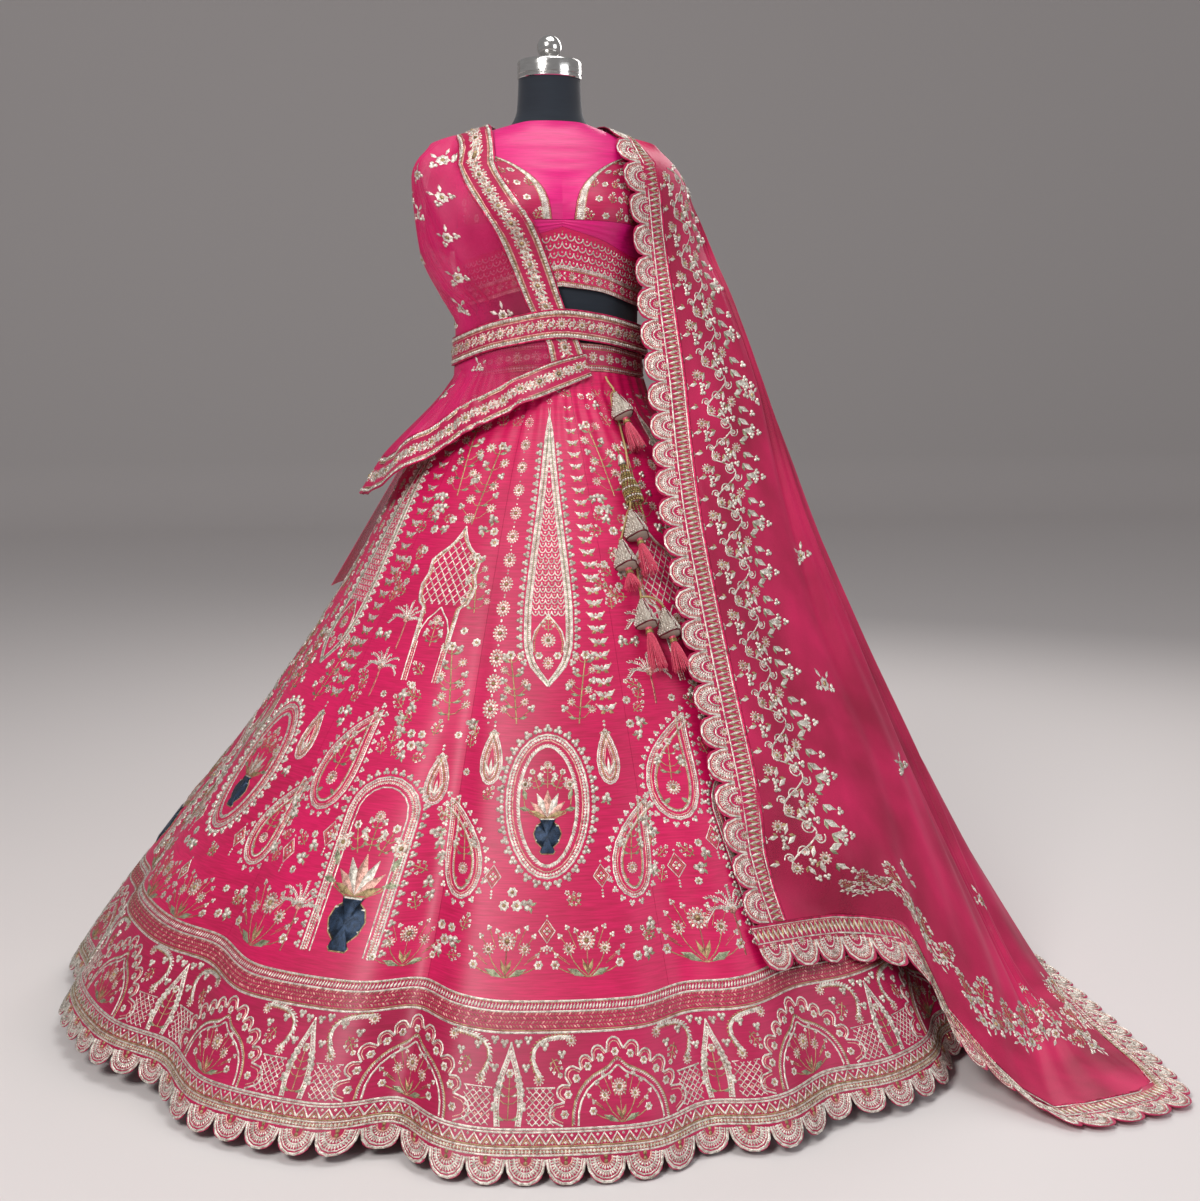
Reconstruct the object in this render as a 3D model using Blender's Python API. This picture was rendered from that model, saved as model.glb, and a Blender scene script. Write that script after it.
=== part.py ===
"""Lehenga choli with its belt and two dupattas, worn by a limbless dress form.

Metres, +Z up. The origin is on the floor under the middle of the form's stand, and the
front faces -Y. An angle goes round the figure from its front, positive towards +X.
Cloth is a thin wall: an outer skin placed by a rule, and an inner skin one cloth thickness
behind it along the surface's own normal.
"""
import functools
import math

import bmesh
import bpy
import numpy as np

for stale in list(bpy.data.objects):
    bpy.data.objects.remove(stale, do_unlink=True)

# Driving dimensions
SEAM = 0.0004            # clear gap between two sewn edges
SKIN = 0.0030            # clear gap between the figure's outline and what it wears
FORM_INSET = 0.0015      # the form's own surface lies this far inside that outline
FORM_WAIST = 1.000       # height where the form fills the skirt's waistband
FORM_WAIST_OUT = 0.0020
CLOTH = 0.0015           # wall of a sewn garment piece
NET = 0.0013             # wall of a dupatta
BELT_GAP = 0.0112        # the belt's inner face stands this far off the form
BELT_WALL = 0.0025
BELT_REACH = 0.022       # a dupatta keeps its belt clearance this far above and below the belt
PLATE_X = 0.1485         # flat armhole plate of the form
ARMHOLE_X = 0.1515       # plane in which the choli's armhole edge lies
NECK_TOP = 1.437
KALI_COUNT = 12          # flared panels of the skirt
KALI_COLUMNS = 8         # one column for each scallop of the hem
KALI_TURN = math.radians(-25.0)   # angle of the first kali seam
BORDER_NODES = 6
SCALLOP_DEPTH = 0.020
LOBE = 0.055             # width of one scallop of the dupatta's border
STAND_TUBE = 0.016
STAND_DISC = 0.180

# Sections of the form: height, half width, depth in front, depth behind
FIGURE = [
    (0.780, 0.148, 0.112, 0.114),
    (0.880, 0.153, 0.116, 0.118),
    (0.970, 0.146, 0.108, 0.108),
    (1.050, 0.142, 0.104, 0.100),
    (1.110, 0.143, 0.105, 0.098),
    (1.170, 0.147, 0.110, 0.099),
    (1.230, 0.157, 0.114, 0.102),
    (1.280, 0.164, 0.102, 0.100),
    (1.312, 0.157, 0.086, 0.090),
    (1.338, 0.132, 0.070, 0.076),
    (1.352, 0.095, 0.060, 0.066),
    (1.366, 0.064, 0.055, 0.057),
    (1.390, 0.0530, 0.052, 0.052),
    (1.437, 0.0500, 0.050, 0.050),
]
BUST = dict(height=1.222, reach=0.042, angle=math.radians(30), width=math.radians(22), lift=0.022)

# Sections of the skirt on its fold crests: height, right, left, front, back radius
SKIRT = [
    (1.030, 0.1475, 0.1475, 0.1095, 0.1065),
    (0.975, 0.1510, 0.1510, 0.1150, 0.1130),
    (0.850, 0.213, 0.223, 0.198, 0.193),
    (0.650, 0.323, 0.335, 0.335, 0.318),
    (0.450, 0.448, 0.472, 0.460, 0.438),
    (0.250, 0.580, 0.632, 0.590, 0.560),
    (0.100, 0.685, 0.748, 0.700, 0.670),
    (0.000, 0.755, 0.815, 0.772, 0.745),
]
# Folds that run down the skirt: angle, half width, depth at the hem, height where it starts
FOLDS = [
    (-88, 6.0, 0.030, 0.70), (-56, 6.0, 0.035, 0.60), (-26, 4.0, 0.050, 0.80),
    (7, 4.5, 0.040, 0.65), (22, 5.0, 0.030, 0.50), (44, 5.0, 0.035, 0.60),
    (63, 6.0, 0.040, 0.70), (85, 6.0, 0.035, 0.60), (107, 6.0, 0.040, 0.70),
    (130, 5.0, 0.035, 0.60), (153, 6.0, 0.045, 0.70), (176, 6.0, 0.035, 0.60),
    (-158, 6.0, 0.040, 0.70), (-134, 6.0, 0.035, 0.60), (-111, 5.0, 0.040, 0.70),
]
# Clear height of the hem above the floor, by angle
HEM_LIFT = [
    (-180, 0.004), (-110, 0.012), (-76, 0.026), (-58, 0.022), (-46, 0.010), (-26, 0.012),
    (-14, 0.002), (0, 0.002), (10, 0.006), (22, 0.012), (40, 0.012), (80, 0.008), (180, 0.004),
]
BORDER_HEIGHT = 0.182    # hem border, measured straight up from the hem
# Waistband and belt edges by angle: lower edge, upper edge
WAISTBAND = [(0, 0.987, 1.030), (35, 0.984, 1.026), (75, 0.975, 1.012), (120, 0.975, 1.010), (180, 0.978, 1.014)]
BELT = [
    (-180, 0.998, 1.043), (-135, 0.994, 1.039), (-93, 0.993, 1.038), (-45, 1.020, 1.065),
    (0, 1.034, 1.080), (30, 1.028, 1.074), (69, 1.012, 1.058), (110, 1.002, 1.047), (180, 0.998, 1.043),
]

# Choli edges by angle from the front, the same on both sides
LOWER_HEM = [(0, 1.114), (32, 1.107), (64, 1.090), (90, 1.083), (180, 1.088)]
LATTICE_TOP = [(0, 1.203), (26, 1.187), (59, 1.163), (90, 1.152)]
CUP_FOOT = [(0, 1.2130), (40, 1.211), (90, 1.204)]
NECKLINE = [(0, 1.3665), (35, 1.3660), (60, 1.3600), (90, 1.3490), (180, 1.3440)]
# Edge between the plain yoke and each embroidered cup: height, angle
CUP_EDGE = [
    (1.213, 8.3), (1.234, 9.6), (1.2535, 13.0), (1.2745, 22.0), (1.2925, 36.0),
    (1.3075, 53.0), (1.3170, 67.0),
]
CUP_TOP = 1.3170
SHOULDER_LIFT = 0.0135   # gap between the shoulders and a dupatta on them
SHOULDER_ZONE = 1.305    # above this a dupatta is lifted off what is under it, not pushed out
SLEEVE = dict(centre=1.250, cuff_x=0.1780, cuff_half_x=0.0165, cuff_half_y=0.046, cuff_z=1.176, cuff_rise=0.012)

# Dupatta fold lines. Each row is one line of the cloth, from the shoulder to the cut end:
# share of the width, then (angle, height, radius) at each station. Radius 0 lies on what is
# under it. The station before the last is the upper edge of the end border.
DUPATTA_A = [
    (0.00, (-90, 1.364, 0.098), (-49, 1.300, 0), (-20, 1.212, 0), (-8, 1.140, 0), (0, 1.092, 0),
     (14, 1.028, 0), (17, 1.012, 0), (22, 0.977, 0)),
    (0.11, (-90, 1.350, 0.148), (-69, 1.287, 0), (-44, 1.195, 0), (-36, 1.135, 0), (-27, 1.086, 0),
     (-12, 1.024, 0), (-9.7, 0.998, 0), (-2, 0.957, 0)),
    (0.30, (-94, 1.344, 0.172), (-81, 1.292, 0.214), (-70, 1.190, 0.190), (-60, 1.130, 0.162),
     (-52, 1.080, 0), (-45, 1.006, 0), (-40, 0.969, 0), (-28, 0.930, 0.168)),
    (0.50, (-98, 1.338, 0.188), (-93, 1.284, 0.216), (-86, 1.180, 0.208), (-80, 1.115, 0.178),
     (-72, 1.066, 0), (-66, 0.993, 0), (-62, 0.925, 0.190), (-51, 0.882, 0.218)),
    (0.70, (-103, 1.334, 0.186), (-102, 1.278, 0.212), (-100, 1.170, 0.202), (-94, 1.100, 0.172),
     (-88, 1.052, 0), (-83, 0.984, 0), (-80, 0.868, 0.252), (-72, 0.816, 0.290)),
    (0.85, (-108, 1.331, 0.180), (-108, 1.270, 0.200), (-110, 1.160, 0.186), (-107, 1.095, 0.160),
     (-103, 1.053, 0), (-99, 0.978, 0), (-95, 0.850, 0.268), (-91, 0.792, 0.306)),
    (1.00, (-112, 1.328, 0.168), (-114, 1.262, 0.184), (-118, 1.150, 0.168), (-118, 1.090, 0.146),
     (-116, 1.053, 0), (-113, 0.978, 0), (-109, 0.850, 0.262), (-105, 0.790, 0.300)),
]
DUPATTA_B = [
    (0.00, (90, 1.366, 0.088), (44, 1.297, 0.139), (45, 1.190, 0.158), (46, 1.095, 0.163), (38, 0.942, 0.203),
     (25, 0.796, 0.280), (19, 0.589, 0.400), (17, 0.397, 0.508), (17, 0.310, 0), (17, 0.245, 0), (17.5, 0.192, 0)),
    (0.06, (90, 1.355, 0.124), (70, 1.300, 0.171), (65, 1.190, 0.187), (59, 1.095, 0.208), (52, 0.942, 0.242),
     (38, 0.795, 0.303), (29, 0.586, 0.412), (24, 0.395, 0.528), (23, 0.305, 0), (22.7, 0.243, 0), (22.5, 0.190, 0)),
    (0.17, (92, 1.347, 0.164), (92, 1.302, 0.212), (90, 1.190, 0.246), (81, 1.095, 0.272), (70, 0.940, 0.313),
     (56, 0.790, 0.346), (44, 0.575, 0.426), (35, 0.385, 0.562), (32, 0.300, 0.614), (31, 0.235, 0), (30, 0.180, 0)),
    (0.23, (95, 1.344, 0.176), (95, 1.300, 0.218), (93, 1.190, 0.254), (83, 1.095, 0.284), (73, 0.938, 0.330),
     (61, 0.788, 0.366), (50, 0.575, 0.446), (41, 0.385, 0.575), (39, 0.290, 0.632), (38.5, 0.218, 0.660),
     (38.5, 0.150, 0.696)),
    (0.30, (98, 1.342, 0.180), (98, 1.297, 0.221), (95, 1.188, 0.262), (85, 1.092, 0.292), (76, 0.932, 0.345),
     (66, 0.785, 0.388), (56, 0.575, 0.466), (47, 0.385, 0.590), (43, 0.200, 0.680), (39.5, 0.100, 0.738),
     (38.0, 0.048, 0.780)),
    (0.44, (101, 1.340, 0.180), (101, 1.293, 0.222), (97, 1.182, 0.275), (87, 1.090, 0.300), (79, 0.920, 0.355),
     (71, 0.778, 0.404), (67, 0.565, 0.500), (62, 0.375, 0.592), (54, 0.070, 0.775), (39.5, 0.0095, 0.893),
     (38, 0.0085, 0.958)),
    (0.60, (105, 1.338, 0.177), (104, 1.288, 0.218), (101, 1.175, 0.270), (91, 1.085, 0.300), (84, 0.915, 0.360),
     (78, 0.772, 0.410), (73, 0.560, 0.500), (68, 0.370, 0.602), (59, 0.050, 0.790), (48.5, 0.0095, 0.975),
     (47.1, 0.0085, 1.038)),
    (0.76, (109, 1.336, 0.172), (109, 1.282, 0.208), (107, 1.165, 0.255), (99, 1.072, 0.290), (93, 0.905, 0.352),
     (89, 0.755, 0.405), (85, 0.550, 0.486), (80, 0.360, 0.590), (71, 0.040, 0.790), (60, 0.0095, 0.860),
     (59, 0.0085, 0.925)),
    (0.90, (113, 1.334, 0.166), (114, 1.276, 0.194), (114, 1.152, 0.230), (109, 1.060, 0.265), (104, 0.895, 0.325),
     (102, 0.742, 0.375), (99, 0.540, 0.460), (96, 0.350, 0.566), (91, 0.110, 0.700), (83, 0.040, 0.755),
     (83, 0.010, 0.810)),
    (1.00, (117, 1.332, 0.160), (119, 1.270, 0.180), (120, 1.140, 0.206), (118, 1.050, 0.236), (115, 0.885, 0.288),
     (115, 0.730, 0.340), (113, 0.530, 0.428), (111, 0.340, 0.536), (108, 0.150, 0.660), (104, 0.065, 0.735),
     (104, 0.012, 0.780)),
]
# Tails of both dupattas behind the shoulders, in the same columns
DUPATTA_A_TAIL = [
    (0.00, (-90, 1.364, 0.098), (-152, 1.318, 0), (-165, 1.200, 0), (-168, 1.040, 0.135), (-168, 0.900, 0.200),
     (-168, 0.720, 0.315)),
    (0.50, (-90, 1.356, 0.120), (-140, 1.308, 0), (-152, 1.195, 0), (-155, 1.035, 0.145), (-150, 0.890, 0.235),
     (-143, 0.680, 0.345)),
    (1.00, (-90, 1.349, 0.140), (-129, 1.300, 0), (-137, 1.190, 0.140), (-140, 1.030, 0.162), (-131, 0.880, 0.262),
     (-112, 0.630, 0.380)),
]
DUPATTA_B_TAIL = [
    (0.00, (90, 1.366, 0.088), (152, 1.318, 0), (165, 1.200, 0), (170, 1.040, 0.135), (170, 0.900, 0.195),
     (170, 0.735, 0.300)),
    (0.50, (90, 1.362, 0.105), (141, 1.308, 0), (152, 1.195, 0), (158, 1.035, 0.145), (157, 0.890, 0.215),
     (155, 0.720, 0.318)),
    (1.00, (90, 1.356, 0.121), (131, 1.300, 0), (140, 1.190, 0.140), (145, 1.030, 0.160), (142, 0.885, 0.240),
     (136, 0.705, 0.345)),
]
# Latkans on the skirt: label, angle, height, clear of the skirt, cone's length, tassel's length
LATKANS = [
    ("1", 31.0, 0.934, 0.025, 0.046, 0.056), ("2", 16.5, 0.762, 0.025, 0.050, 0.060),
    ("3", 10.8, 0.722, 0.025, 0.048, 0.034), ("4", 12.2, 0.642, 0.025, 0.046, 0.066),
    ("5", 17.3, 0.628, 0.025, 0.046, 0.054),
]
# The drawstring's first points, out of the waistband's lower edge: angle, height, clear
DRAWSTRING_TOP = [(33.5, 0.9765, 0.0030), (32.8, 0.970, 0.008), (32.0, 0.963, 0.016)]
# Where the string leaves from behind a cone on its way to the next: across, and share of its length
DRAWSTRING_EXIT = {"1": (0.0, -0.60), "2": (-0.022, -0.35), "3": (0.021, -0.30)}
STRING_RADIUS = 0.0016
DRAWSTRING_SPAN = {"1": [(26.0, 0.868, 0.0085), (17.8, 0.800, 0.0240)]}   # on the skirt between two cones
STRING_REST = 0.0085     # clear of the skirt where the string runs behind a cone


def curve(places, values, at):
    """Smooth curve through the values that never swings past them."""
    places = np.asarray(places, float)
    values = np.asarray(values, float)
    if places[0] > places[-1]:
        places = places[::-1]
        values = values[::-1]
    at = np.clip(np.asarray(at, float), places[0], places[-1])
    steps = np.diff(places)
    slopes = np.diff(values) / steps
    tangents = np.empty(len(values))
    tangents[0] = slopes[0]
    tangents[-1] = slopes[-1]
    for k in range(1, len(values) - 1):
        before, after = slopes[k - 1], slopes[k]
        tangents[k] = 2 * before * after / (before + after) if before * after > 0 else 0.0
    cell = np.clip(np.searchsorted(places, at, side="right") - 1, 0, len(places) - 2)
    share = (at - places[cell]) / steps[cell]
    rise = 3 * share ** 2 - 2 * share ** 3
    start_pull = (share ** 3 - 2 * share ** 2 + share) * steps[cell] * tangents[cell]
    end_pull = (share ** 3 - share ** 2) * steps[cell] * tangents[cell + 1]
    return values[cell] * (1 - rise) + values[cell + 1] * rise + start_pull + end_pull


def column(table, number, at):
    """Value of one column of a table at a place in its first column."""
    return curve([row[0] for row in table], [row[number] for row in table], at)


def even_angle(angle):
    """Angle from the front in degrees, the same on both sides."""
    return np.abs(np.degrees(angle))


def oval(angle, side, depth):
    """Polar radius of an oval section."""
    return 1.0 / np.sqrt((np.sin(angle) / side) ** 2 + (np.cos(angle) / depth) ** 2)


def figure_radius(angle, height):
    """Radius of the dress form at an angle and height."""
    depth = np.where(np.cos(angle) > 0, column(FIGURE, 2, height), column(FIGURE, 3, height))
    across = (np.abs(angle) - BUST["angle"]) / BUST["width"]
    up = (height - BUST["height"]) / BUST["reach"]
    return oval(angle, column(FIGURE, 1, height), depth) + BUST["lift"] * np.exp(-up ** 2 - across ** 2)


def skirt_crest(angle, height):
    """Radius of the skirt before its folds are pressed in."""
    side = np.where(np.sin(angle) > 0, column(SKIRT, 1, height), column(SKIRT, 2, height))
    depth = np.where(np.cos(angle) > 0, column(SKIRT, 3, height), column(SKIRT, 4, height))
    return oval(angle, side, depth)


def skirt_radius(angle, height):
    """Radius of the skirt with its folds."""
    radius = skirt_crest(angle, height)
    for fold_angle, half_width, depth, start in FOLDS:
        turn = (np.degrees(angle) - fold_angle + 180.0) % 360.0 - 180.0
        fade = np.clip(1.0 - height / start, 0.0, 1.0) ** 1.3
        radius = radius - depth * fade * np.exp(-(turn / half_width) ** 2)
    return radius


def polar(angle, radius, height):
    """Points from an angle round the figure, a radius and a height."""
    return np.stack([radius * np.sin(angle), -radius * np.cos(angle), height + 0.0 * angle], axis=-1)


def offset_point(radius_rule, angle, height, out):
    """Point on a surface of revolution-like rule, moved out along its normal."""
    angle, height = np.broadcast_arrays(np.asarray(angle, float), np.asarray(height, float))
    small = 0.0005
    here = polar(angle, radius_rule(angle, height), height)
    across = polar(angle + small, radius_rule(angle + small, height), height) - here
    up = polar(angle, radius_rule(angle, height + small), height + small) - here
    normal = np.cross(across, up)
    normal /= np.linalg.norm(normal, axis=-1, keepdims=True)
    return here + normal * out


def figure_point(angle, height, out):
    return offset_point(figure_radius, angle, height, out)


def skirt_point(angle, height, out):
    return offset_point(skirt_radius, angle, height, out)


MATERIALS = {}


def finish(name, colour, roughness, metallic=0.0):
    """One Principled material, made once for each name."""
    if name not in MATERIALS:
        made = bpy.data.materials.new(name)
        made.use_nodes = True
        shader = made.node_tree.nodes["Principled BSDF"]
        shader.inputs["Base Color"].default_value = (*colour, 1.0)
        shader.inputs["Roughness"].default_value = roughness
        shader.inputs["Metallic"].default_value = metallic
        MATERIALS[name] = made
    return MATERIALS[name]


RAW_SILK = finish("raw_silk", (0.70, 0.010, 0.130), 0.55)
EMBROIDERED = finish("embroidered_silk", (0.55, 0.150, 0.170), 0.50, 0.2)
FORM_CLOTH = finish("form_cloth", (0.012, 0.020, 0.035), 0.75)
CHROME = finish("chrome", (0.75, 0.75, 0.74), 0.12, 1.0)
DUPATTA_NET = finish("dupatta_net", (0.62, 0.012, 0.110), 0.45)
SILVER_SEQUIN = finish("silver_sequin", (0.60, 0.55, 0.45), 0.35, 0.8)
TASSEL_SILK = finish("tassel_silk", (0.75, 0.060, 0.100), 0.50)
CORD_SILK = finish("cord_silk", (0.42, 0.300, 0.120), 0.55)


def add_object(name, bm, material, sharp=35.0):
    """Close a bmesh into one named object with outward faces."""
    bmesh.ops.recalc_face_normals(bm, faces=bm.faces)
    mesh = bpy.data.meshes.new(name)
    bm.to_mesh(mesh)
    bm.free()
    mesh.shade_smooth()
    mesh.set_sharp_from_angle(angle=math.radians(sharp))
    mesh.materials.append(material)
    made = bpy.data.objects.new(name, mesh)
    bpy.context.scene.collection.objects.link(made)
    return made


def skin_faces(bm, rows, closed):
    """Faces between rows of vertices. A fine row has three edges for each coarse one."""
    for upper, lower in zip(rows, rows[1:]):
        if len(upper) == len(lower):
            count = len(upper) if closed else len(upper) - 1
            for k in range(count):
                after = (k + 1) % len(upper)
                bm.faces.new((upper[k], upper[after], lower[after], lower[k]))
            continue
        for k in range(len(upper) - 1):
            left, right = upper[k], upper[k + 1]
            first, second, third, fourth = lower[3 * k:3 * k + 4]
            bm.faces.new((left, second, first))
            bm.faces.new((left, right, third, second))
            bm.faces.new((right, fourth, third))


def rim_faces(bm, outer, inner):
    """Faces that join two open lines of vertices."""
    for k in range(len(outer) - 1):
        bm.faces.new((outer[k], outer[k + 1], inner[k + 1], inner[k]))


def wall(name, outer, inner, material, closed=False):
    """A thin wall from an outer and an inner skin, given as rows of points."""
    bm = bmesh.new()
    skins = [[[bm.verts.new(point) for point in row] for row in skin] for skin in (outer, inner)]
    for skin in skins:
        skin_faces(bm, skin, closed)
    front, back = skins
    for number in (0, -1):
        top, under = list(front[number]), list(back[number])
        if closed:
            top.append(top[0])
            under.append(under[0])
        rim_faces(bm, top, under)
        if not closed:
            rim_faces(bm, [row[number] for row in front], [row[number] for row in back])
    return add_object(name, bm, material)


def turned(name, profile, segments, material, centre=(0.0, 0.0), sharp=35.0):
    """A solid of revolution from (radius, height) pairs, closed at both ends."""
    bm = bmesh.new()
    rings = []
    for radius, height in profile:
        ring = []
        for k in range(segments):
            turn = 2 * math.pi * k / segments
            ring.append(bm.verts.new((centre[0] + radius * math.cos(turn), centre[1] + radius * math.sin(turn), height)))
        rings.append(ring)
    skin_faces(bm, rings, True)
    bm.faces.new(rings[0])
    bm.faces.new(rings[-1])
    return add_object(name, bm, material, sharp)


# Dress form
def build_form():
    """Jersey-covered torso with flat armhole plates, chrome neck cap, finial and stand."""
    heights = [0.780, 0.880, 0.940, FORM_WAIST, 1.060, 1.120, 1.170, 1.205, 1.235, 1.262, 1.286,
               1.306, 1.324, 1.338, 1.347, 1.356, 1.370, 1.390, NECK_TOP]
    segments = 28
    bm = bmesh.new()
    rings = []
    for height in heights:
        ring = []
        for k in range(segments):
            angle = 2 * math.pi * (k + 0.5) / segments
            angle = (angle + math.pi) % (2 * math.pi) - math.pi
            out = FORM_WAIST_OUT if height == FORM_WAIST else -FORM_INSET
            point = figure_point(np.float64(angle), height, out)
            point[0] = min(max(point[0], -PLATE_X), PLATE_X)
            ring.append(bm.verts.new(point))
        rings.append(ring)
    skin_faces(bm, rings, True)
    bm.faces.new(rings[0])
    bm.faces.new(rings[-1])
    add_object("form_torso", bm, FORM_CLOTH, 50.0)
    cap_low, cap_high = NECK_TOP + SEAM, 1.466
    turned("form_neck_cap", [
        (0.0490, cap_low), (0.0500, cap_low + 0.0015), (0.0500, cap_high - 0.0035), (0.0485, cap_high - 0.0012),
        (0.0460, cap_high), (0.0165, cap_high + 0.0012), (0.0110, cap_high + 0.0030)], 24, CHROME)
    ball_low, ball_radius = cap_high + 0.0030 + SEAM, 0.0190
    ball = [(0.0100, ball_low), (0.0115, ball_low + 0.0020)]
    for step in range(1, 8):
        tilt = math.radians(-60 + 150 * step / 8)
        ball.append((ball_radius * math.cos(tilt), ball_low + 0.0175 + ball_radius * math.sin(tilt)))
    ball.append((0.0030, ball_low + 0.0175 + ball_radius * 0.995))
    turned("form_finial", ball, 16, CHROME, sharp=60.0)
    torso_foot = heights[0] - SEAM
    turned("form_stand", [
        (STAND_DISC, 0.0), (STAND_DISC, 0.006), (STAND_DISC - 0.006, 0.010), (0.030, 0.014), (0.024, 0.030),
        (STAND_TUBE, 0.034), (STAND_TUBE, torso_foot - 0.010), (0.034, torso_foot - 0.008), (0.034, torso_foot)],
        20, CHROME)


# Choli
@functools.lru_cache(maxsize=None)
def side_limit(height, behind=False):
    """Angle from the front, or from the back, where the choli's outer skin reaches the
    armhole plane, or the side seam where it never does."""
    seam = math.radians(90.0) - SEAM / 0.15
    low, high = math.radians(45.0), seam

    def clear(turn):
        angle = math.pi - turn if behind else turn
        return figure_point(angle, height, SKIN + CLOTH)[0] < ARMHOLE_X

    if clear(high):
        return seam
    for _ in range(30):
        middle = (low + high) / 2
        if clear(middle):
            low = middle
        else:
            high = middle
    return low


def choli_panel(name, place, rows, columns, material, relief=None):
    """A choli piece from a rule that gives the angle and height at (across, up)."""
    outer, inner = [], []
    for up in rows:
        outer_row, inner_row = [], []
        for across in columns:
            angle, height = place(across, up)
            lift = relief(across, up) if relief else 0.0
            outer_row.append(figure_point(angle, height, SKIN + CLOTH + lift))
            inner_row.append(figure_point(angle, height, SKIN))
        outer.append(outer_row)
        inner.append(inner_row)
    return wall(name, outer, inner, material)


def steps(count, start=0.0, end=1.0):
    return np.linspace(start, end, count + 1)


def blend(start, end, share):
    return start + (end - start) * share


def cup_edge(height):
    """Angle of the seam between yoke and cup, held just inside the armhole."""
    angle = math.radians(float(column(CUP_EDGE, 1, height)))
    return min(angle, side_limit(height) - math.radians(2.0))


def yoke_place(across, up):
    foot, top = float(column(CUP_FOOT, 1, 0)), NECKLINE[0][1]
    height = blend(foot, top, up)
    if height < CUP_TOP + SEAM:
        half = cup_edge(height)
    else:
        half = side_limit(height)
    angle = across * half
    drop = top - float(column(NECKLINE, 1, even_angle(angle)))
    return angle, height - drop * up ** 12


def cup_place(side, across, up):
    foot = float(column(CUP_FOOT, 1, 0))
    height = blend(foot, CUP_TOP, up)
    inner = cup_edge(height) + SEAM / 0.12
    angle = blend(inner, side_limit(height), across)
    sink = foot - float(column(CUP_FOOT, 1, even_angle(angle)))
    return side * angle, height - sink * (1 - up) ** 4


def band_place(across, up):
    angle = across * blend(side_limit(LATTICE_TOP[-1][1]), side_limit(CUP_FOOT[-1][1]), up)
    low = float(column(LATTICE_TOP, 1, even_angle(angle))) + SEAM / 2
    high = float(column(CUP_FOOT, 1, even_angle(angle))) - SEAM
    return angle, blend(low, high, up)


def lower_place(across, up):
    angle = across * side_limit(1.12)
    low = float(column(LOWER_HEM, 1, even_angle(angle)))
    high = float(column(LATTICE_TOP, 1, even_angle(angle))) - SEAM / 2
    return angle, blend(low, high, up)


def back_place(side, across, up):
    """across 0 is the side seam, 1 the back opening."""
    end = math.pi - SEAM / 0.18
    neck = float(column(NECKLINE, 1, 90))
    low = float(column(LOWER_HEM, 1, 90))
    height = blend(low, neck, up)
    angle = blend(math.pi - side_limit(height, True), end, across)
    turn = float(even_angle(angle))
    height += (float(column(LOWER_HEM, 1, turn)) - low) * (1 - up)
    height += (float(column(NECKLINE, 1, turn)) - neck) * up ** 6
    return side * angle, height


def soft_pleats(across, up):
    """Five shallow pleats that run along the band under the cups."""
    return 0.0011 * (0.5 - 0.5 * math.cos(2 * math.pi * 2.5 * up)) * math.sin(math.pi * up)


def build_choli():
    yoke_rows = [(h - 1.213) / (1.3665 - 1.213) for h in
                 (1.213, 1.234, 1.2535, 1.268, 1.281, 1.2925, 1.303, 1.3105, 1.3170, 1.3210, 1.330, 1.341, 1.353, 1.3665)]
    choli_panel("choli_yoke_front", yoke_place, yoke_rows, steps(10, -1, 1), RAW_SILK)
    cup_rows = [(h - 1.213) / (CUP_TOP - 1.213) for h in
                (1.213, 1.234, 1.2535, 1.268, 1.281, 1.2925, 1.303, 1.3105, CUP_TOP)]
    back_rows = (0.0, 0.17, 0.33, 0.49, 0.63, 0.75, 0.85, 0.92, 0.965, 1.0)
    for side, label in ((-1, "right"), (1, "left")):
        choli_panel("choli_cup_" + label, lambda a, u, s=side: cup_place(s, a, u), cup_rows, steps(7), EMBROIDERED)
        choli_panel("choli_back_" + label, lambda a, u, s=side: back_place(s, a, u), back_rows, steps(6), RAW_SILK)
        build_sleeve(side, label)
    choli_panel("choli_underbust_band", band_place, steps(4), steps(16, -1, 1), RAW_SILK, soft_pleats)
    choli_panel("choli_lower_front", lower_place, steps(3), steps(16, -1, 1), EMBROIDERED)


@functools.lru_cache(maxsize=None)
def armhole_reach(turn, out):
    """Distance from the armhole's middle to the choli surface in the armhole plane."""
    low, high = 0.0, 0.12
    x = ARMHOLE_X + SEAM
    for _ in range(30):
        middle = (low + high) / 2
        y = -middle * math.sin(turn)
        height = SLEEVE["centre"] + middle * math.cos(turn)
        angle = np.float64(math.atan2(x, -y))
        inside = math.hypot(x, y) < np.linalg.norm(figure_point(angle, height, out)[:2])
        if inside:
            low = middle
        else:
            high = middle
    return low


def build_sleeve(side, label):
    """A short limp cap sleeve, from the armhole loop down to an open cuff."""
    around, along = 14, 4
    outer, inner = [], []
    for step in range(along + 1):
        share = step / along
        rows = ([], [])
        for k in range(around):
            turn = 2 * math.pi * k / around
            for number, out, thin in ((0, SKIN + CLOTH, 0.0), (1, SKIN, CLOTH)):
                reach = armhole_reach(turn, out)
                start = np.array([ARMHOLE_X + SEAM, -reach * math.sin(turn), SLEEVE["centre"] + reach * math.cos(turn)])
                half_x, half_y = SLEEVE["cuff_half_x"] - thin, SLEEVE["cuff_half_y"] - thin
                end = np.array([SLEEVE["cuff_x"] + half_x * math.cos(turn), -half_y * math.sin(turn), SLEEVE["cuff_z"]])
                end[2] += SLEEVE["cuff_rise"] * math.cos(turn)
                length = np.linalg.norm(end - start)
                pull_out = np.array([0.9 * length * (0.62 - 0.30 * math.cos(turn)), 0.0, 0.0])
                pull_down = np.array([0.0, 0.0, 0.45 * length])
                a, b, c, d = start, start + pull_out, end + pull_down, end
                point = (1 - share) ** 3 * a + 3 * share * (1 - share) ** 2 * b + 3 * share ** 2 * (1 - share) * c
                point = point + share ** 3 * d
                rows[number].append((side * point[0], point[1], point[2]))
        outer.append(rows[0])
        inner.append(rows[1])
    wall("choli_sleeve_" + label, outer, inner, EMBROIDERED, closed=True)


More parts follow.
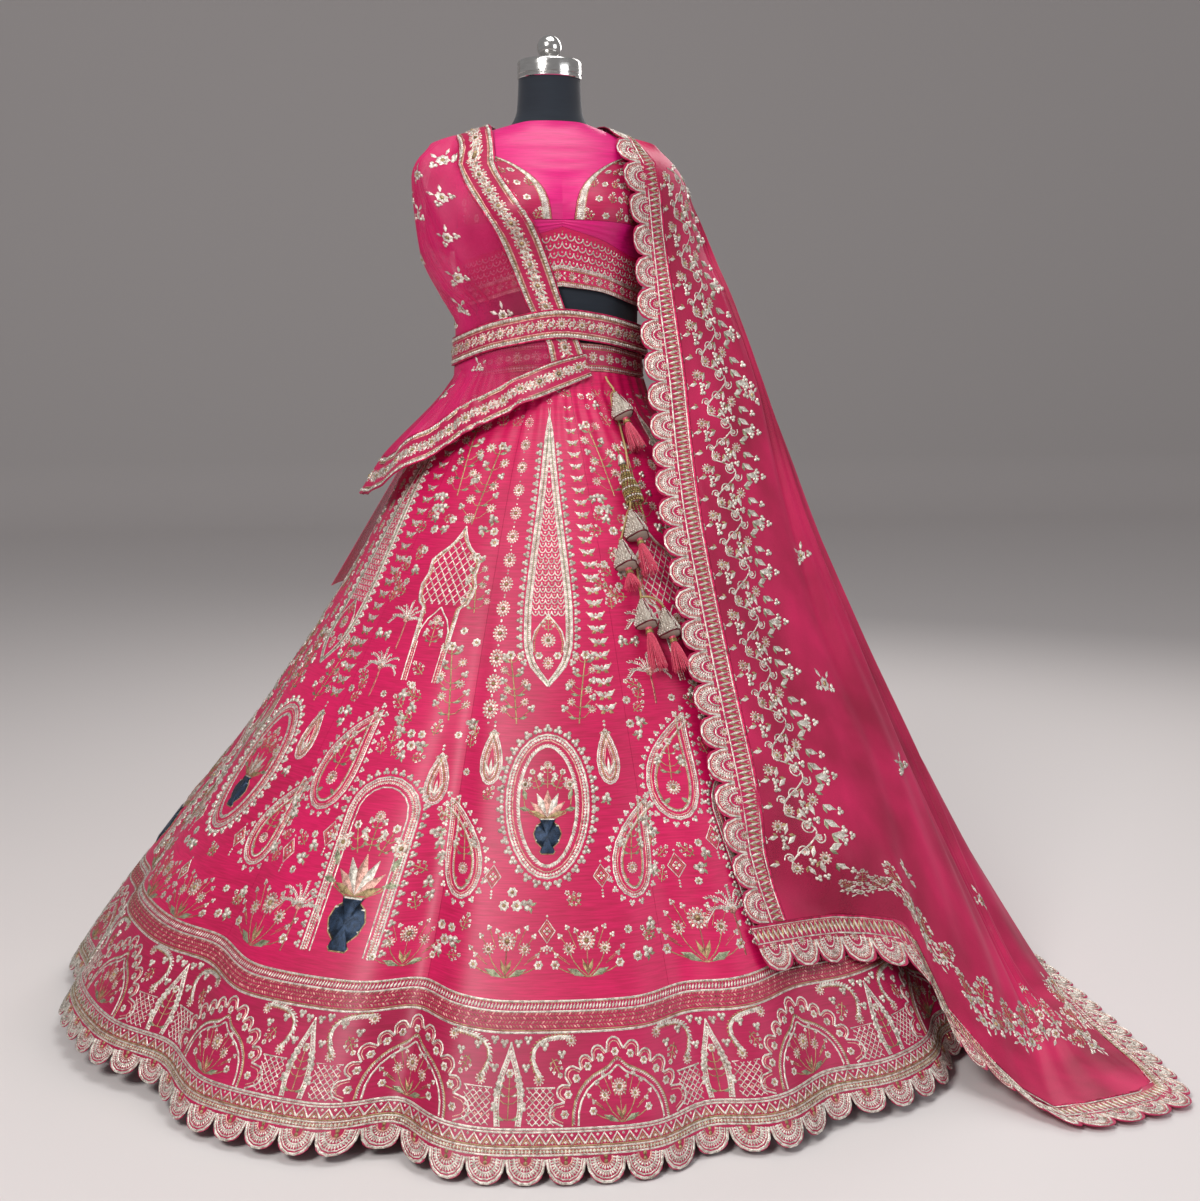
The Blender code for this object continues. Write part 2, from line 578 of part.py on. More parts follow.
# Lehenga
def hem_height(angle):
    return column(HEM_LIFT, 1, (np.degrees(angle) + 180.0) % 360.0 - 180.0)


def waist_edge(table, number, angle):
    return float(column(table, number, abs(math.degrees(angle))))


def ring_wall(name, low, high, inner_gap, thickness, material, rows=1, segments=40):
    """A closed band round the waist between two edge rules."""
    outer, inner = [], []
    for row in range(rows + 1):
        outer_row, inner_row = [], []
        for k in range(segments):
            angle = np.float64(-math.pi + 2 * math.pi * (k + 0.5) / segments)
            height = blend(low(angle), high(angle), row / rows)
            outer_row.append(figure_point(angle, height, inner_gap + thickness))
            inner_row.append(figure_point(angle, height, inner_gap))
        outer.append(outer_row)
        inner.append(inner_row)
    return wall(name, outer, inner, material, closed=True)


def kali_angles(number):
    """Column angles of one kali, its two seams pulled in by half the seam gap."""
    width = 2 * math.pi / KALI_COUNT
    start = KALI_TURN + number * width
    return [start + width * k / KALI_COLUMNS for k in range(KALI_COLUMNS + 1)]


def skirt_skins(angles, height_rule, shares, edge_shares=None):
    """Outer and inner rows of a skirt piece; the first and last columns leave the seam gap."""
    outer, inner = [], []
    for share in shares:
        outer_row, inner_row = [], []
        for k, angle in enumerate(angles):
            height = height_rule(angle, share)
            pull = {0: 1.0, len(angles) - 1: -1.0}.get(k, 0.0)
            moved = angle + pull * SEAM / 2 / float(skirt_radius(angle, height))
            outer_row.append(skirt_point(moved, height, 0.0))
            inner_row.append(skirt_point(moved, height, -CLOTH))
        outer.append(outer_row)
        inner.append(inner_row)
    return outer, inner


def kali_height(angle, share):
    top = waist_edge(WAISTBAND, 1, math.remainder(angle, 2 * math.pi)) - SEAM
    foot = float(hem_height(angle)) + BORDER_HEIGHT + SEAM / 2
    return blend(top, foot, share)


def border_height(angle, share):
    """share 0 is the border's upper edge, 1 the line between the scallops."""
    top = float(hem_height(angle)) + BORDER_HEIGHT - SEAM / 2
    foot = float(hem_height(angle)) + SCALLOP_DEPTH
    return blend(top, foot, share)


def between(first, second, share):
    return np.asarray(first) + (np.asarray(second) - np.asarray(first)) * share


def scalloped(rows, drop):
    """Adds a fine last row: notches stay on the last coarse row, lobes hang one drop lower."""
    last, above = rows[-1], rows[-2]
    fine = []
    for k in range(len(last) - 1):
        fine.append(last[k])
        for share in (0.22, 0.78):
            here = between(last[k], last[k + 1], share)
            over = between(above[k], above[k + 1], share)
            down = here - over
            fine.append(here + down / np.linalg.norm(down) * drop)
    fine.append(last[-1])
    low = [between(a, b, 0.86) for a, b in zip(above, last)]
    return rows[:-1] + [low, fine]


def build_lehenga():
    ring_wall("lehenga_waistband", lambda a: waist_edge(WAISTBAND, 1, a), lambda a: waist_edge(WAISTBAND, 2, a),
              SKIN, CLOTH, EMBROIDERED)
    kali_shares = (0.0, 0.035, 0.09, 0.17, 0.31, 0.50, 0.74, 1.0)
    for number in range(KALI_COUNT):
        outer, inner = skirt_skins(kali_angles(number), kali_height, kali_shares)
        wall("lehenga_kali_%02d" % (number + 1), outer, inner, RAW_SILK)
    kalis_each = KALI_COUNT // BORDER_NODES
    slant = 1.22
    for number in range(BORDER_NODES):
        angles = kali_angles(number * kalis_each)
        for extra in range(1, kalis_each):
            angles += kali_angles(number * kalis_each + extra)[1:]
        outer, inner = skirt_skins(angles, border_height, (0.0, 1.0))
        drop = SCALLOP_DEPTH * slant * 0.96
        wall("lehenga_border_%d" % (number + 1), scalloped(outer, drop), scalloped(inner, drop), EMBROIDERED)


# Dupattas
def under_radius(angle, height):
    """What a dupatta lies on: choli, belt or skirt crest, whichever stands out furthest."""
    figure = figure_radius(angle, np.clip(height, 0.90, NECK_TOP)) + SKIN + CLOTH
    skirt = skirt_crest(angle, np.clip(height, 0.0, 1.03))
    return np.where(height > 1.03, figure, np.maximum(figure, skirt))


def steepness(angle, height):
    """How much a radial gap must grow where the surface under it leans towards level."""
    small = 0.002
    slope = (under_radius(angle, height + small) - under_radius(angle, height - small)) / (2 * small)
    return np.minimum(np.sqrt(1 + slope ** 2), 2.2)


def roof_height(angle, radius):
    """Height of the shoulders right under a point, found by halving."""
    low = np.full(radius.shape, 1.280)
    high = np.full(radius.shape, NECK_TOP)
    for _ in range(20):
        middle = (low + high) / 2
        under = under_radius(angle, middle) > radius
        low = np.where(under, middle, low)
        high = np.where(under, high, middle)
    return np.where(low > 1.2801, low, 0.0)


def drape(lines, shares, stations, clear, lift, belt_clear=0.0, belt_cap=0.0, ripple=None):
    """Outer and inner skins of a dupatta from its fold lines.

    shares go across the cloth and stations run along it, counted from the shoulder. clear is the
    gap to what is under it, and lift the same on the shoulders.
    """
    line_shares = [line[0] for line in lines]
    station_count = len(lines[0]) - 1
    along = []
    for line in lines:
        places = []
        for degrees, height, radius in line[1:]:
            angle = np.float64(math.radians(degrees))
            if radius == 0:
                radius = under_radius(angle, height) + clear * steepness(angle, height)
            places.append(polar(angle, radius, height))
        places = np.array(places)
        along.append(np.stack([curve(range(station_count), places[:, axis], stations) for axis in range(3)], axis=-1))
    along = np.array(along)
    grid = np.empty((len(stations), len(shares), 3))
    for row in range(len(stations)):
        for axis in range(3):
            grid[row, :, axis] = curve(line_shares, along[:, row, axis], shares)
    if ripple is not None:
        grid = grid + skin_normals(grid) * ripple(np.asarray(shares)[None, :], np.asarray(stations)[:, None])[..., None]
    angle = np.arctan2(grid[..., 0], -grid[..., 1])
    radius = np.hypot(grid[..., 0], grid[..., 1])
    height = grid[..., 2]
    least = under_radius(angle, height) + clear * steepness(angle, height)
    turn = np.degrees(angle)
    by_belt = (height > column(BELT, 1, turn) - BELT_REACH) & (height < column(BELT, 2, turn) + BELT_REACH)
    if belt_clear:
        least = np.where(by_belt, np.maximum(least, figure_radius(angle, height) + belt_clear), least)
    over = height > SHOULDER_ZONE
    height = np.where(over, np.maximum(height, roof_height(angle, radius) + lift), height)
    radius = np.where(over, radius, np.maximum(radius, least))
    if belt_cap:
        radius = np.where(by_belt, np.minimum(radius, figure_radius(angle, height) + belt_cap), radius)
    grid = polar(angle, radius, height)
    normals = skin_normals(grid)
    return grid, grid - normals * NET


def skin_normals(grid):
    """Unit normals of a grid of points, turned away from the figure's axis."""
    across = np.gradient(grid, axis=1)
    down = np.gradient(grid, axis=0)
    normals = np.cross(down, across)
    normals /= np.maximum(np.linalg.norm(normals, axis=-1, keepdims=True), 1e-9)
    middle = tuple(size // 2 for size in grid.shape[:2])
    outward = np.array([grid[middle][0], grid[middle][1], 0.0])
    if np.dot(normals[middle], outward) < 0:
        normals = -normals
    return normals


def sample(skin, row, place):
    """Point of a skin at fractional row and column, on its flat facets."""
    row = min(max(row, 0.0), skin.shape[0] - 1.0)
    place = min(max(place, 0.0), skin.shape[1] - 1.0)
    r, c = min(int(row), skin.shape[0] - 2), min(int(place), skin.shape[1] - 2)
    fr, fc = row - r, place - c
    upper = skin[r, c] * (1 - fc) + skin[r, c + 1] * fc
    lower = skin[r + 1, c] * (1 - fc) + skin[r + 1, c + 1] * fc
    return upper * (1 - fr) + lower * fr


def drawn_back(line, beside):
    """An edge line moved towards the line beside it until the seam gap is clear of the edge."""
    pull = beside - line
    pull /= np.linalg.norm(pull, axis=-1, keepdims=True)
    edge = np.gradient(line, axis=0)
    edge /= np.linalg.norm(edge, axis=-1, keepdims=True)
    slant = np.linalg.norm(np.cross(pull, edge), axis=-1, keepdims=True)
    return line + pull * SEAM / np.maximum(slant, 0.25)


def shifted(skins, first_row, last_row, first_column, last_column, gaps):
    """Part of a drape's skins, its chosen edges pulled back by the seam gap."""
    made = []
    for skin in skins:
        part = skin[first_row:last_row + 1, first_column:last_column + 1].copy()
        if "top" in gaps:
            part[0] = drawn_back(part[0], part[1])
        if "foot" in gaps:
            part[-1] = drawn_back(part[-1], part[-2])
        if "start" in gaps:
            part[:, 0] = drawn_back(part[:, 0], part[:, 1])
        made.append([list(row) for row in part])
    return made


def lobe_places(points, size):
    """Fractional indexes along a line of points, each stretch cut into whole lobes."""
    places = [0.0]
    for k, length in enumerate(np.linalg.norm(np.diff(points, axis=0), axis=1)):
        lobes = max(1, round(length / size))
        places += [k + (n + 1) / lobes for n in range(lobes)]
    return places


def scalloped_strip(name, skins, size, edge, material, deep):
    """A border strip of a drape with lobes along one edge.

    edge is the strip's own free edge: 'start' for its first column, 'foot' for its last row.
    """
    made = []
    for skin in skins:
        skin = np.array(skin)
        if edge == "start":
            skin = np.flip(skin, axis=1).transpose(1, 0, 2)
        made.append(skin)
    reference = made[0]
    places = lobe_places(reference[0], size)
    last = reference.shape[0] - 1
    walls = []
    for skin in made:
        top = [sample(skin, 0, place) for place in places]
        low = [sample(skin, last * (1 - 1.15 * deep), place) for place in places]
        fine = []
        for k in range(len(places) - 1):
            fine.append(sample(skin, last * (1 - deep), places[k]))
            for share in (0.22, 0.78):
                fine.append(sample(skin, last, blend(places[k], places[k + 1], share)))
        fine.append(sample(skin, last * (1 - deep), places[-1]))
        walls.append([top, low, fine])
    return wall(name, walls[0], walls[1], material)


def net_ripple(first, depth, waves):
    """Soft lengthwise folds that grow from the shoulder down and die out at the cut end."""
    def rule(share, station):
        inside = np.clip((share - first) / 0.08, 0, 1) * np.clip((1.02 - share) / 0.08, 0, 1)
        grow = np.clip((station - 1.5) / 4.0, 0, 1) * np.clip((9.0 - station) / 2.0, 0, 1)
        return depth * inside * grow * (np.sin(2 * math.pi * waves * share) - 0.2)
    return rule


def build_dupatta_a():
    """Net dupatta pinned on the wearer's right shoulder, tucked under the belt."""
    shares = [0.0, 0.037, 0.073, 0.11, 0.18, 0.25, 0.32, 0.39, 0.46, 0.53, 0.60, 0.67, 0.75, 0.83, 0.91, 1.0]
    stations = [0.0, 0.3, 0.55, 0.8, 1.05, 1.3, 1.6, 1.9, 2.2, 2.6, 3.1, 3.6, 4.0, 4.5, 5.0, 5.5, 6.0, 7.0]
    skins = drape(DUPATTA_A, shares, stations, 0.0054, SHOULDER_LIFT, belt_cap=0.0098, ripple=net_ripple(0.15, 0.003, 5))
    side = shifted(skins, 0, 16, 0, 3, ("foot", "top"))
    wall("dupatta_a_border_side", side[0], side[1], EMBROIDERED)
    net = shifted(skins, 0, 16, 3, 15, ("start", "foot", "top"))
    wall("dupatta_a_net", net[0], net[1], DUPATTA_NET)
    end = shifted(skins, 16, 17, 0, 15, ())
    wall("dupatta_a_border_end", end[0], end[1], EMBROIDERED)
    tail_stations = [0.0, 0.25, 0.5, 0.75, 1.0, 1.35, 1.8, 2.3, 2.9, 3.5, 4.2, 5.0]
    tail = drape(DUPATTA_A_TAIL, steps(8), tail_stations, 0.0070, SHOULDER_LIFT, belt_clear=0.0180, ripple=net_ripple(0.0, 0.003, 3))
    rows = shifted(tail, 0, 11, 0, 8, ("top",))
    wall("dupatta_a_back", rows[0], rows[1], DUPATTA_NET)


def build_dupatta_b():
    """Net dupatta pinned on the wearer's left shoulder, trailing on the floor."""
    shares = [0.0, 0.06, 0.115, 0.17, 0.20, 0.23, 0.265, 0.30, 0.345, 0.39, 0.44, 0.49, 0.545, 0.60,
              0.655, 0.71, 0.76, 0.81, 0.86, 0.93, 1.0]
    stations = [0.0, 0.35, 0.7, 1.1, 1.6, 2.2, 2.8, 3.4, 4.1, 4.8, 5.5, 6.2, 7.0, 7.5, 8.0, 8.5, 9.0, 10.0]
    skins = drape(DUPATTA_B, shares, stations, 0.0060, 0.8 * SHOULDER_LIFT, belt_clear=0.0180, ripple=net_ripple(0.18, 0.006, 6))
    last_row, last_column = len(stations) - 1, len(shares) - 1
    side = shifted(skins, 0, last_row - 1, 0, 1, ("foot", "top"))
    scalloped_strip("dupatta_b_border_side", side, LOBE, "start", EMBROIDERED, 0.26)
    net = shifted(skins, 0, last_row - 1, 1, last_column, ("start", "foot", "top"))
    wall("dupatta_b_net", net[0], net[1], DUPATTA_NET)
    end = shifted(skins, last_row - 1, last_row, 0, last_column, ())
    scalloped_strip("dupatta_b_border_end", end, LOBE, "foot", EMBROIDERED, 0.26)
    tail_stations = [0.0, 0.25, 0.5, 0.75, 1.0, 1.35, 1.8, 2.3, 2.9, 3.5, 4.2, 5.0]
    tail = drape(DUPATTA_B_TAIL, steps(8), tail_stations, 0.0070, SHOULDER_LIFT, belt_clear=0.0180, ripple=net_ripple(0.0, 0.003, 3))
    rows = shifted(tail, 0, 11, 0, 8, ("top",))
    wall("dupatta_b_back", rows[0], rows[1], DUPATTA_NET)


# Latkans
def on_skirt(angle_degrees, height, clear):
    angle = np.float64(math.radians(angle_degrees))
    radius = max(skirt_crest(angle, height), figure_radius(angle, max(height, 0.9)) + SKIN + CLOTH)
    return polar(angle, radius + clear, height)


def slope_place(degrees, height, clear):
    """A function that puts (across, out, up) offsets on the skirt's slope at a point."""
    centre = on_skirt(degrees, height, clear)
    up = on_skirt(degrees, height + 0.02, clear) - on_skirt(degrees, height - 0.02, clear)
    up /= np.linalg.norm(up)
    turn = math.radians(degrees)
    across = np.array([math.cos(turn), math.sin(turn), 0.0])
    out = np.cross(across, up)
    return lambda a, b, c: centre + across * a + out * b + up * c


def build_cone(label, place, tall):
    """A stuffed three-sided cone, point up, with a rounded foot."""
    bm = bmesh.new()
    rings = []
    for share, size in ((0.5, 0.10), (0.32, 0.30), (-0.28, 0.94), (-0.42, 0.88), (-0.50, 0.45)):
        ring = []
        for k in range(6):
            turn = math.radians(60 * k - 30)
            reach = 0.42 * tall * size * (1.0 if k % 2 == 0 else 0.72)
            ring.append(bm.verts.new(place(reach * math.cos(turn), reach * math.sin(turn), share * tall)))
        rings.append(ring)
    skin_faces(bm, rings, True)
    bm.faces.new(rings[0])
    bm.faces.new(rings[-1])
    add_object("latkan_cone_" + label, bm, SILVER_SEQUIN, 60.0)


def build_tassel(label, place, tall):
    """A silk tassel: a bound head and its locks, fused to the head's underside."""
    locks = 10
    neck = -0.015
    bm = bmesh.new()
    rings = []
    for radius, rise in ((0.0015, 0.0), (0.0048, -0.003), (0.0052, -0.009), (0.0040, -0.012), (0.0058, neck)):
        rings.append([bm.verts.new(place(radius * math.cos(2 * math.pi * k / locks),
                                         radius * math.sin(2 * math.pi * k / locks), rise))
                      for k in range(locks)])
    skin_faces(bm, rings, True)
    bm.faces.new(rings[0])
    root_centre = place(0.0, 0.0, neck)
    middle = bm.verts.new(root_centre)
    roots = [bm.faces.new((rings[-1][k], rings[-1][(k + 1) % locks], middle)) for k in range(locks)]
    bmesh.ops.recalc_face_normals(bm, faces=bm.faces)
    bmesh.ops.inset_individual(bm, faces=roots, thickness=0.00035)
    down = place(0.0, 0.0, -1.0) - place(0.0, 0.0, 0.0)
    for number, root in enumerate(roots):
        lock = bmesh.ops.extrude_discrete_faces(bm, faces=[root])["faces"][0]
        drop = tall * (0.93 + 0.07 * math.cos(2.4 * number)) + neck
        spread = (np.array(lock.calc_center_median()) - root_centre) * 0.55
        for vert in lock.verts:
            vert.co = np.array(vert.co) + spread + down * drop
    add_object("latkan_tassel_" + label, bm, TASSEL_SILK, 60.0)


def build_cord(name, route, radius):
    """A round cord along a smooth curve through its route points."""
    route = np.array(route)
    lengths = np.concatenate([[0.0], np.cumsum(np.linalg.norm(np.diff(route, axis=0), axis=1))])
    count = max(6, int(lengths[-1] / (radius * 2 * 3.0)))
    places = np.linspace(0.0, lengths[-1], min(count, 70) + 1)
    points = np.stack([curve(lengths, route[:, axis], places) for axis in range(3)], axis=-1)
    data = bpy.data.curves.new(name, "CURVE")
    data.dimensions = "3D"
    data.bevel_depth = radius
    data.bevel_resolution = 2
    data.use_fill_caps = True
    spline = data.splines.new("POLY")
    spline.points.add(len(points) - 1)
    for place, point in zip(spline.points, points):
        place.co = (*point, 1.0)
    data.materials.append(CORD_SILK)
    made = bpy.data.objects.new(name, data)
    bpy.context.scene.collection.objects.link(made)


def build_latkans():
    """Each cone hangs by its point from the drawstring, and its tassel from its foot."""
    route = [on_skirt(*row) for row in DRAWSTRING_TOP]
    for label, degrees, height, clear, tall, tassel_tall in LATKANS:
        place = slope_place(degrees, height, clear)
        foot = -tall / 2 - SEAM
        build_cone(label, place, tall)
        build_tassel(label, lambda a, b, c, at=place, low=foot: at(a, b, c + low), tassel_tall)
        route.append(place(0.0, 0.0, tall / 2 + STRING_RADIUS + SEAM))
        if label == LATKANS[-2][0]:
            route.append(place(tall * 0.2, 0.0, tall / 2 + STRING_RADIUS + 2 * SEAM))
        if label in DRAWSTRING_EXIT:
            across, share = DRAWSTRING_EXIT[label]
            route.append(place(0.0, (STRING_REST - clear) / 2, tall / 2 + STRING_RADIUS))
            route.append(place(across * 0.4, STRING_REST - clear, tall * 0.12))
            route.append(place(across, STRING_REST - clear, tall * share))
        route += [on_skirt(*row) for row in DRAWSTRING_SPAN.get(label, [])]
    build_cord("latkan_drawstring", route, STRING_RADIUS)


build_form()
build_choli()
build_lehenga()
build_dupatta_a()
build_dupatta_b()
ring_wall("belt", lambda a: float(column(BELT, 1, math.degrees(a))), lambda a: float(column(BELT, 2, math.degrees(a))),
          BELT_GAP, BELT_WALL, EMBROIDERED, segments=48)
build_latkans()
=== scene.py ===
"""Looks of an embroidered lehenga choli with two dupattas, on its dress form."""
import math

import bpy
import numpy as np
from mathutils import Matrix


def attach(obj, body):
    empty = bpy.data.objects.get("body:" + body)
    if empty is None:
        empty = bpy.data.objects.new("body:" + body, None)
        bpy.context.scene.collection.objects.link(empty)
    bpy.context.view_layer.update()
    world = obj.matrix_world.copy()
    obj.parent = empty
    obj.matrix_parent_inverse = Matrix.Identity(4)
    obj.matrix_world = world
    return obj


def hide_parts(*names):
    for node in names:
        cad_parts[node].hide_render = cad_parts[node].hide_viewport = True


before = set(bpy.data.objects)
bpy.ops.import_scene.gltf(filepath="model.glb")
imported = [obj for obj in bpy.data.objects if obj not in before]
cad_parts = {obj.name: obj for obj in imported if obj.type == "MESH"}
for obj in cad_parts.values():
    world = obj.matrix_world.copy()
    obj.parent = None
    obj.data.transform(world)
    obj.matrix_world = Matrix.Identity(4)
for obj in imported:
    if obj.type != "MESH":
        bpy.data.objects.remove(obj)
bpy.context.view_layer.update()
bpy.ops.object.select_all(action="DESELECT")

# Camera, floor and lamps
# The camera stands a little to the wearer's right at waist height. The floor is a pale sweep
# that rises behind the form, and four soft boxes light it from the front, above and behind.
camera_data = bpy.data.cameras.new("camera")
camera_data.lens = 48.0
camera_data.sensor_width = 36.0
camera = bpy.data.objects.new("camera", camera_data)
camera.location = (-0.418, -2.567, 0.97)
camera.rotation_euler = (math.radians(82.2), 0.0, math.radians(-11.0))
bpy.context.scene.collection.objects.link(camera)
bpy.context.scene.camera = camera
bpy.context.scene.view_settings.view_transform = "Standard"

floor_paint = bpy.data.materials.new("floor_paint")
floor_paint.use_nodes = True
floor_shader = floor_paint.node_tree.nodes["Principled BSDF"]
floor_shader.inputs["Base Color"].default_value = (0.74, 0.70, 0.69, 1.0)
floor_shader.inputs["Roughness"].default_value = 0.85
bpy.ops.mesh.primitive_plane_add(size=16.0, location=(0.0, 0.0, -0.0005))
floor = bpy.context.object
floor.name = "floor"
floor.data.materials.append(floor_paint)
bpy.ops.object.mode_set(mode="EDIT")
bpy.ops.mesh.select_mode(type="EDGE")
bpy.ops.mesh.select_all(action="DESELECT")
bpy.ops.object.mode_set(mode="OBJECT")
for edge in floor.data.edges:
    edge.select = all(floor.data.vertices[v].co.y > 0 for v in edge.vertices)
bpy.ops.object.mode_set(mode="EDIT")
bpy.ops.mesh.extrude_region_move(TRANSFORM_OT_translate={"value": (0.0, 1.2, 0.4)})
bpy.ops.mesh.extrude_region_move(TRANSFORM_OT_translate={"value": (0.0, 0.4, 4.6)})
bpy.ops.object.mode_set(mode="OBJECT")
bpy.ops.object.shade_smooth()
bpy.ops.object.select_all(action="DESELECT")

LAMPS = [  # name, place, size, power, colour
    ("key", (-1.9, -2.6, 2.9), 1.2, 84.0, (1.0, 0.98, 0.96)),
    ("fill", (2.4, -2.2, 1.7), 1.8, 22.0, (0.95, 0.97, 1.0)),
    ("top", (0.2, -0.4, 3.3), 1.4, 30.0, (1.0, 1.0, 1.0)),
    ("rim", (1.6, 2.2, 2.4), 1.4, 30.0, (1.0, 0.97, 0.95)),
]
for name, place, size, power, colour in LAMPS:
    data = bpy.data.lights.new(name, "AREA")
    data.size = size
    data.energy = power
    data.color = colour
    lamp = bpy.data.objects.new(name, data)
    lamp.location = place
    aim = np.array([0.0, 0.0, 0.75]) - np.array(place)
    level = math.hypot(aim[0], aim[1])
    lamp.rotation_euler = (math.atan2(level, -aim[2]), 0.0, math.atan2(aim[1], aim[0]) - math.pi / 2)
    bpy.context.scene.collection.objects.link(lamp)
world = bpy.data.worlds.new("studio")
world.use_nodes = True
world.node_tree.nodes["Background"].inputs["Color"].default_value = (0.86, 0.84, 0.85, 1.0)
world.node_tree.nodes["Background"].inputs["Strength"].default_value = 0.30
bpy.context.scene.world = world


# Dress form
# A limbless torso covered with navy jersey, with flat armhole plates, on a tube and a round
# foot. A turned chrome cap with a ball knob closes the neck.
SKIN = 0.0030            # gap between the figure's outline and what it wears
FORM_INSET = 0.0015
PLATE_X = 0.1485
NECK_TOP = 1.437
FIGURE = [  # height, half width, depth in front, depth behind
    (0.780, 0.148, 0.112, 0.114), (0.880, 0.153, 0.116, 0.118), (0.970, 0.146, 0.108, 0.108),
    (1.050, 0.142, 0.104, 0.100), (1.110, 0.143, 0.105, 0.098), (1.170, 0.147, 0.110, 0.099),
    (1.230, 0.157, 0.114, 0.102), (1.280, 0.164, 0.102, 0.100), (1.312, 0.157, 0.086, 0.090),
    (1.338, 0.132, 0.070, 0.076), (1.352, 0.095, 0.060, 0.066), (1.366, 0.064, 0.055, 0.057),
    (1.390, 0.0530, 0.052, 0.052), (1.437, 0.0500, 0.050, 0.050),
]
BUST = dict(height=1.222, reach=0.042, angle=math.radians(30), width=math.radians(22), lift=0.022)


def curve(places, values, at):
    """Smooth curve through the values that never swings past them."""
    places = np.asarray(places, float)
    values = np.asarray(values, float)
    if places[0] > places[-1]:
        places = places[::-1]
        values = values[::-1]
    at = np.clip(np.asarray(at, float), places[0], places[-1])
    gaps = np.diff(places)
    slopes = np.diff(values) / gaps
    tangents = np.empty(len(values))
    tangents[0] = slopes[0]
    tangents[-1] = slopes[-1]
    for k in range(1, len(values) - 1):
        before, after = slopes[k - 1], slopes[k]
        tangents[k] = 2 * before * after / (before + after) if before * after > 0 else 0.0
    cell = np.clip(np.searchsorted(places, at, side="right") - 1, 0, len(places) - 2)
    share = (at - places[cell]) / gaps[cell]
    rise = 3 * share ** 2 - 2 * share ** 3
    start_pull = (share ** 3 - 2 * share ** 2 + share) * gaps[cell] * tangents[cell]
    end_pull = (share ** 3 - share ** 2) * gaps[cell] * tangents[cell + 1]
    return values[cell] * (1 - rise) + values[cell + 1] * rise + start_pull + end_pull


def column(table, number, at):
    return curve([row[0] for row in table], [row[number] for row in table], at)


def wrapped(degrees):
    return (np.asarray(degrees) + 180.0) % 360.0 - 180.0


def oval(angle, side, depth):
    return 1.0 / np.sqrt((np.sin(angle) / side) ** 2 + (np.cos(angle) / depth) ** 2)


def figure_radius(angle, height):
    depth = np.where(np.cos(angle) > 0, column(FIGURE, 2, height), column(FIGURE, 3, height))
    across = (np.abs(np.radians(wrapped(np.degrees(angle)))) - BUST["angle"]) / BUST["width"]
    up = (height - BUST["height"]) / BUST["reach"]
    return oval(angle, column(FIGURE, 1, height), depth) + BUST["lift"] * np.exp(-up ** 2 - across ** 2)


def polar(angle, radius, height):
    return np.stack([radius * np.sin(angle), -radius * np.cos(angle), height + 0.0 * angle], axis=-1)


def offset_point(radius_rule, angle, height, out):
    """Points over a radius rule's surface, moved out along its normal."""
    angle, height = np.broadcast_arrays(np.asarray(angle, float), np.asarray(height, float))
    small = 0.0005
    here = polar(angle, radius_rule(angle, height), height)
    across = polar(angle + small, radius_rule(angle + small, height), height) - here
    up = polar(angle, radius_rule(angle, height + small), height + small) - here
    normal = np.cross(across, up)
    normal /= np.linalg.norm(normal, axis=-1, keepdims=True)
    return here + normal * np.broadcast_to(out, angle.shape)[..., None]


def skin_grid(grid, closed=False):
    """A new object from a grid primitive whose points are moved to the given rows of points."""
    rows, columns = grid.shape[:2]
    bpy.ops.mesh.primitive_grid_add(x_subdivisions=columns - 1, y_subdivisions=rows - 1, size=1.0)
    piece = bpy.context.object
    piece.data.vertices.foreach_set("co", np.asarray(grid, np.float32).ravel())
    piece.data.update()
    if closed:
        bpy.ops.object.mode_set(mode="EDIT")
        bpy.ops.mesh.select_all(action="SELECT")
        bpy.ops.mesh.remove_doubles(threshold=0.00002)
        bpy.ops.object.mode_set(mode="OBJECT")
    return piece


def close_ends(piece):
    """Fills the open ends of the active object and turns its faces outward."""
    bpy.ops.object.mode_set(mode="EDIT")
    bpy.ops.mesh.select_all(action="SELECT")
    bpy.ops.mesh.fill_holes(sides=0)
    bpy.ops.mesh.select_all(action="SELECT")
    bpy.ops.mesh.normals_make_consistent(inside=False)
    bpy.ops.object.mode_set(mode="OBJECT")
    return piece


def outward(piece, middle, normal):
    """Turns the faces over if they look away from the given normal at the given point."""
    centres = np.empty(len(piece.data.polygons) * 3)
    piece.data.polygons.foreach_get("center", centres)
    nearest = int(np.argmin(np.linalg.norm(centres.reshape(-1, 3) - middle, axis=1)))
    if np.dot(piece.data.polygons[nearest].normal, normal) < 0:
        bpy.ops.object.mode_set(mode="EDIT")
        bpy.ops.mesh.select_all(action="SELECT")
        bpy.ops.mesh.flip_normals()
        bpy.ops.object.mode_set(mode="OBJECT")


def named(piece, name, material, sharp):
    piece.name = name
    piece.data.name = name
    piece.data.materials.append(material)
    bpy.ops.object.shade_smooth_by_angle(angle=math.radians(sharp))
    bpy.ops.object.select_all(action="DESELECT")
    return piece


def new_group(name, inputs, outputs):
    """A shader node group with float inputs; each output is a name and a socket type."""
    group = bpy.data.node_groups.new(name, "ShaderNodeTree")
    for label, value in inputs:
        socket = group.interface.new_socket(label, in_out="INPUT", socket_type="NodeSocketFloat")
        socket.default_value = value
    for label, kind in outputs:
        group.interface.new_socket(label, in_out="OUTPUT", socket_type=kind)
    return group, group.nodes.new("NodeGroupInput"), group.nodes.new("NodeGroupOutput")


def math_node(tree, operation, first, second):
    node = tree.nodes.new("ShaderNodeMath")
    node.operation = operation
    for socket, value in zip(node.inputs, (first, second)):
        if isinstance(value, (int, float)):
            socket.default_value = value
        else:
            tree.links.new(value, socket)
    return node.outputs[0]


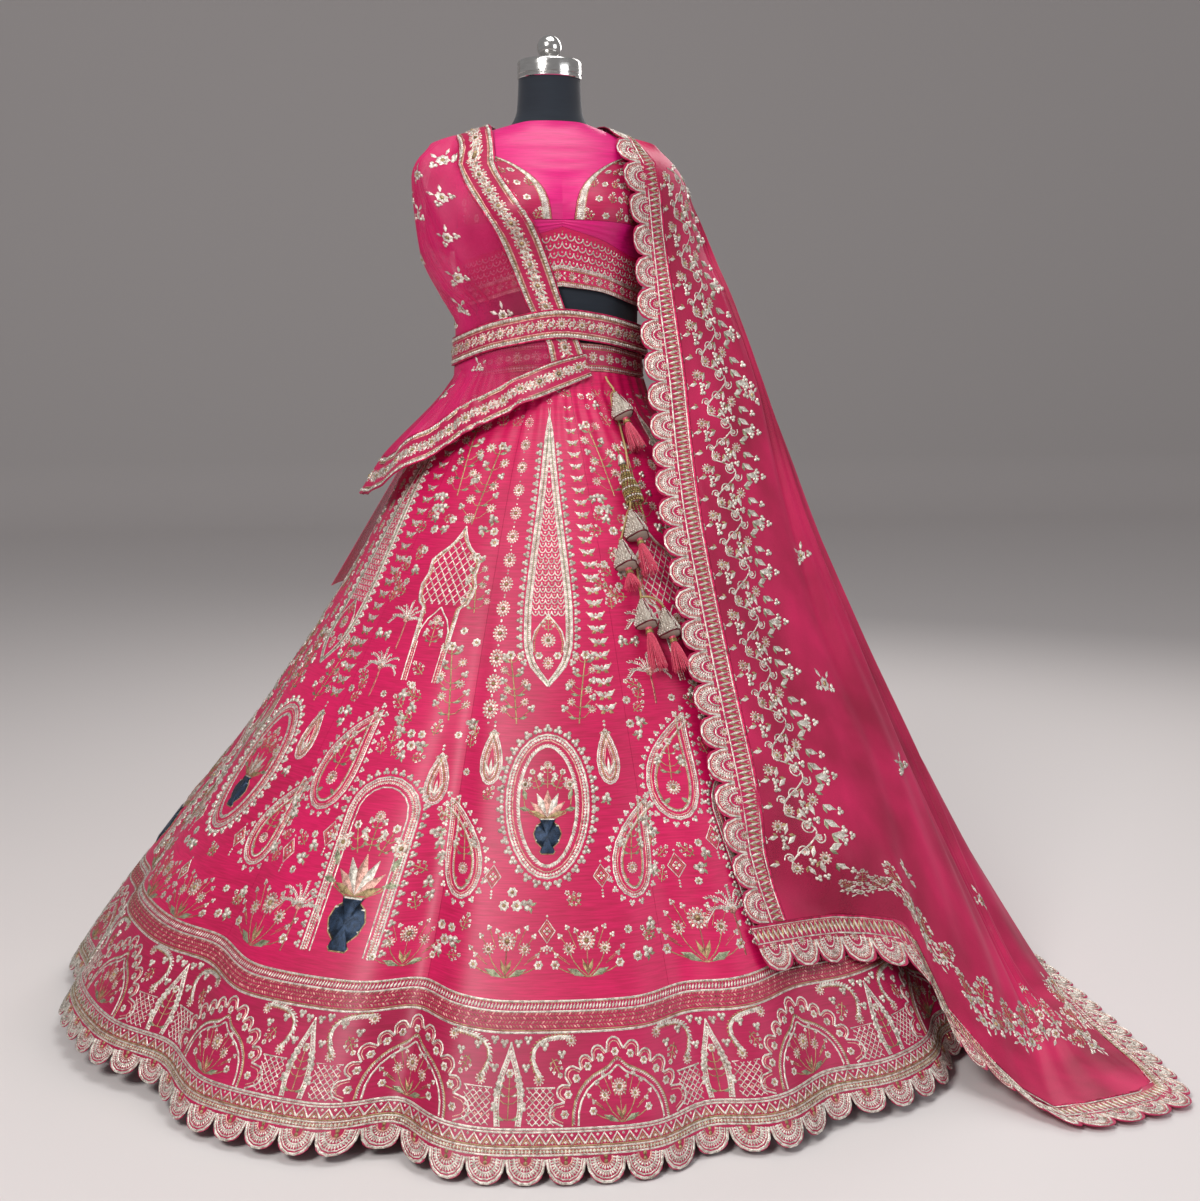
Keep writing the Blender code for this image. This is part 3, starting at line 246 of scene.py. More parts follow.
def stretched_noise(tree, scale, detail, source="Object"):
    """Noise on the object's own coordinates, drawn out by the scale of each axis."""
    place = tree.nodes.new("ShaderNodeTexCoord")
    mapping = tree.nodes.new("ShaderNodeMapping")
    mapping.inputs["Scale"].default_value = scale
    noise = tree.nodes.new("ShaderNodeTexNoise")
    noise.inputs["Scale"].default_value = 1.0
    noise.inputs["Detail"].default_value = detail
    tree.links.new(place.outputs[source], mapping.inputs["Vector"])
    tree.links.new(mapping.outputs[0], noise.inputs["Vector"])
    return noise.outputs["Fac"]


# The weave group: slubs that run round the cloth, fine threads, and broad uneven dye
weave_group, weave_in, weave_out = new_group(
    "cloth_weave", [("Slub", 0.5), ("Strength", 0.2)], [("Shade", "NodeSocketFloat"), ("Normal", "NodeSocketVector")])
slub = stretched_noise(weave_group, (34.0, 34.0, 520.0), 3.0)
fine = stretched_noise(weave_group, (900.0, 900.0, 900.0), 1.0)
dye = stretched_noise(weave_group, (5.0, 5.0, 5.0), 2.0)
slub_part = math_node(weave_group, "MULTIPLY", slub, weave_in.outputs["Slub"])
dye_part = math_node(weave_group, "MULTIPLY", dye, 0.5)
fine_part = math_node(weave_group, "MULTIPLY", fine, 0.3)
weave_sum = math_node(weave_group, "ADD", slub_part, dye_part)
weave_group.links.new(weave_sum, weave_out.inputs["Shade"])
weave_height = math_node(weave_group, "ADD", slub_part, fine_part)
weave_bump = weave_group.nodes.new("ShaderNodeBump")
weave_bump.inputs["Distance"].default_value = 0.0006
weave_group.links.new(weave_in.outputs["Strength"], weave_bump.inputs["Strength"])
weave_group.links.new(weave_height, weave_bump.inputs["Height"])
weave_group.links.new(weave_bump.outputs[0], weave_out.inputs["Normal"])


def ramp_node(tree, value, stops):
    ramp = tree.nodes.new("ShaderNodeValToRGB")
    ramp.color_ramp.elements[0].position = stops[0][0]
    ramp.color_ramp.elements[0].color = (*stops[0][1], 1.0)
    ramp.color_ramp.elements[1].position = stops[-1][0]
    ramp.color_ramp.elements[1].color = (*stops[-1][1], 1.0)
    for place, colour in stops[1:-1]:
        ramp.color_ramp.elements.new(place).color = (*colour, 1.0)
    tree.links.new(value, ramp.inputs[0])
    return ramp.outputs[0]


def cloth_material(name, dark, light, roughness, slub_amount, strength, sheen=0.0, sheen_tint=(1.0, 1.0, 1.0)):
    """A woven cloth: its two colours follow the weave group's shade."""
    made = bpy.data.materials.new(name)
    made.use_nodes = True
    tree = made.node_tree
    shader = tree.nodes["Principled BSDF"]
    weave = tree.nodes.new("ShaderNodeGroup")
    weave.node_tree = weave_group
    weave.inputs["Slub"].default_value = slub_amount
    weave.inputs["Strength"].default_value = strength
    colour = ramp_node(tree, weave.outputs["Shade"], [(0.30, dark), (0.70, light)])
    tree.links.new(colour, shader.inputs["Base Color"])
    tree.links.new(weave.outputs["Normal"], shader.inputs["Normal"])
    shader.inputs["Roughness"].default_value = roughness
    shader.inputs["Sheen Weight"].default_value = sheen
    shader.inputs["Sheen Roughness"].default_value = 0.4
    shader.inputs["Sheen Tint"].default_value = (*sheen_tint, 1.0)
    return made


jersey = cloth_material("form_jersey", (0.008, 0.013, 0.022), (0.020, 0.032, 0.048), 0.85, 0.2, 0.35, 0.25)
chrome = bpy.data.materials.new("turned_chrome")
chrome.use_nodes = True
chrome_shader = chrome.node_tree.nodes["Principled BSDF"]
chrome_shader.inputs["Metallic"].default_value = 1.0
smudge = stretched_noise(chrome.node_tree, (60.0, 60.0, 240.0), 3.0)
chrome.node_tree.links.new(
    ramp_node(chrome.node_tree, smudge, [(0.3, (0.10, 0.10, 0.10)), (0.75, (0.26, 0.26, 0.26))]),
    chrome_shader.inputs["Roughness"])
chrome.node_tree.links.new(
    ramp_node(chrome.node_tree, smudge, [(0.3, (0.78, 0.77, 0.75)), (0.75, (0.62, 0.61, 0.59))]),
    chrome_shader.inputs["Base Color"])

torso_angles = np.linspace(-math.pi, math.pi, 97)
torso_heights = np.concatenate([np.linspace(0.780, 0.985, 10), np.linspace(0.998, 1.002, 2),
                                np.linspace(1.012, 1.30, 30), np.linspace(1.307, NECK_TOP, 22)])
torso_out = np.where(np.abs(torso_heights - 1.000) < 0.004, 0.0018, -FORM_INSET)
torso_points = offset_point(figure_radius, torso_angles[None, :], torso_heights[:, None], torso_out[:, None])
torso_points[..., 0] = np.clip(torso_points[..., 0], -PLATE_X, PLATE_X)
torso = close_ends(skin_grid(torso_points, closed=True))
named(torso, "form_torso_jersey", jersey, 50.0)
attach(torso, "root")
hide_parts("form_torso")


def turned(name, profile, sides, sharp, material):
    """A closed turned part: a disc extruded from ring to ring of (radius, height)."""
    radius, height = profile[0]
    bpy.ops.mesh.primitive_circle_add(vertices=sides, radius=radius, fill_type="NGON", location=(0.0, 0.0, height))
    piece = bpy.context.object
    bpy.ops.object.transform_apply(location=True)
    bpy.ops.object.mode_set(mode="EDIT")
    bpy.ops.mesh.select_all(action="SELECT")
    for new_radius, new_height in profile[1:]:
        bpy.ops.mesh.extrude_region_move(TRANSFORM_OT_translate={"value": (0.0, 0.0, new_height - height)})
        grow = new_radius / radius
        bpy.ops.transform.resize(value=(grow, grow, 1.0), center_override=(0.0, 0.0, 0.0))
        radius, height = new_radius, new_height
    bpy.ops.mesh.select_all(action="SELECT")
    bpy.ops.mesh.normals_make_consistent(inside=False)
    bpy.ops.object.mode_set(mode="OBJECT")
    named(piece, name, material, sharp)
    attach(piece, "root")
    return piece


cap = turned("neck_cap_chrome", [
    (0.0490, 1.4374), (0.0500, 1.4384), (0.0500, 1.4420), (0.0490, 1.4428), (0.0490, 1.4442), (0.0500, 1.4450),
    (0.0500, 1.4620), (0.0492, 1.4640), (0.0478, 1.4655), (0.0455, 1.4662), (0.0300, 1.4668), (0.0170, 1.4673),
    (0.0130, 1.4684), (0.0110, 1.4690)], 96, 35.0, chrome)
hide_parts("form_neck_cap")
ball = [(0.0100, 1.4694), (0.0112, 1.4700), (0.0114, 1.4708), (0.0096, 1.4716)]
for tilt in range(-58, 89, 6):
    ball.append((0.0190 * math.cos(math.radians(tilt)), 1.4869 + 0.0190 * math.sin(math.radians(tilt))))
knob = turned("neck_knob_chrome", ball, 64, 40.0, chrome)
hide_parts("form_finial")
stand = turned("form_stand_chrome", [
    (0.1785, 0.0), (0.1800, 0.0012), (0.1800, 0.0055), (0.1785, 0.0075), (0.1740, 0.0100), (0.0300, 0.0140),
    (0.0270, 0.0180), (0.0240, 0.0300), (0.0200, 0.0335), (0.0160, 0.0345), (0.0160, 0.7696), (0.0335, 0.7712),
    (0.0340, 0.7720), (0.0340, 0.7796)], 96, 35.0, chrome)
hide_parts("form_stand")


# Needlework
# Zardozi is couched metal cord, seed beads, sequins and small padded leaves, sewn on by hand.
# Each small shape is modelled once and set out in rows, and a finished motif is laid on cloth.
SILVER = (0.92, 0.87, 0.78)
GOLD = (0.52, 0.38, 0.19)
GREEN = (0.42, 0.46, 0.30)
PEACH = (0.88, 0.50, 0.42)
COPPER = (0.52, 0.20, 0.16)
ROSE = (0.74, 0.02, 0.13)
SLATE = (0.035, 0.065, 0.125)


def mesh_arrays(piece, faces_of):
    """Takes a modelled small shape off the table as arrays of points and faces."""
    points = np.array([tuple(v.co) for v in piece.data.vertices])
    faces = np.array([tuple(p.vertices) for p in piece.data.polygons if len(p.vertices) == faces_of])
    mesh = piece.data
    bpy.data.objects.remove(piece, do_unlink=True)
    bpy.data.meshes.remove(mesh)
    return points, faces


# A bead is a low dome cut from a sphere, and a small bead a four-sided point
bpy.ops.mesh.primitive_uv_sphere_add(segments=6, ring_count=4, radius=1.0)
bead_piece = bpy.context.object
bpy.ops.object.mode_set(mode="EDIT")
bpy.ops.mesh.select_all(action="SELECT")
bpy.ops.mesh.bisect(plane_co=(0.0, 0.0, 0.02), plane_no=(0.0, 0.0, 1.0), clear_inner=True)
bpy.ops.mesh.select_all(action="SELECT")
bpy.ops.mesh.quads_convert_to_tris()
bpy.ops.object.mode_set(mode="OBJECT")
BEAD = mesh_arrays(bead_piece, 3)
bpy.ops.mesh.primitive_cone_add(vertices=4, radius1=1.15, radius2=0.0, depth=0.9, location=(0, 0, 0.45),
                                end_fill_type="NOTHING")
bpy.ops.object.transform_apply(location=True)
SEED = mesh_arrays(bpy.context.object, 3)
# A padded leaf runs from its stem at the origin to its tip along +X, with a raised rib
bpy.ops.mesh.primitive_grid_add(x_subdivisions=2, y_subdivisions=2, size=1.0)
leaf_piece = bpy.context.object
for vert in leaf_piece.data.vertices:
    along_leaf = vert.co.x + 0.5
    full = math.sin(math.pi * min(max(along_leaf, 0.04), 0.97) ** 0.8)
    rib = 1.0 if abs(vert.co.y) < 0.1 else 0.0
    vert.co = (along_leaf, vert.co.y * full, rib * (0.25 + 0.75 * full))
LEAF = mesh_arrays(leaf_piece, 4)
bpy.ops.mesh.primitive_cone_add(vertices=4, radius1=0.5, radius2=0.0, depth=1.0, location=(0.5, 0, 0.5),
                                end_fill_type="NOTHING")
bpy.ops.object.transform_apply(location=True)
PETAL = mesh_arrays(bpy.context.object, 3)


SUNK = 0.0001            # how far the foot of a stitch goes into its cloth
ROUND_BEAD = 0.0021      # beads over this radius are domes, smaller ones are points
FULL_LEAF = 0.0095       # leaves from this length up have a rib, shorter ones are petals
BEAD_SIZE = 1.18         # what the sizes in the tables below are multiplied by
LEAF_LENGTH = 1.06
LEAF_WIDTH = 1.25
CORD_WIDTH = 0.66        # half the width of a cord's foot, as a share of the cord's width
CORD_STEP = 0.012        # a cord keeps a point after this length, or after this turn
CORD_TURN = 0.36


class Work:
    """Needlework laid out flat. A point is across, along, and out of the cloth, in metres."""

    def __init__(self):
        self.points, self.tints = [], []
        self.faces = {3: [], 4: []}
        self.count = 0

    def add(self, points, faces, tint):
        self.points.append(points)
        self.tints.append(np.broadcast_to(tint, (len(points), 3)))
        self.faces[faces.shape[1]].append(faces + self.count)
        self.count += len(points)

    def shapes(self, shape, spots, turns, sizes, tint):
        """Copies a small shape to each spot. sizes holds its length, width and height."""
        spots = np.asarray(spots, float).reshape(-1, 2)
        if not len(spots):
            return
        points, faces = shape
        turns = np.broadcast_to(np.asarray(turns, float), len(spots))[:, None]
        sizes = np.broadcast_to(np.asarray(sizes, float), (len(spots), 3))
        x = points[None, :, 0] * sizes[:, 0:1]
        y = points[None, :, 1] * sizes[:, 1:2]
        made = np.stack([spots[:, 0:1] + x * np.cos(turns) - y * np.sin(turns),
                         spots[:, 1:2] + x * np.sin(turns) + y * np.cos(turns),
                         points[None, :, 2] * sizes[:, 2:3] - SUNK], axis=-1)
        shift = np.arange(len(spots))[:, None, None] * len(points)
        self.add(made.reshape(-1, 3), (faces[None] + shift).reshape(-1, faces.shape[1]), tint)

    def beads(self, spots, radius, tint=SILVER):
        shape = BEAD if radius > ROUND_BEAD else SEED
        self.shapes(shape, spots, 0.0, (radius * BEAD_SIZE, radius * BEAD_SIZE, radius * 0.9), tint)

    def leaves(self, spots, turns, length, width, tint=SILVER):
        shape = PETAL if np.max(length) < FULL_LEAF else LEAF
        self.shapes(shape, spots, turns, (length * LEAF_LENGTH, width * LEAF_WIDTH, 0.0012 + 0.14 * width), tint)

    def cord(self, line, width, tint=SILVER, closed=False):
        """Couched cord along a line: a low ridge."""
        line = np.asarray(line, float)
        if closed:
            line = np.concatenate([line, line[:1]])
        step = np.diff(line, axis=0)
        length = np.cumsum(np.linalg.norm(step, axis=1))
        heading = np.unwrap(np.arctan2(step[:, 1], step[:, 0]))
        keep = [0]
        for k in range(1, len(line) - 1):
            if length[k] - length[keep[-1]] > CORD_STEP or abs(heading[k] - heading[keep[-1]]) > CORD_TURN:
                keep.append(k)
        line = line[keep + [len(line) - 1]]
        slope = np.gradient(line, axis=0)
        if closed:
            slope[0] = slope[-1] = line[1] - line[-2]
        slope /= np.maximum(np.linalg.norm(slope, axis=1, keepdims=True), 1e-9)
        side = np.stack([-slope[:, 1], slope[:, 0]], axis=1) * width * CORD_WIDTH
        low = np.full(len(line), -SUNK)
        left = np.column_stack([line + side, low])
        right = np.column_stack([line - side, low])
        ridge = np.column_stack([line, low + 0.0003 + 0.5 * width])
        points = np.concatenate([left, ridge, right])
        count = len(line)
        k = np.arange(count - 1)
        faces = np.concatenate([np.stack([k, k + count, k + 1 + count, k + 1], axis=1),
                                np.stack([k + count, k + 2 * count, k + 1 + 2 * count, k + 1 + count], axis=1)])
        self.add(points, faces, tint)

    def patch(self, outline, tint, rise=0.0016):
        """A padded patch: a fan from the outline up to a raised middle."""
        outline = np.asarray(outline, float)
        count = len(outline)
        middle = outline.mean(axis=0)
        inner = middle + (outline - middle) * 0.82
        points = np.concatenate([np.column_stack([outline, np.full(count, -SUNK)]),
                                 np.column_stack([inner, np.full(count, rise)]), [[*middle, rise]]])
        k = np.arange(count)
        after = (k + 1) % count
        self.add(points, np.stack([k, after, after + count, k + count], axis=1), tint)
        self.faces[3].append(np.stack([k + count, after + count, np.full(count, 2 * count)], axis=1)
                             + self.count - len(points))

    def merged(self):
        points = np.concatenate(self.points)
        faces = {sides: np.concatenate(groups) if groups else np.zeros((0, sides), int)
                 for sides, groups in self.faces.items()}
        return points, faces, np.concatenate(self.tints)

    def stamp(self, motif, spots, turns=0.0, sizes=1.0, flip=False, bend=None):
        """Copies a whole motif to each spot. bend turns flat metres into the cloth's own places."""
        spots = np.asarray(spots, float).reshape(-1, 2)
        if not len(spots):
            return
        points, faces, tints = motif.merged()
        turns = np.broadcast_to(np.asarray(turns, float), len(spots))[:, None]
        sizes = np.broadcast_to(np.asarray(sizes, float), len(spots))[:, None]
        x = points[None, :, 0] * sizes * (-1.0 if flip else 1.0)
        y = points[None, :, 1] * sizes
        a = x * np.cos(turns) - y * np.sin(turns)
        b = x * np.sin(turns) + y * np.cos(turns)
        if bend is None:
            across, along = spots[:, 0:1] + a, spots[:, 1:2] + b
        else:
            across, along = bend(spots[:, 0:1], a, spots[:, 1:2], b)
        out = np.broadcast_to(points[None, :, 2] * np.sqrt(sizes), a.shape)
        self.points.append(np.stack([across, along, out], axis=-1).reshape(-1, 3))
        self.tints.append(np.tile(tints, (len(spots), 1)))
        shift = np.arange(len(spots))[:, None, None] * len(points) + self.count
        for sides, group in faces.items():
            if len(group):
                group = group[:, ::-1] if flip else group
                self.faces[sides].append((group[None] + shift).reshape(-1, sides))
        self.count += len(spots) * len(points)


def ring(radius, count, height=None, turn=0.0, middle=(0.0, 0.0)):
    angle = turn + 2 * math.pi * np.arange(count) / count
    return np.stack([middle[0] + radius * np.cos(angle), middle[1] + (height or radius) * np.sin(angle)], axis=1)


def along(line, spacing, closed=False):
    """Even places along a line, and the direction of the line there."""
    line = np.asarray(line, float)
    if closed:
        line = np.concatenate([line, line[:1]])
    length = np.concatenate([[0.0], np.cumsum(np.linalg.norm(np.diff(line, axis=0), axis=1))])
    count = max(2, int(round(length[-1] / spacing)))
    at = (np.arange(count) + 0.5) * length[-1] / count
    spots = np.stack([np.interp(at, length, line[:, 0]), np.interp(at, length, line[:, 1])], axis=1)
    ahead = np.stack([np.interp(at + 0.0004, length, line[:, 0]), np.interp(at + 0.0004, length, line[:, 1])], axis=1)
    behind = np.stack([np.interp(at - 0.0004, length, line[:, 0]), np.interp(at - 0.0004, length, line[:, 1])], axis=1)
    step = ahead - behind
    return spots, np.arctan2(step[:, 1], step[:, 0])


def beside(line, gap, closed=False):
    """The same line moved sideways, to its left."""
    line = np.asarray(line, float)
    padded = np.concatenate([line[-1:], line, line[:1]]) if closed else line
    slope = np.gradient(padded, axis=0)
    slope /= np.maximum(np.linalg.norm(slope, axis=1, keepdims=True), 1e-9)
    moved = padded + np.stack([-slope[:, 1], slope[:, 0]], axis=1) * gap
    return moved[1:-1] if closed else moved


def bezier(points, count=14):
    points = [np.asarray(p, float) for p in points]
    at = np.linspace(0.0, 1.0, count)[:, None]
    while len(points) > 1:
        points = [a + (b - a) * at for a, b in zip(points, points[1:])]
    return points[0]


def star_flower(radius, petals=6, tint=SILVER, heart=GOLD):
    """A small flower: padded petals round one bead."""
    work = Work()
    angle = 2 * math.pi * np.arange(petals) / petals
    work.leaves(ring(radius * 0.22, petals), angle, radius * 0.8, radius * 0.75, tint)
    work.beads([(0.0, 0.0)], radius * 0.30, heart)
    return work


def sun_flower(radius, height=None, rays=14, rim=PEACH):
    """A round or oval flower: rays of metal thread, a cord ring, and rings of beads."""
    work = Work()
    tall = (height or radius) / radius
    spots = ring(radius * 0.66, rays, radius * 0.66 * tall)
    turns = np.arctan2(spots[:, 1], spots[:, 0])
    work.leaves(spots, turns, radius * 0.38, radius * 0.27, SILVER)
    work.cord(ring(radius * 0.68, 10, radius * 0.68 * tall), radius * 0.14, rim, closed=True)
    work.beads(ring(radius * 0.44, 8, radius * 0.44 * tall), radius * 0.17, SILVER)
    work.beads([(0.0, 0.0)], radius * 0.26, GOLD)
    return work


def berries(size=0.004, tint=SILVER):
    """Three beads in a bunch, above the end of their stem."""
    work = Work()
    work.beads([(-size * 0.62, size * 0.3), (size * 0.62, size * 0.3), (0.0, size * 1.3)], size * 0.58, tint)
    return work


def sprig(height, pairs=3, tip=None, lean=0.0):
    """A stem with pairs of berry bunches and leaves, and a flower at its tip."""
    work = Work()
    stem = bezier([(0, 0), (lean * height * 0.2, height * 0.5), (lean * height, height)], 7)
    work.cord(stem, 0.0012, GOLD)
    bunch = berries(min(0.0052, height * 0.085))
    for k in range(pairs):
        share = (k + 0.7) / (pairs + 0.6)
        foot = stem[int(share * 6)]
        reach = height * (0.34 - 0.18 * share)
        for side in (-1, 1):
            end = foot + np.array([side * reach, reach * 0.75])
            work.cord(bezier([foot, foot + np.array([side * reach * 0.7, 0.0]), end], 4), 0.0010, GOLD)
            work.stamp(bunch, [end], turns=-side * 0.5)
            if k % 2 == 0:
                work.leaves([foot + np.array([side * reach * 0.3, -reach * 0.02])], math.pi / 2 - side * 1.25,
                            reach * 0.62, reach * 0.26, GREEN if k == 0 else SILVER)
    work.stamp(tip if tip is not None else star_flower(height * 0.16), [stem[-1]])
    return work


def bush(width, height):
    """A bed of one large flower, two side flowers, berry branches and leaves."""
    work = Work()
    main = sun_flower(width * 0.115, width * 0.125)
    for side in (-1, 1):
        work.cord(bezier([(0, 0), (side * width * 0.16, height * 0.18), (side * width * 0.24, height * 0.50)], 7),
                  0.0012, GOLD)
        work.stamp(sun_flower(width * 0.082, None, 10), [(side * width * 0.24, height * 0.56)])
        work.cord(bezier([(0, 0), (side * width * 0.25, height * 0.05), (side * width * 0.42, height * 0.22)], 7),
                  0.0012, GOLD)
        work.stamp(star_flower(width * 0.062), [(side * width * 0.43, height * 0.25)])
        work.leaves([(side * width * 0.06, height * 0.02)], [math.pi / 2 - side * 1.15], width * 0.22, width * 0.075,
                    GREEN)
        for reach, rise in ((0.13, 0.90), (0.34, 0.80), (0.47, 0.55), (0.40, 0.42), (0.24, 0.97)):
            foot = (side * width * reach * 0.6, height * rise * 0.6)
            end = (side * width * reach, height * rise)
            work.cord([foot, end], 0.0009, GOLD)
            work.stamp(berries(width * 0.030), [end], turns=-side * (0.3 + reach))
    work.cord([(0, 0), (0, height * 0.7)], 0.0014, COPPER)
    work.leaves([(0, height * 0.06)] * 2, [1.2, math.pi - 1.2], height * 0.30, width * 0.05, GOLD)
    work.stamp(main, [(0.0, height * 0.72)])
    return work


def lay(name, work, place, material):
    """Lays finished needlework on its cloth, as one joined mesh."""
    points, faces, tints = work.merged()
    verts = place(points[:, 0], points[:, 1], points[:, 2])
    groups = [group for group in faces.values() if len(group)]
    loops = np.concatenate([group.ravel() for group in groups]).astype(np.int32)
    sides = np.concatenate([np.full(len(group), group.shape[1]) for group in groups])
    mesh = bpy.data.meshes.new(name)
    mesh.vertices.add(len(verts))
    mesh.vertices.foreach_set("co", verts.astype(np.float32).ravel())
    mesh.loops.add(len(loops))
    mesh.loops.foreach_set("vertex_index", loops)
    mesh.polygons.add(len(sides))
    mesh.polygons.foreach_set("loop_start", np.concatenate([[0], np.cumsum(sides)[:-1]]).astype(np.int32))
    mesh.update(calc_edges=True)
    layer = mesh.color_attributes.new("thread", "FLOAT_COLOR", "POINT")
    layer.data.foreach_set("color", np.column_stack([tints, np.ones(len(tints))]).astype(np.float32).ravel())
    mesh.polygons.foreach_set("use_smooth", np.ones(len(sides), bool))
    mesh.materials.append(material)
    piece = bpy.data.objects.new(name, mesh)
    bpy.context.scene.collection.objects.link(piece)
    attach(piece, "root")
    return piece


# The glitter group: painted glints off bead facets and painted shade in the thread's twist, as a brightness for the
# colour, and a bumpy normal
glitter_group, glitter_in, glitter_out = new_group(
    "thread_glitter", [("Scale", 0.5), ("Strength", 0.5)],
    [("Bright", "NodeSocketFloat"), ("Normal", "NodeSocketVector")])
facets = stretched_noise(glitter_group, (1100.0, 1100.0, 1100.0), 1.0)
patches = stretched_noise(glitter_group, (160.0, 160.0, 160.0), 2.0)
painted_facet_glint = math_node(glitter_group, "MULTIPLY", facets, glitter_in.outputs["Scale"])
painted_glint_sum = math_node(glitter_group, "ADD", painted_facet_glint, math_node(glitter_group, "MULTIPLY", patches, 0.5))
glitter_group.links.new(painted_glint_sum, glitter_out.inputs["Bright"])
glitter_bump = glitter_group.nodes.new("ShaderNodeBump")
glitter_bump.inputs["Distance"].default_value = 0.0010
glitter_group.links.new(glitter_in.outputs["Strength"], glitter_bump.inputs["Strength"])
glitter_group.links.new(facets, glitter_bump.inputs["Height"])
glitter_group.links.new(glitter_bump.outputs[0], glitter_out.inputs["Normal"])

metal_thread = bpy.data.materials.new("metal_thread")
metal_thread.use_nodes = True
thread_tree = metal_thread.node_tree
thread_shader = thread_tree.nodes["Principled BSDF"]
thread_colour = thread_tree.nodes.new("ShaderNodeAttribute")
thread_colour.attribute_name = "thread"
thread_glitter = thread_tree.nodes.new("ShaderNodeGroup")
thread_glitter.node_tree = glitter_group
thread_glitter.inputs["Strength"].default_value = 0.55
# The thread's own colour is multiplied by this ramp: painted glints at the bright end, painted brownish shade at the
# dark end
thread_painted_glint_and_shade = ramp_node(thread_tree, thread_glitter.outputs["Bright"],
                         [(0.38, (0.30, 0.25, 0.22)), (0.58, (1.0, 1.0, 1.0))])
thread_mix = thread_tree.nodes.new("ShaderNodeMix")
thread_mix.data_type = "RGBA"
thread_mix.blend_type = "MULTIPLY"
thread_mix.inputs["Factor"].default_value = 1.0
thread_tree.links.new(thread_colour.outputs["Color"], thread_mix.inputs[6])
thread_tree.links.new(thread_painted_glint_and_shade, thread_mix.inputs[7])
thread_tree.links.new(thread_mix.outputs[2], thread_shader.inputs["Base Color"])
thread_tree.links.new(thread_glitter.outputs["Normal"], thread_shader.inputs["Normal"])
thread_shader.inputs["Metallic"].default_value = 0.55
thread_shader.inputs["Roughness"].default_value = 0.34


# Choli
# A fitted silk blouse in nine pieces: a plain yoke, two embroidered cups, a soft pleated band,
# a lattice hem, two plain back panels, and short limp cap sleeves set into the armholes.
CLOTH = 0.0015
SEAM = 0.0004
ARMHOLE_X = 0.1515
LOWER_HEM = [(0, 1.114), (32, 1.107), (64, 1.090), (90, 1.083), (180, 1.088)]
LATTICE_TOP = [(0, 1.203), (26, 1.187), (59, 1.163), (90, 1.152)]
CUP_FOOT = [(0, 1.2130), (40, 1.211), (90, 1.204)]
NECKLINE = [(0, 1.3665), (35, 1.3660), (60, 1.3600), (90, 1.3490), (180, 1.3440)]
CUP_EDGE = [(1.213, 8.3), (1.234, 9.6), (1.2535, 13.0), (1.2745, 22.0), (1.2925, 36.0), (1.3075, 53.0), (1.3170, 67.0)]
CUP_TOP = 1.3170
SLEEVE = dict(centre=1.250, cuff_x=0.1780, cuff_half_x=0.0165, cuff_half_y=0.046, cuff_z=1.176, cuff_rise=0.012)

raw_silk = cloth_material("raw_silk_pink", (0.36, 0.0005, 0.044), (0.68, 0.003, 0.105), 0.44, 0.60, 0.30, 0.03,
                          (1.0, 0.5, 0.7))
yoke_silk = cloth_material("yoke_silk_magenta", (0.50, 0.001, 0.120), (0.78, 0.004, 0.210), 0.42, 0.50, 0.24, 0.05,
                           (1.0, 0.5, 0.8))
worked_silk = cloth_material("worked_silk_rose", (0.30, 0.0015, 0.040), (0.54, 0.006, 0.090), 0.46, 0.5, 0.30, 0.02,
                             (1.0, 0.6, 0.7))


class Cloth:
    """Rows of points on a cloth's outer skin. A place on it is in average metres, across and along."""

    def __init__(self, grid, closed=False):
        self.grid = grid
        self.closed = closed
        side = np.gradient(grid, axis=1)
        if closed:
            side[:, 0] = side[:, -1] = grid[:, 1] - grid[:, -2]
        normals = np.cross(np.gradient(grid, axis=0), side)
        normals /= np.maximum(np.linalg.norm(normals, axis=-1, keepdims=True), 1e-9)
        middle = tuple(size // 2 for size in grid.shape[:2])
        if np.dot(normals[middle], [grid[middle][0], grid[middle][1], 0.0]) < 0:
            normals = -normals
        self.normals = normals
        across = np.cumsum(np.linalg.norm(np.diff(grid, axis=1), axis=-1), axis=1)
        down = np.cumsum(np.linalg.norm(np.diff(grid, axis=0), axis=-1), axis=0)
        self.widths, self.lengths = across[:, -1], down[-1]
        self.x = np.concatenate([[0.0], across.mean(axis=0)])
        self.y = np.concatenate([[0.0], down.mean(axis=1)])
        self.flat_x = np.concatenate([np.zeros((len(grid), 1)), across], axis=1)
        self.flat_y = np.concatenate([np.zeros((1, grid.shape[1])), down], axis=0)

    def area(self):
        a = self.grid[1:, :-1] - self.grid[:-1, :-1]
        b = self.grid[:-1, 1:] - self.grid[:-1, :-1]
        c = self.grid[1:, :-1] - self.grid[1:, 1:]
        d = self.grid[:-1, 1:] - self.grid[1:, 1:]
        return float((np.linalg.norm(np.cross(a, b), axis=-1) + np.linalg.norm(np.cross(c, d), axis=-1)).sum() / 2)

    def at(self, x, y, out):
        col = np.interp(x, self.x, np.arange(len(self.x)))
        row = np.interp(y, self.y, np.arange(len(self.y)))
        r = np.minimum(row.astype(int), len(self.y) - 2)
        c = np.minimum(col.astype(int), len(self.x) - 2)
        fr, fc = (row - r)[:, None], (col - c)[:, None]

        def mix(data):
            upper = data[r, c] * (1 - fc) + data[r, c + 1] * fc
            return upper * (1 - fr) + (data[r + 1, c] * (1 - fc) + data[r + 1, c + 1] * fc) * fr

        return mix(self.grid) + mix(self.normals) * np.asarray(out)[:, None]

    def bend(self, x, a, y, b):
        """Keeps a motif's true size where the cloth is wider or longer than its average."""
        wide = np.interp(y, self.y, self.widths) / self.x[-1]
        long = np.interp(x, self.x, self.lengths) / self.y[-1]
        return x + a / wide, y + b / long


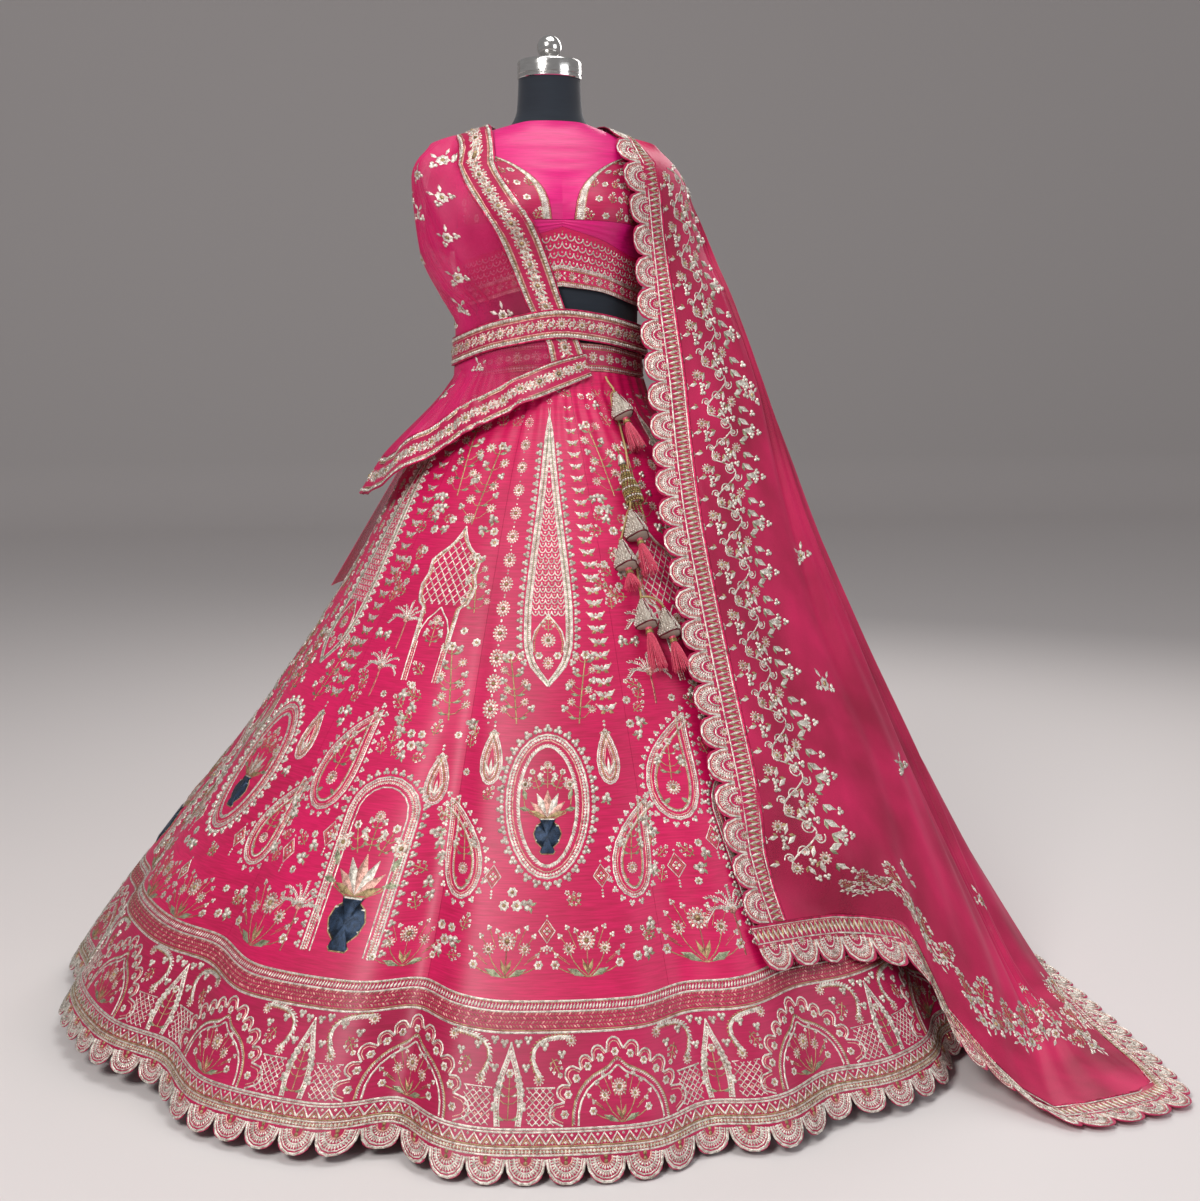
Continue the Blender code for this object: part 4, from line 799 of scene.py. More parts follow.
def cloth_shell(name, cloth, thickness, material, nodes, coarse=1):
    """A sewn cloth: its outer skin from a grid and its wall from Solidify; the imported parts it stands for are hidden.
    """
    rows = list(range(0, len(cloth.y) - 1, coarse)) + [len(cloth.y) - 1]
    piece = skin_grid(cloth.grid[rows])
    layer = piece.data.uv_layers.active or piece.data.uv_layers.new(name="UVMap")
    loops = np.empty(len(piece.data.loops), np.int32)
    piece.data.loops.foreach_get("vertex_index", loops)
    flat = np.stack([cloth.flat_x[rows], cloth.flat_y[rows]], axis=-1).reshape(-1, 2)
    layer.data.foreach_set("uv", flat[loops].astype(np.float32).ravel())
    middle = tuple(size // 2 for size in cloth.grid.shape[:2])
    outward(piece, cloth.grid[middle], cloth.normals[middle])
    if cloth.closed:
        bpy.ops.object.mode_set(mode="EDIT")
        bpy.ops.mesh.select_all(action="SELECT")
        bpy.ops.mesh.remove_doubles(threshold=0.00002)
        bpy.ops.object.mode_set(mode="OBJECT")
    wall = piece.modifiers.new("wall", "SOLIDIFY")
    wall.thickness = thickness
    wall.offset = -1.0
    bpy.ops.object.modifier_apply(modifier="wall")
    named(piece, name, material, 50.0)
    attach(piece, "root")
    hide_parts(*nodes)
    width, length, area = float(cloth.widths.max()), float(cloth.lengths.max()), cloth.area()
    share = area / (width * length)
    if share > 1.0:
        width, length = width * math.sqrt(share), length * math.sqrt(share)
    return piece


def figure_point(angle, height, out):
    return offset_point(figure_radius, angle, height, out)


def side_limit(height, behind=False):
    """Angle where the choli meets the armhole plane, or its side seam where it never does."""
    high = np.full(np.shape(height), math.radians(90.0) - SEAM / 0.15)
    low = np.full(np.shape(height), math.radians(45.0))

    def clear(turn):
        angle = math.pi - turn if behind else turn
        return figure_point(angle, height, SKIN + CLOTH)[..., 0] < ARMHOLE_X

    whole = clear(high)
    seam = high.copy()
    for _ in range(26):
        middle = (low + high) / 2
        inside = clear(middle)
        low = np.where(inside, middle, low)
        high = np.where(inside, high, middle)
    return np.where(whole, seam, low)


def cup_edge(height):
    return np.minimum(np.radians(column(CUP_EDGE, 1, height)), side_limit(height) - math.radians(2.0))


def yoke_place(across, up):
    height = 1.2130 + (NECKLINE[0][1] - 1.2130) * up
    half = np.where(height < CUP_TOP + SEAM, cup_edge(height), side_limit(height))
    angle = across * half
    drop = NECKLINE[0][1] - column(NECKLINE, 1, np.abs(np.degrees(angle)))
    return angle, height - drop * up ** 12


def cup_place(side):
    def place(across, up):
        height = 1.2130 + (CUP_TOP - 1.2130) * up
        inner = cup_edge(height) + SEAM / 0.12
        angle = inner + (side_limit(height) - inner) * across
        sink = 1.2130 - column(CUP_FOOT, 1, np.degrees(angle))
        return side * angle, height - sink * (1 - up) ** 4
    return place


def band_place(across, up):
    low_half, high_half = side_limit(np.float64(LATTICE_TOP[-1][1])), side_limit(np.float64(CUP_FOOT[-1][1]))
    angle = across * (low_half + (high_half - low_half) * up)
    low = column(LATTICE_TOP, 1, np.abs(np.degrees(angle))) + SEAM / 2
    high = column(CUP_FOOT, 1, np.abs(np.degrees(angle))) - SEAM
    return angle, low + (high - low) * up


def lower_place(across, up):
    angle = across * side_limit(np.float64(1.12)) + 0.0 * up
    low = column(LOWER_HEM, 1, np.abs(np.degrees(angle)))
    high = column(LATTICE_TOP, 1, np.abs(np.degrees(angle))) - SEAM / 2
    return angle, low + (high - low) * up


def back_place(side):
    def place(across, up):
        neck, low = column(NECKLINE, 1, 90), column(LOWER_HEM, 1, 90)
        height = low + (neck - low) * up
        start = math.pi - side_limit(height, True)
        angle = start + (math.pi - SEAM / 0.18 - start) * across
        turn = np.degrees(angle)
        height = height + (column(LOWER_HEM, 1, turn) - low) * (1 - up) + (column(NECKLINE, 1, turn) - neck) * up ** 6
        return side * angle, height
    return place


def choli_cloth(place, columns, rows, relief=None):
    across, up = np.broadcast_arrays(columns[None, :], rows[:, None])
    angle, height = place(across, up)
    lift = relief(across, up) if relief is not None else 0.0
    return Cloth(figure_point(angle, height, SKIN + CLOTH + lift))


def yoke_creases(across, up):
    """Level wrinkles where the yoke pulls between the shoulders, uneven in length."""
    line = np.zeros_like(across)
    for height, middle, reach, deep in ((0.16, -0.2, 0.8, 0.0009), (0.31, 0.25, 0.6, 0.0007),
                                        (0.47, -0.05, 0.7, 0.0010), (0.60, 0.10, 0.5, 0.0008),
                                        (0.73, -0.15, 0.6, 0.0011), (0.85, 0.05, 0.7, 0.0009)):
        bow = height + 0.05 * (across - middle) ** 2
        line = line + deep * np.exp(-((up - bow) / 0.022) ** 2 - ((across - middle) / reach) ** 4)
    return line


def band_pleats(across, up):
    """Shallow pleats that run along the band under the cups, uneven in depth."""
    depth = 0.0012 * np.sin(math.pi * up)
    pleat = 0.5 - 0.5 * np.cos(2 * math.pi * (3.0 * up + 0.35 * np.sin(2.5 * across)))
    return depth * pleat * (0.8 + 0.2 * np.cos(5 * across))


yoke = choli_cloth(yoke_place, np.linspace(-1, 1, 57), np.linspace(0, 1, 61), yoke_creases)
cloth_shell("choli_yoke_silk", yoke, CLOTH, yoke_silk, ["choli_yoke_front"], coarse=2)
underbust = choli_cloth(band_place, np.linspace(-1, 1, 81), np.linspace(0, 1, 21), band_pleats)
cloth_shell("choli_band_silk", underbust, CLOTH, yoke_silk, ["choli_underbust_band"])
lower = choli_cloth(lower_place, np.linspace(-1, 1, 81), np.linspace(0, 1, 25))
cloth_shell("choli_lower_silk", lower, CLOTH, raw_silk, ["choli_lower_front"], coarse=2)

# The cups: a scatter of small flowers and leaves inside a broad edge of bead rows
cup_flower = star_flower(0.0062, 6)
cup_sprig = sprig(0.020, 2, star_flower(0.0038, 5))
for side, label in ((-1, "right"), (1, "left")):
    cup = choli_cloth(cup_place(side), np.linspace(0, 1, 33), np.linspace(0, 1, 41))
    cloth_shell("choli_cup_%s_silk" % label, cup, CLOTH, worked_silk, ["choli_cup_" + label])
    back = choli_cloth(back_place(side), np.linspace(0, 1, 31), np.linspace(0, 1, 61))
    cloth_shell("choli_back_%s_silk" % label, back, CLOTH, raw_silk, ["choli_back_" + label], coarse=2)
    cup_work = Work()
    wide, tall = cup.x[-1], cup.y[-1]
    edge_line = [(0.0012, y) for y in np.linspace(0.001, tall - 0.001, 40)]
    for gap, radius in ((0.0022, 0.0013), (0.0050, 0.0017), (0.0078, 0.0013)):
        cup_work.beads([(x + gap, y) for x, y in along(edge_line, radius * 2.1)[0]], radius, SILVER)
    for gap in (0.0, 0.0036, 0.0064, 0.0094):
        cup_work.cord([(x + gap, y) for x, y in edge_line], 0.0012, GOLD if gap in (0.0, 0.0094) else SILVER)
    top_line = [(x, tall - 0.0015) for x in np.linspace(0.010, wide - 0.002, 30)]
    cup_work.cord(top_line, 0.0014, SILVER)
    cup_work.beads([(x, y - 0.003) for x, y in along(top_line, 0.0030)[0]], 0.0014, SILVER)
    row_count, column_count = 6, 7
    for r in range(row_count):
        for c in range(column_count):
            x = 0.018 + (wide - 0.024) * (c + 0.5 * (r % 2)) / column_count
            y = 0.008 + (tall - 0.018) * r / (row_count - 1)
            if x > wide - 0.006:
                continue
            if (r + c) % 2:
                cup_work.stamp(cup_flower, [(x, y)], turns=0.5 * r, bend=cup.bend)
            else:
                cup_work.stamp(cup_sprig, [(x, y - 0.007)], turns=0.4 * (-1) ** (r + c // 2), bend=cup.bend)
    lay("choli_cup_%s_work" % label, cup_work, cup.at, metal_thread)

# The hem: a fish-scale lattice with drops over bands of beads and rosettes
lower_work = Work()
wide, tall = lower.x[-1], lower.y[-1]
scale_wide, scale_tall = wide / 34, 0.0112
scale_arc = [(scale_wide / 2 * math.cos(t), -0.0075 * math.sin(t)) for t in np.linspace(0, math.pi, 8)]
scale = Work()
scale.cord(scale_arc, 0.0015, SILVER)
scale.beads([(0.0, -0.0020)], 0.0014, SILVER)
scale.beads([(0.0, 0.0014)], 0.0010, GOLD)
for r in range(5):
    y = 0.034 + r * scale_tall
    spots = [(scale_wide * (c + 0.5 + 0.5 * (r % 2)), y) for c in range(34 - (r % 2))]
    lower_work.stamp(scale, [spot for spot in spots if y < tall - 0.004])
for y, width, tint in ((0.0012, 0.0018, SILVER), (0.0060, 0.0012, GOLD), (0.0215, 0.0012, GOLD),
                       (0.0262, 0.0018, SILVER)):
    lower_work.cord([(x, y) for x in np.linspace(0.001, wide - 0.001, 90)], width, tint)
for y in (0.0036, 0.0238):
    lower_work.beads([(x, y) for x in np.arange(0.003, wide - 0.002, 0.0036)], 0.0016, SILVER)
rosette = sun_flower(0.0062, None, 10)
bud = Work()
bud.leaves([(0, -0.001), (0, 0.001), (-0.001, 0)], [-0.9, 0.9, math.pi], 0.0058, 0.0026, SILVER)
bud.beads([(0.0045, 0.0)], 0.0013, GOLD)
lower_work.stamp(rosette, [(x, 0.0138) for x in np.arange(0.012, wide - 0.008, 0.0240)])
lower_work.stamp(bud, [(x, 0.0138) for x in np.arange(0.0215, wide - 0.008, 0.0240)])
lay("choli_hem_work", lower_work, lower.at, metal_thread)

# The cap sleeves, gathered into the armhole and open at the cuff
around, turns_count = 64, 25


def armhole_reach(turn, out):
    low, high = np.zeros_like(turn), np.full_like(turn, 0.12)
    x = ARMHOLE_X + SEAM
    for _ in range(26):
        middle = (low + high) / 2
        y = -middle * np.sin(turn)
        height = SLEEVE["centre"] + middle * np.cos(turn)
        skin = np.linalg.norm(figure_point(np.arctan2(x, -y), height, out)[..., :2], axis=-1)
        inside = np.hypot(x, y) < skin
        low = np.where(inside, middle, low)
        high = np.where(inside, high, middle)
    return low


sleeve_turn = np.linspace(0.0, 2 * math.pi, around + 1)
reach = armhole_reach(sleeve_turn, SKIN + CLOTH)
start = np.stack([np.full_like(reach, ARMHOLE_X + SEAM), -reach * np.sin(sleeve_turn),
                  SLEEVE["centre"] + reach * np.cos(sleeve_turn)], axis=-1)
finish = np.stack([SLEEVE["cuff_x"] + SLEEVE["cuff_half_x"] * np.cos(sleeve_turn),
                   -SLEEVE["cuff_half_y"] * np.sin(sleeve_turn),
                   SLEEVE["cuff_z"] + SLEEVE["cuff_rise"] * np.cos(sleeve_turn)], axis=-1)
length = np.linalg.norm(finish - start, axis=-1)
pulled = start + np.stack([0.9 * length * (0.62 - 0.30 * np.cos(sleeve_turn)), 0 * length, 0 * length], axis=-1)
dropped = finish + np.stack([0 * length, 0 * length, 0.45 * length], axis=-1)
sleeve_rows = []
for share in np.linspace(0.0, 1.0, turns_count):
    row = (1 - share) ** 3 * start + 3 * share * (1 - share) ** 2 * pulled
    row = row + 3 * share ** 2 * (1 - share) * dropped + share ** 3 * finish
    pucker = (0.0010 * math.sin(math.pi * share) * np.sin(9 * sleeve_turn + 4 * share)
              * np.clip(np.cos(sleeve_turn), 0, 1))
    row[:, 0] += pucker
    sleeve_rows.append(row)
for side, label in ((-1, "right"), (1, "left")):
    sleeve = Cloth(np.array(sleeve_rows) * np.array([side, 1.0, 1.0]), closed=True)
    cloth_shell("choli_sleeve_%s_silk" % label, sleeve, CLOTH, worked_silk, ["choli_sleeve_" + label])
    sleeve_work = Work()
    wide, tall = sleeve.x[-1], sleeve.y[-1]
    for y, width, tint in ((tall - 0.0012, 0.0018, SILVER), (tall - 0.0082, 0.0014, GOLD)):
        sleeve_work.cord([(x, y) for x in np.linspace(0.0, wide, 90)], width, tint)
    sleeve_work.beads([(x, tall - 0.0045) for x in np.arange(0.001, wide, 0.0038)], 0.0017, SILVER)
    for r in range(4):
        for c in range(14):
            spot = (wide * (c + 0.5 * (r % 2) + 0.25) / 14, tall * (0.12 + 0.205 * r))
            sleeve_work.stamp(cup_flower if (r + c) % 2 else cup_sprig, [spot], turns=math.pi + 0.3 * (-1) ** c,
                              bend=sleeve.bend)
    lay("choli_sleeve_%s_work" % label, sleeve_work, sleeve.at, metal_thread)


# Lehenga
# Twelve flared kalis of raw silk hang from a waistband, with a stiff worked border at the hem.
# The silk has soft gathers under the band and fifteen folds that deepen towards the floor.
BORDER_HEIGHT = 0.182
SCALLOP_DEPTH = 0.020
SLOPE = 0.87             # rise of the skirt for each metre along its surface
LOBE_TURN = 3.75         # degrees of the hem that one scallop takes
LOBE_WIDE = 0.050
SKIRT = [  # height, right, left, front, back radius
    (1.030, 0.1475, 0.1475, 0.1095, 0.1065), (0.975, 0.1510, 0.1510, 0.1150, 0.1130),
    (0.850, 0.213, 0.223, 0.198, 0.193), (0.650, 0.323, 0.335, 0.335, 0.318),
    (0.450, 0.448, 0.472, 0.460, 0.438), (0.250, 0.580, 0.632, 0.590, 0.560),
    (0.100, 0.685, 0.748, 0.700, 0.670), (0.000, 0.755, 0.815, 0.772, 0.745),
]
FOLDS = [  # angle, half width, depth at the hem, height where it starts
    (-88, 6.0, 0.030, 0.70), (-56, 6.0, 0.035, 0.60), (-26, 4.0, 0.050, 0.80),
    (7, 4.5, 0.040, 0.65), (22, 5.0, 0.030, 0.50), (44, 5.0, 0.035, 0.60),
    (63, 6.0, 0.040, 0.70), (85, 6.0, 0.035, 0.60), (107, 6.0, 0.040, 0.70),
    (130, 5.0, 0.035, 0.60), (153, 6.0, 0.045, 0.70), (176, 6.0, 0.035, 0.60),
    (-158, 6.0, 0.040, 0.70), (-134, 6.0, 0.035, 0.60), (-111, 5.0, 0.040, 0.70),
]
HEM_LIFT = [
    (-180, 0.004), (-110, 0.012), (-76, 0.026), (-58, 0.022), (-46, 0.010), (-26, 0.012),
    (-14, 0.002), (0, 0.002), (10, 0.006), (22, 0.012), (40, 0.012), (80, 0.008), (180, 0.004),
]
WAISTBAND = [(0, 0.987, 1.030), (35, 0.984, 1.026), (75, 0.975, 1.012), (120, 0.975, 1.010), (180, 0.978, 1.014)]


def skirt_crest(angle, height):
    side = np.where(np.sin(angle) > 0, column(SKIRT, 1, height), column(SKIRT, 2, height))
    depth = np.where(np.cos(angle) > 0, column(SKIRT, 3, height), column(SKIRT, 4, height))
    return oval(angle, side, depth)


def silk_radius(angle, height):
    """The skirt with its folds, the gathers under the waistband, and the silk's soft rumples."""
    radius = skirt_crest(angle, height)
    for fold_angle, half_width, depth, top in FOLDS:
        turn = wrapped(np.degrees(angle) - fold_angle)
        fade = np.clip(1.0 - height / top, 0.0, 1.0) ** 1.3
        radius = radius - depth * fade * np.exp(-(turn / half_width) ** 2)
    gather = np.clip((height - 0.78) / 0.14, 0, 1) * np.clip((0.982 - height) / 0.02, 0, 1)
    rumple = np.clip((height - 0.24) / 0.15, 0, 1) * np.clip((0.95 - height) / 0.15, 0, 1)
    small = 0.0013 * gather * np.sin(46 * angle + 3 * np.sin(9 * height) + 2 * np.sin(3 * angle))
    wide = 0.0022 * rumple * np.sin(11 * angle + 7.0 * height) * np.sin(13 * height - 5 * angle + 1.3)
    return radius + small + wide


def hem_height(angle):
    return column(HEM_LIFT, 1, wrapped(np.degrees(angle)))


def skirt_at(angle, height, out):
    return offset_point(silk_radius, angle, height, out)


def skirt_bend(x, a, y, b):
    """Turns metres on the skirt into an angle and a height."""
    height = y + b * SLOPE
    mean = (column(SKIRT, 1, height) + column(SKIRT, 2, height) + 2 * column(SKIRT, 3, height)) / 4
    return x + a / mean, height


def hem_at(x, y, out):
    """Places on the hem: x in scallop widths of 5 cm, y up the cloth from the scallops' tips."""
    angle = np.radians(-25.0 + np.asarray(x) / LOBE_WIDE * LOBE_TURN)
    return skirt_at(angle, hem_height(angle) + 0.0010 + np.asarray(y) / 1.22, out)


def band_ring(name, table, inner_gap, thickness, rows, node):
    """A closed band round the waist between two edge curves."""
    angle = np.linspace(-math.pi, math.pi, 145)
    turn = np.degrees(angle) if table[0][0] < 0 else np.abs(np.degrees(angle))
    low, high = column(table, 1, turn), column(table, 2, turn)
    share = np.linspace(0.0, 1.0, rows)[:, None]
    puff = 0.0006 * np.sin(math.pi * share)
    cloth = Cloth(figure_point(angle[None, :], low + (high - low) * share, inner_gap + thickness + puff), closed=True)
    cloth_shell(name, cloth, thickness, worked_silk, [node])
    return cloth


waistband = band_ring("lehenga_waistband_silk", WAISTBAND, SKIN, CLOTH, 9, "lehenga_waistband")
waist_work = Work()
wide, tall = waistband.x[-1], waistband.y[-1]
for y, width, tint in ((0.0012, 0.0020, PEACH), (0.0078, 0.0012, GOLD),
                       (tall - 0.0078, 0.0012, GOLD), (tall - 0.0012, 0.0020, PEACH)):
    waist_work.cord([(x, y) for x in np.linspace(0.0, wide, 150)], width, tint)
for y in (0.0046, tall - 0.0046):
    waist_work.beads([(x, y) for x in np.arange(0.001, wide, 0.0042)], 0.0018, SILVER)
waist_work.stamp(sun_flower(0.0080, None, 10), [(x, tall / 2) for x in np.arange(0.012, wide, 0.030)])
for lean in (-1, 1):
    spots = [(x + lean * 0.0095, tall / 2) for x in np.arange(0.012, wide, 0.030)]
    waist_work.leaves(spots, (0.0 if lean > 0 else math.pi) + 0.5, 0.0075, 0.0034, SILVER)
    waist_work.leaves(spots, (0.0 if lean > 0 else math.pi) - 0.5, 0.0075, 0.0034, SILVER)
lay("lehenga_waistband_work", waist_work, waistband.at, metal_thread)

# The spire: a tall padded finial with a fish-scale field, a niche at its foot and a fringe
SPIRE = [(0.000, 0.0005), (0.012, 0.0110), (0.035, 0.0270), (0.070, 0.0335), (0.110, 0.0330), (0.160, 0.0290),
         (0.230, 0.0215), (0.300, 0.0140), (0.360, 0.0085), (0.400, 0.0050), (0.425, 0.0005)]
spire = Work()
spire_rise = np.linspace(0.0, 0.425, 60)
spire_half = column(SPIRE, 1, spire_rise)
for side in (-1, 1):
    line = np.stack([side * spire_half, spire_rise], axis=1)
    for gap, width, tint in ((0.0, 0.0022, SILVER), (0.0042, 0.0014, GREEN), (0.0080, 0.0016, SILVER)):
        inner = np.clip(spire_half - gap, 0.0004, 1.0)
        spire.cord(np.stack([side * inner, spire_rise], axis=1), width, tint)
    for gap, radius in ((0.0022, 0.0013), (0.0062, 0.0013)):
        inner = np.stack([side * np.clip(spire_half - gap, 0.0004, 1.0), spire_rise], axis=1)
        spire.beads(along(inner, 0.0030)[0], radius, SILVER)
    fringe, fringe_turn = along(line[4:-6], 0.0125)
    spire.stamp(berries(0.0042), fringe + np.stack([np.full(len(fringe), side * 0.0045), 0 * fringe[:, 0]], axis=1),
                turns=-side * math.pi / 2)
    spire.cord([(side * 0.0005, 0.425), (side * 0.002, 0.44)], 0.0012, SILVER)
for row, rise in enumerate(np.arange(0.112, 0.345, 0.0088)):
    room = float(column(SPIRE, 1, rise)) - 0.0100
    if room < 0.0030:
        spire.beads([(0.0, rise)], 0.0018, SILVER)
        continue
    count = max(1, int(round(2 * room / 0.0088)))
    cell = 2 * room / count
    for k in range(count):
        middle = -room + cell * (k + 0.5)
        arc = [(middle + cell / 2 * math.cos(t), rise - 0.0070 * math.sin(t)) for t in np.linspace(0, math.pi, 7)]
        spire.cord(arc, 0.0014, SILVER)
        spire.beads([(middle, rise - 0.0015)], 0.0013, PEACH if row % 2 else SILVER)
niche = bezier([(-0.0215, 0.050), (-0.030, 0.085), (-0.004, 0.095), (0.0, 0.108)], 14)
for side in (-1, 1):
    spire.cord(np.column_stack([side * niche[:, 0], niche[:, 1]]), 0.0018, SILVER)
    spire.beads(along(np.column_stack([side * niche[:, 0] * 0.86, niche[:, 1] - 0.002]), 0.003)[0], 0.0012, GOLD)
spire.stamp(sun_flower(0.0105), [(0.0, 0.068)])
spire.stamp(sprig(0.022, 2), [(0.0, 0.080)])
spire.stamp(sun_flower(0.0080, 0.0100, 12), [(0.0, 0.034)])
spire.stamp(star_flower(0.0060), [(-0.0130, 0.045), (0.0130, 0.045), (0.0, 0.450)])
spire.beads([(0.0, 0.462), (0.0, 0.468)], 0.0017, SILVER)

# Smaller motifs of the panels
sunburst = sun_flower(0.0108, 0.0138, 14)
sunburst.beads([(0.0, 0.0180), (0.0, -0.0180)], 0.0015, SILVER)
bow = Work()
for side in (-1, 1):
    bow.leaves([(side * 0.0012, 0.0010)], [math.pi / 2 - side * 1.05], 0.0125, 0.0066, SILVER)
    bow.leaves([(side * 0.0012, 0.0)], [math.pi / 2 - side * 2.05], 0.0085, 0.0048, GOLD)
    bow.beads([(side * 0.0130, 0.0085)], 0.0013, PEACH)
bow.beads([(0.0, 0.0), (0.0, 0.0050)], 0.0019, SILVER)


def drop_outline(width, height, hook=0.0, count=40):
    """A paisley or, without a hook, a pointed drop, round at the foot."""
    t = np.linspace(0.0, 2 * math.pi, count, endpoint=False)
    up = 0.5 - 0.5 * np.cos(t)
    across = np.sin(t) * (1 - up) ** 0.42 * 0.80
    return np.column_stack([across * width * 0.72 + hook * width * up ** 3.2, up * height])


def layered(work, outline, gaps, closed=True):
    """Cords and bead rows, each a little further inside an outline that runs anticlockwise."""
    for gap, kind, size, tint in gaps:
        line = beside(outline, gap, closed)
        if kind == "cord":
            work.cord(line, size, tint, closed=closed)
        elif kind == "beads":
            work.beads(along(line, size * 2.2, closed)[0], size, tint)
        else:
            spots, turns = along(line, size * 0.55, closed)
            work.leaves(spots, turns + 0.9, size, size * 0.42, tint)


def paisley(width, height, hook):
    work = Work()
    outline = drop_outline(width, height, hook)
    layered(work, outline, [(0.0, "cord", 0.0020, SILVER), (0.0032, "beads", 0.0015, SILVER),
                            (0.0062, "cord", 0.0014, PEACH), (0.0100, "stitch", 0.0050, SILVER),
                            (0.0136, "cord", 0.0014, GOLD)])
    work.stamp(sun_flower(width * 0.125), [(0.0, height * 0.30)])
    work.stamp(sprig(height * 0.36, 3, star_flower(width * 0.07)), [(0.0, height * 0.38)], turns=-hook * 0.25)
    for side in (-1, 1):
        work.leaves([(side * width * 0.10, height * 0.20)], [-math.pi / 2 + side * 0.9], width * 0.14, width * 0.07,
                    GREEN)
    fringe, turns = along(beside(outline, -0.0050, True), 0.0135, True)
    work.stamp(berries(0.0036), fringe, turns=turns + math.pi)
    return work


def medallion(width, height):
    """A pointed drop of close bead rows and cords round a small flower."""
    work = Work()
    outline = drop_outline(width, height)
    layered(work, outline, [(0.0, "cord", 0.0018, SILVER), (0.0028, "beads", 0.0013, SILVER),
                            (0.0052, "cord", 0.0014, GOLD), (0.0078, "beads", 0.0012, SILVER),
                            (0.0100, "cord", 0.0013, PEACH)])
    work.leaves([(0.0, height * 0.16)] * 3, [math.pi / 2, 1.1, math.pi - 1.1], height * 0.30, width * 0.12, SILVER)
    work.beads([(0.0, height * 1.06), (0.0, height * 1.13)], 0.0018, SILVER)
    return work


def lozenge(size):
    work = Work()
    corner = np.array([(0, size), (-size * 0.72, 0), (0, -size), (size * 0.72, 0)])
    work.cord(corner, 0.0016, SILVER, closed=True)
    work.cord(corner * 0.72, 0.0012, GOLD, closed=True)
    work.stamp(star_flower(size * 0.36, 4), [(0.0, 0.0)])
    work.beads([(0.0, -size - 0.004), (0.0, -size - 0.008), (0.0, -size - 0.012), (0.0, size + 0.004)], 0.0016, SILVER)
    return work


def palm_spray(height):
    """A slim stem with a crown of curling fronds."""
    work = Work()
    work.cord(bezier([(0, 0), (0.002, height * 0.4), (0, height * 0.62)], 6), 0.0022, COPPER)
    for k in range(9):
        turn = math.radians(-20 + 27.5 * k)
        reach = height * (0.38 if k % 2 else 0.46)
        tip = np.array([math.cos(turn) * reach, math.sin(turn) * reach * 0.75 + height * 0.62])
        bow_out = np.array([math.cos(turn) * reach * 0.6, height * 0.66 + abs(math.sin(turn)) * reach * 0.9])
        frond = bezier([(0.0, height * 0.62), bow_out, tip], 6)
        work.cord(frond, 0.0016, SILVER)
        spots, turns = along(frond, 0.0034)
        work.leaves(spots, turns - 0.8, 0.0048, 0.0018, SILVER)
    work.beads(ring(0.0030, 5, middle=(0, height * 0.62)), 0.0022, PEACH)
    return work


def flower_branch(height, lean):
    """A tall branch with round flowers, buds and leaves on both sides."""
    work = Work()
    stem = bezier([(0, 0), (lean * 0.3 * height, height * 0.4), (lean * height, height)], 12)
    work.cord(stem, 0.0016, GOLD)
    for k, share in enumerate((0.16, 0.32, 0.47, 0.62, 0.78, 0.92)):
        foot = stem[int(share * 11)]
        for side in (-1, 1):
            reach = height * (0.20 - 0.09 * share) * (1.0 if (k + side) % 3 else 0.7)
            end = foot + np.array([side * reach, reach * 0.7])
            work.cord(bezier([foot, foot + np.array([side * reach * 0.6, 0.0]), end], 4), 0.0010, GOLD)
            if (k + (side > 0)) % 2:
                work.stamp(sun_flower(min(0.0095, height * 0.060), None, 9), [end])
            else:
                work.stamp(berries(0.0046), [end], turns=-side * 0.6)
                work.leaves([foot + np.array([side * reach * 0.25, 0.0])], [math.pi / 2 - side * 1.3], 0.0105, 0.0045,
                            GREEN)
    work.stamp(star_flower(0.0072), [stem[-1]])
    return work


# The vase: a generic lotus in a pot, in slate silk, in place of a pictured scene
vase = Work()
pot = [(-0.010, 0.0), (0.010, 0.0), (0.013, 0.004), (0.008, 0.009), (0.019, 0.020), (0.0235, 0.034), (0.019, 0.047),
       (0.010, 0.054), (0.014, 0.060), (-0.014, 0.060), (-0.010, 0.054), (-0.019, 0.047), (-0.0235, 0.034),
       (-0.019, 0.020), (-0.008, 0.009), (-0.013, 0.004)]
vase.patch(pot, SLATE, 0.0024)
vase.cord(pot, 0.0016, GOLD, closed=True)
for y, half in ((0.022, 0.0195), (0.046, 0.0190), (0.057, 0.0115)):
    vase.cord([(-half, y + 0.001), (0, y), (half, y + 0.001)], 0.0030, SILVER)
vase.stamp(sun_flower(0.0095), [(0.0, 0.034)])
for turn, reach, wide_leaf, tint in ((90, 0.044, 0.0140, PEACH), (66, 0.042, 0.0125, SILVER),
                                     (114, 0.042, 0.0125, SILVER), (42, 0.037, 0.0110, PEACH),
                                     (138, 0.037, 0.0110, PEACH), (20, 0.030, 0.0095, GOLD),
                                     (160, 0.030, 0.0095, GOLD)):
    vase.leaves([(0.0, 0.062)], [math.radians(turn)], reach, wide_leaf, tint)
for side in (-1, 1):
    vase.cord(bezier([(side * 0.012, 0.060), (side * 0.050, 0.070), (side * 0.038, 0.112)], 8), 0.0014, GOLD)
    vase.stamp(sun_flower(0.0100), [(side * 0.038, 0.118)])
    vase.leaves([(side * 0.030, 0.074), (side * 0.036, 0.092)], [math.pi / 2 - side * 1.4, math.pi / 2 - side * 0.3],
                0.018, 0.0075, GREEN)
    vase.stamp(sprig(0.034, 2), [(side * 0.014, 0.108)], turns=-side * 0.35)
vase.stamp(sprig(0.040, 3, sun_flower(0.0070)), [(0.0, 0.112)])

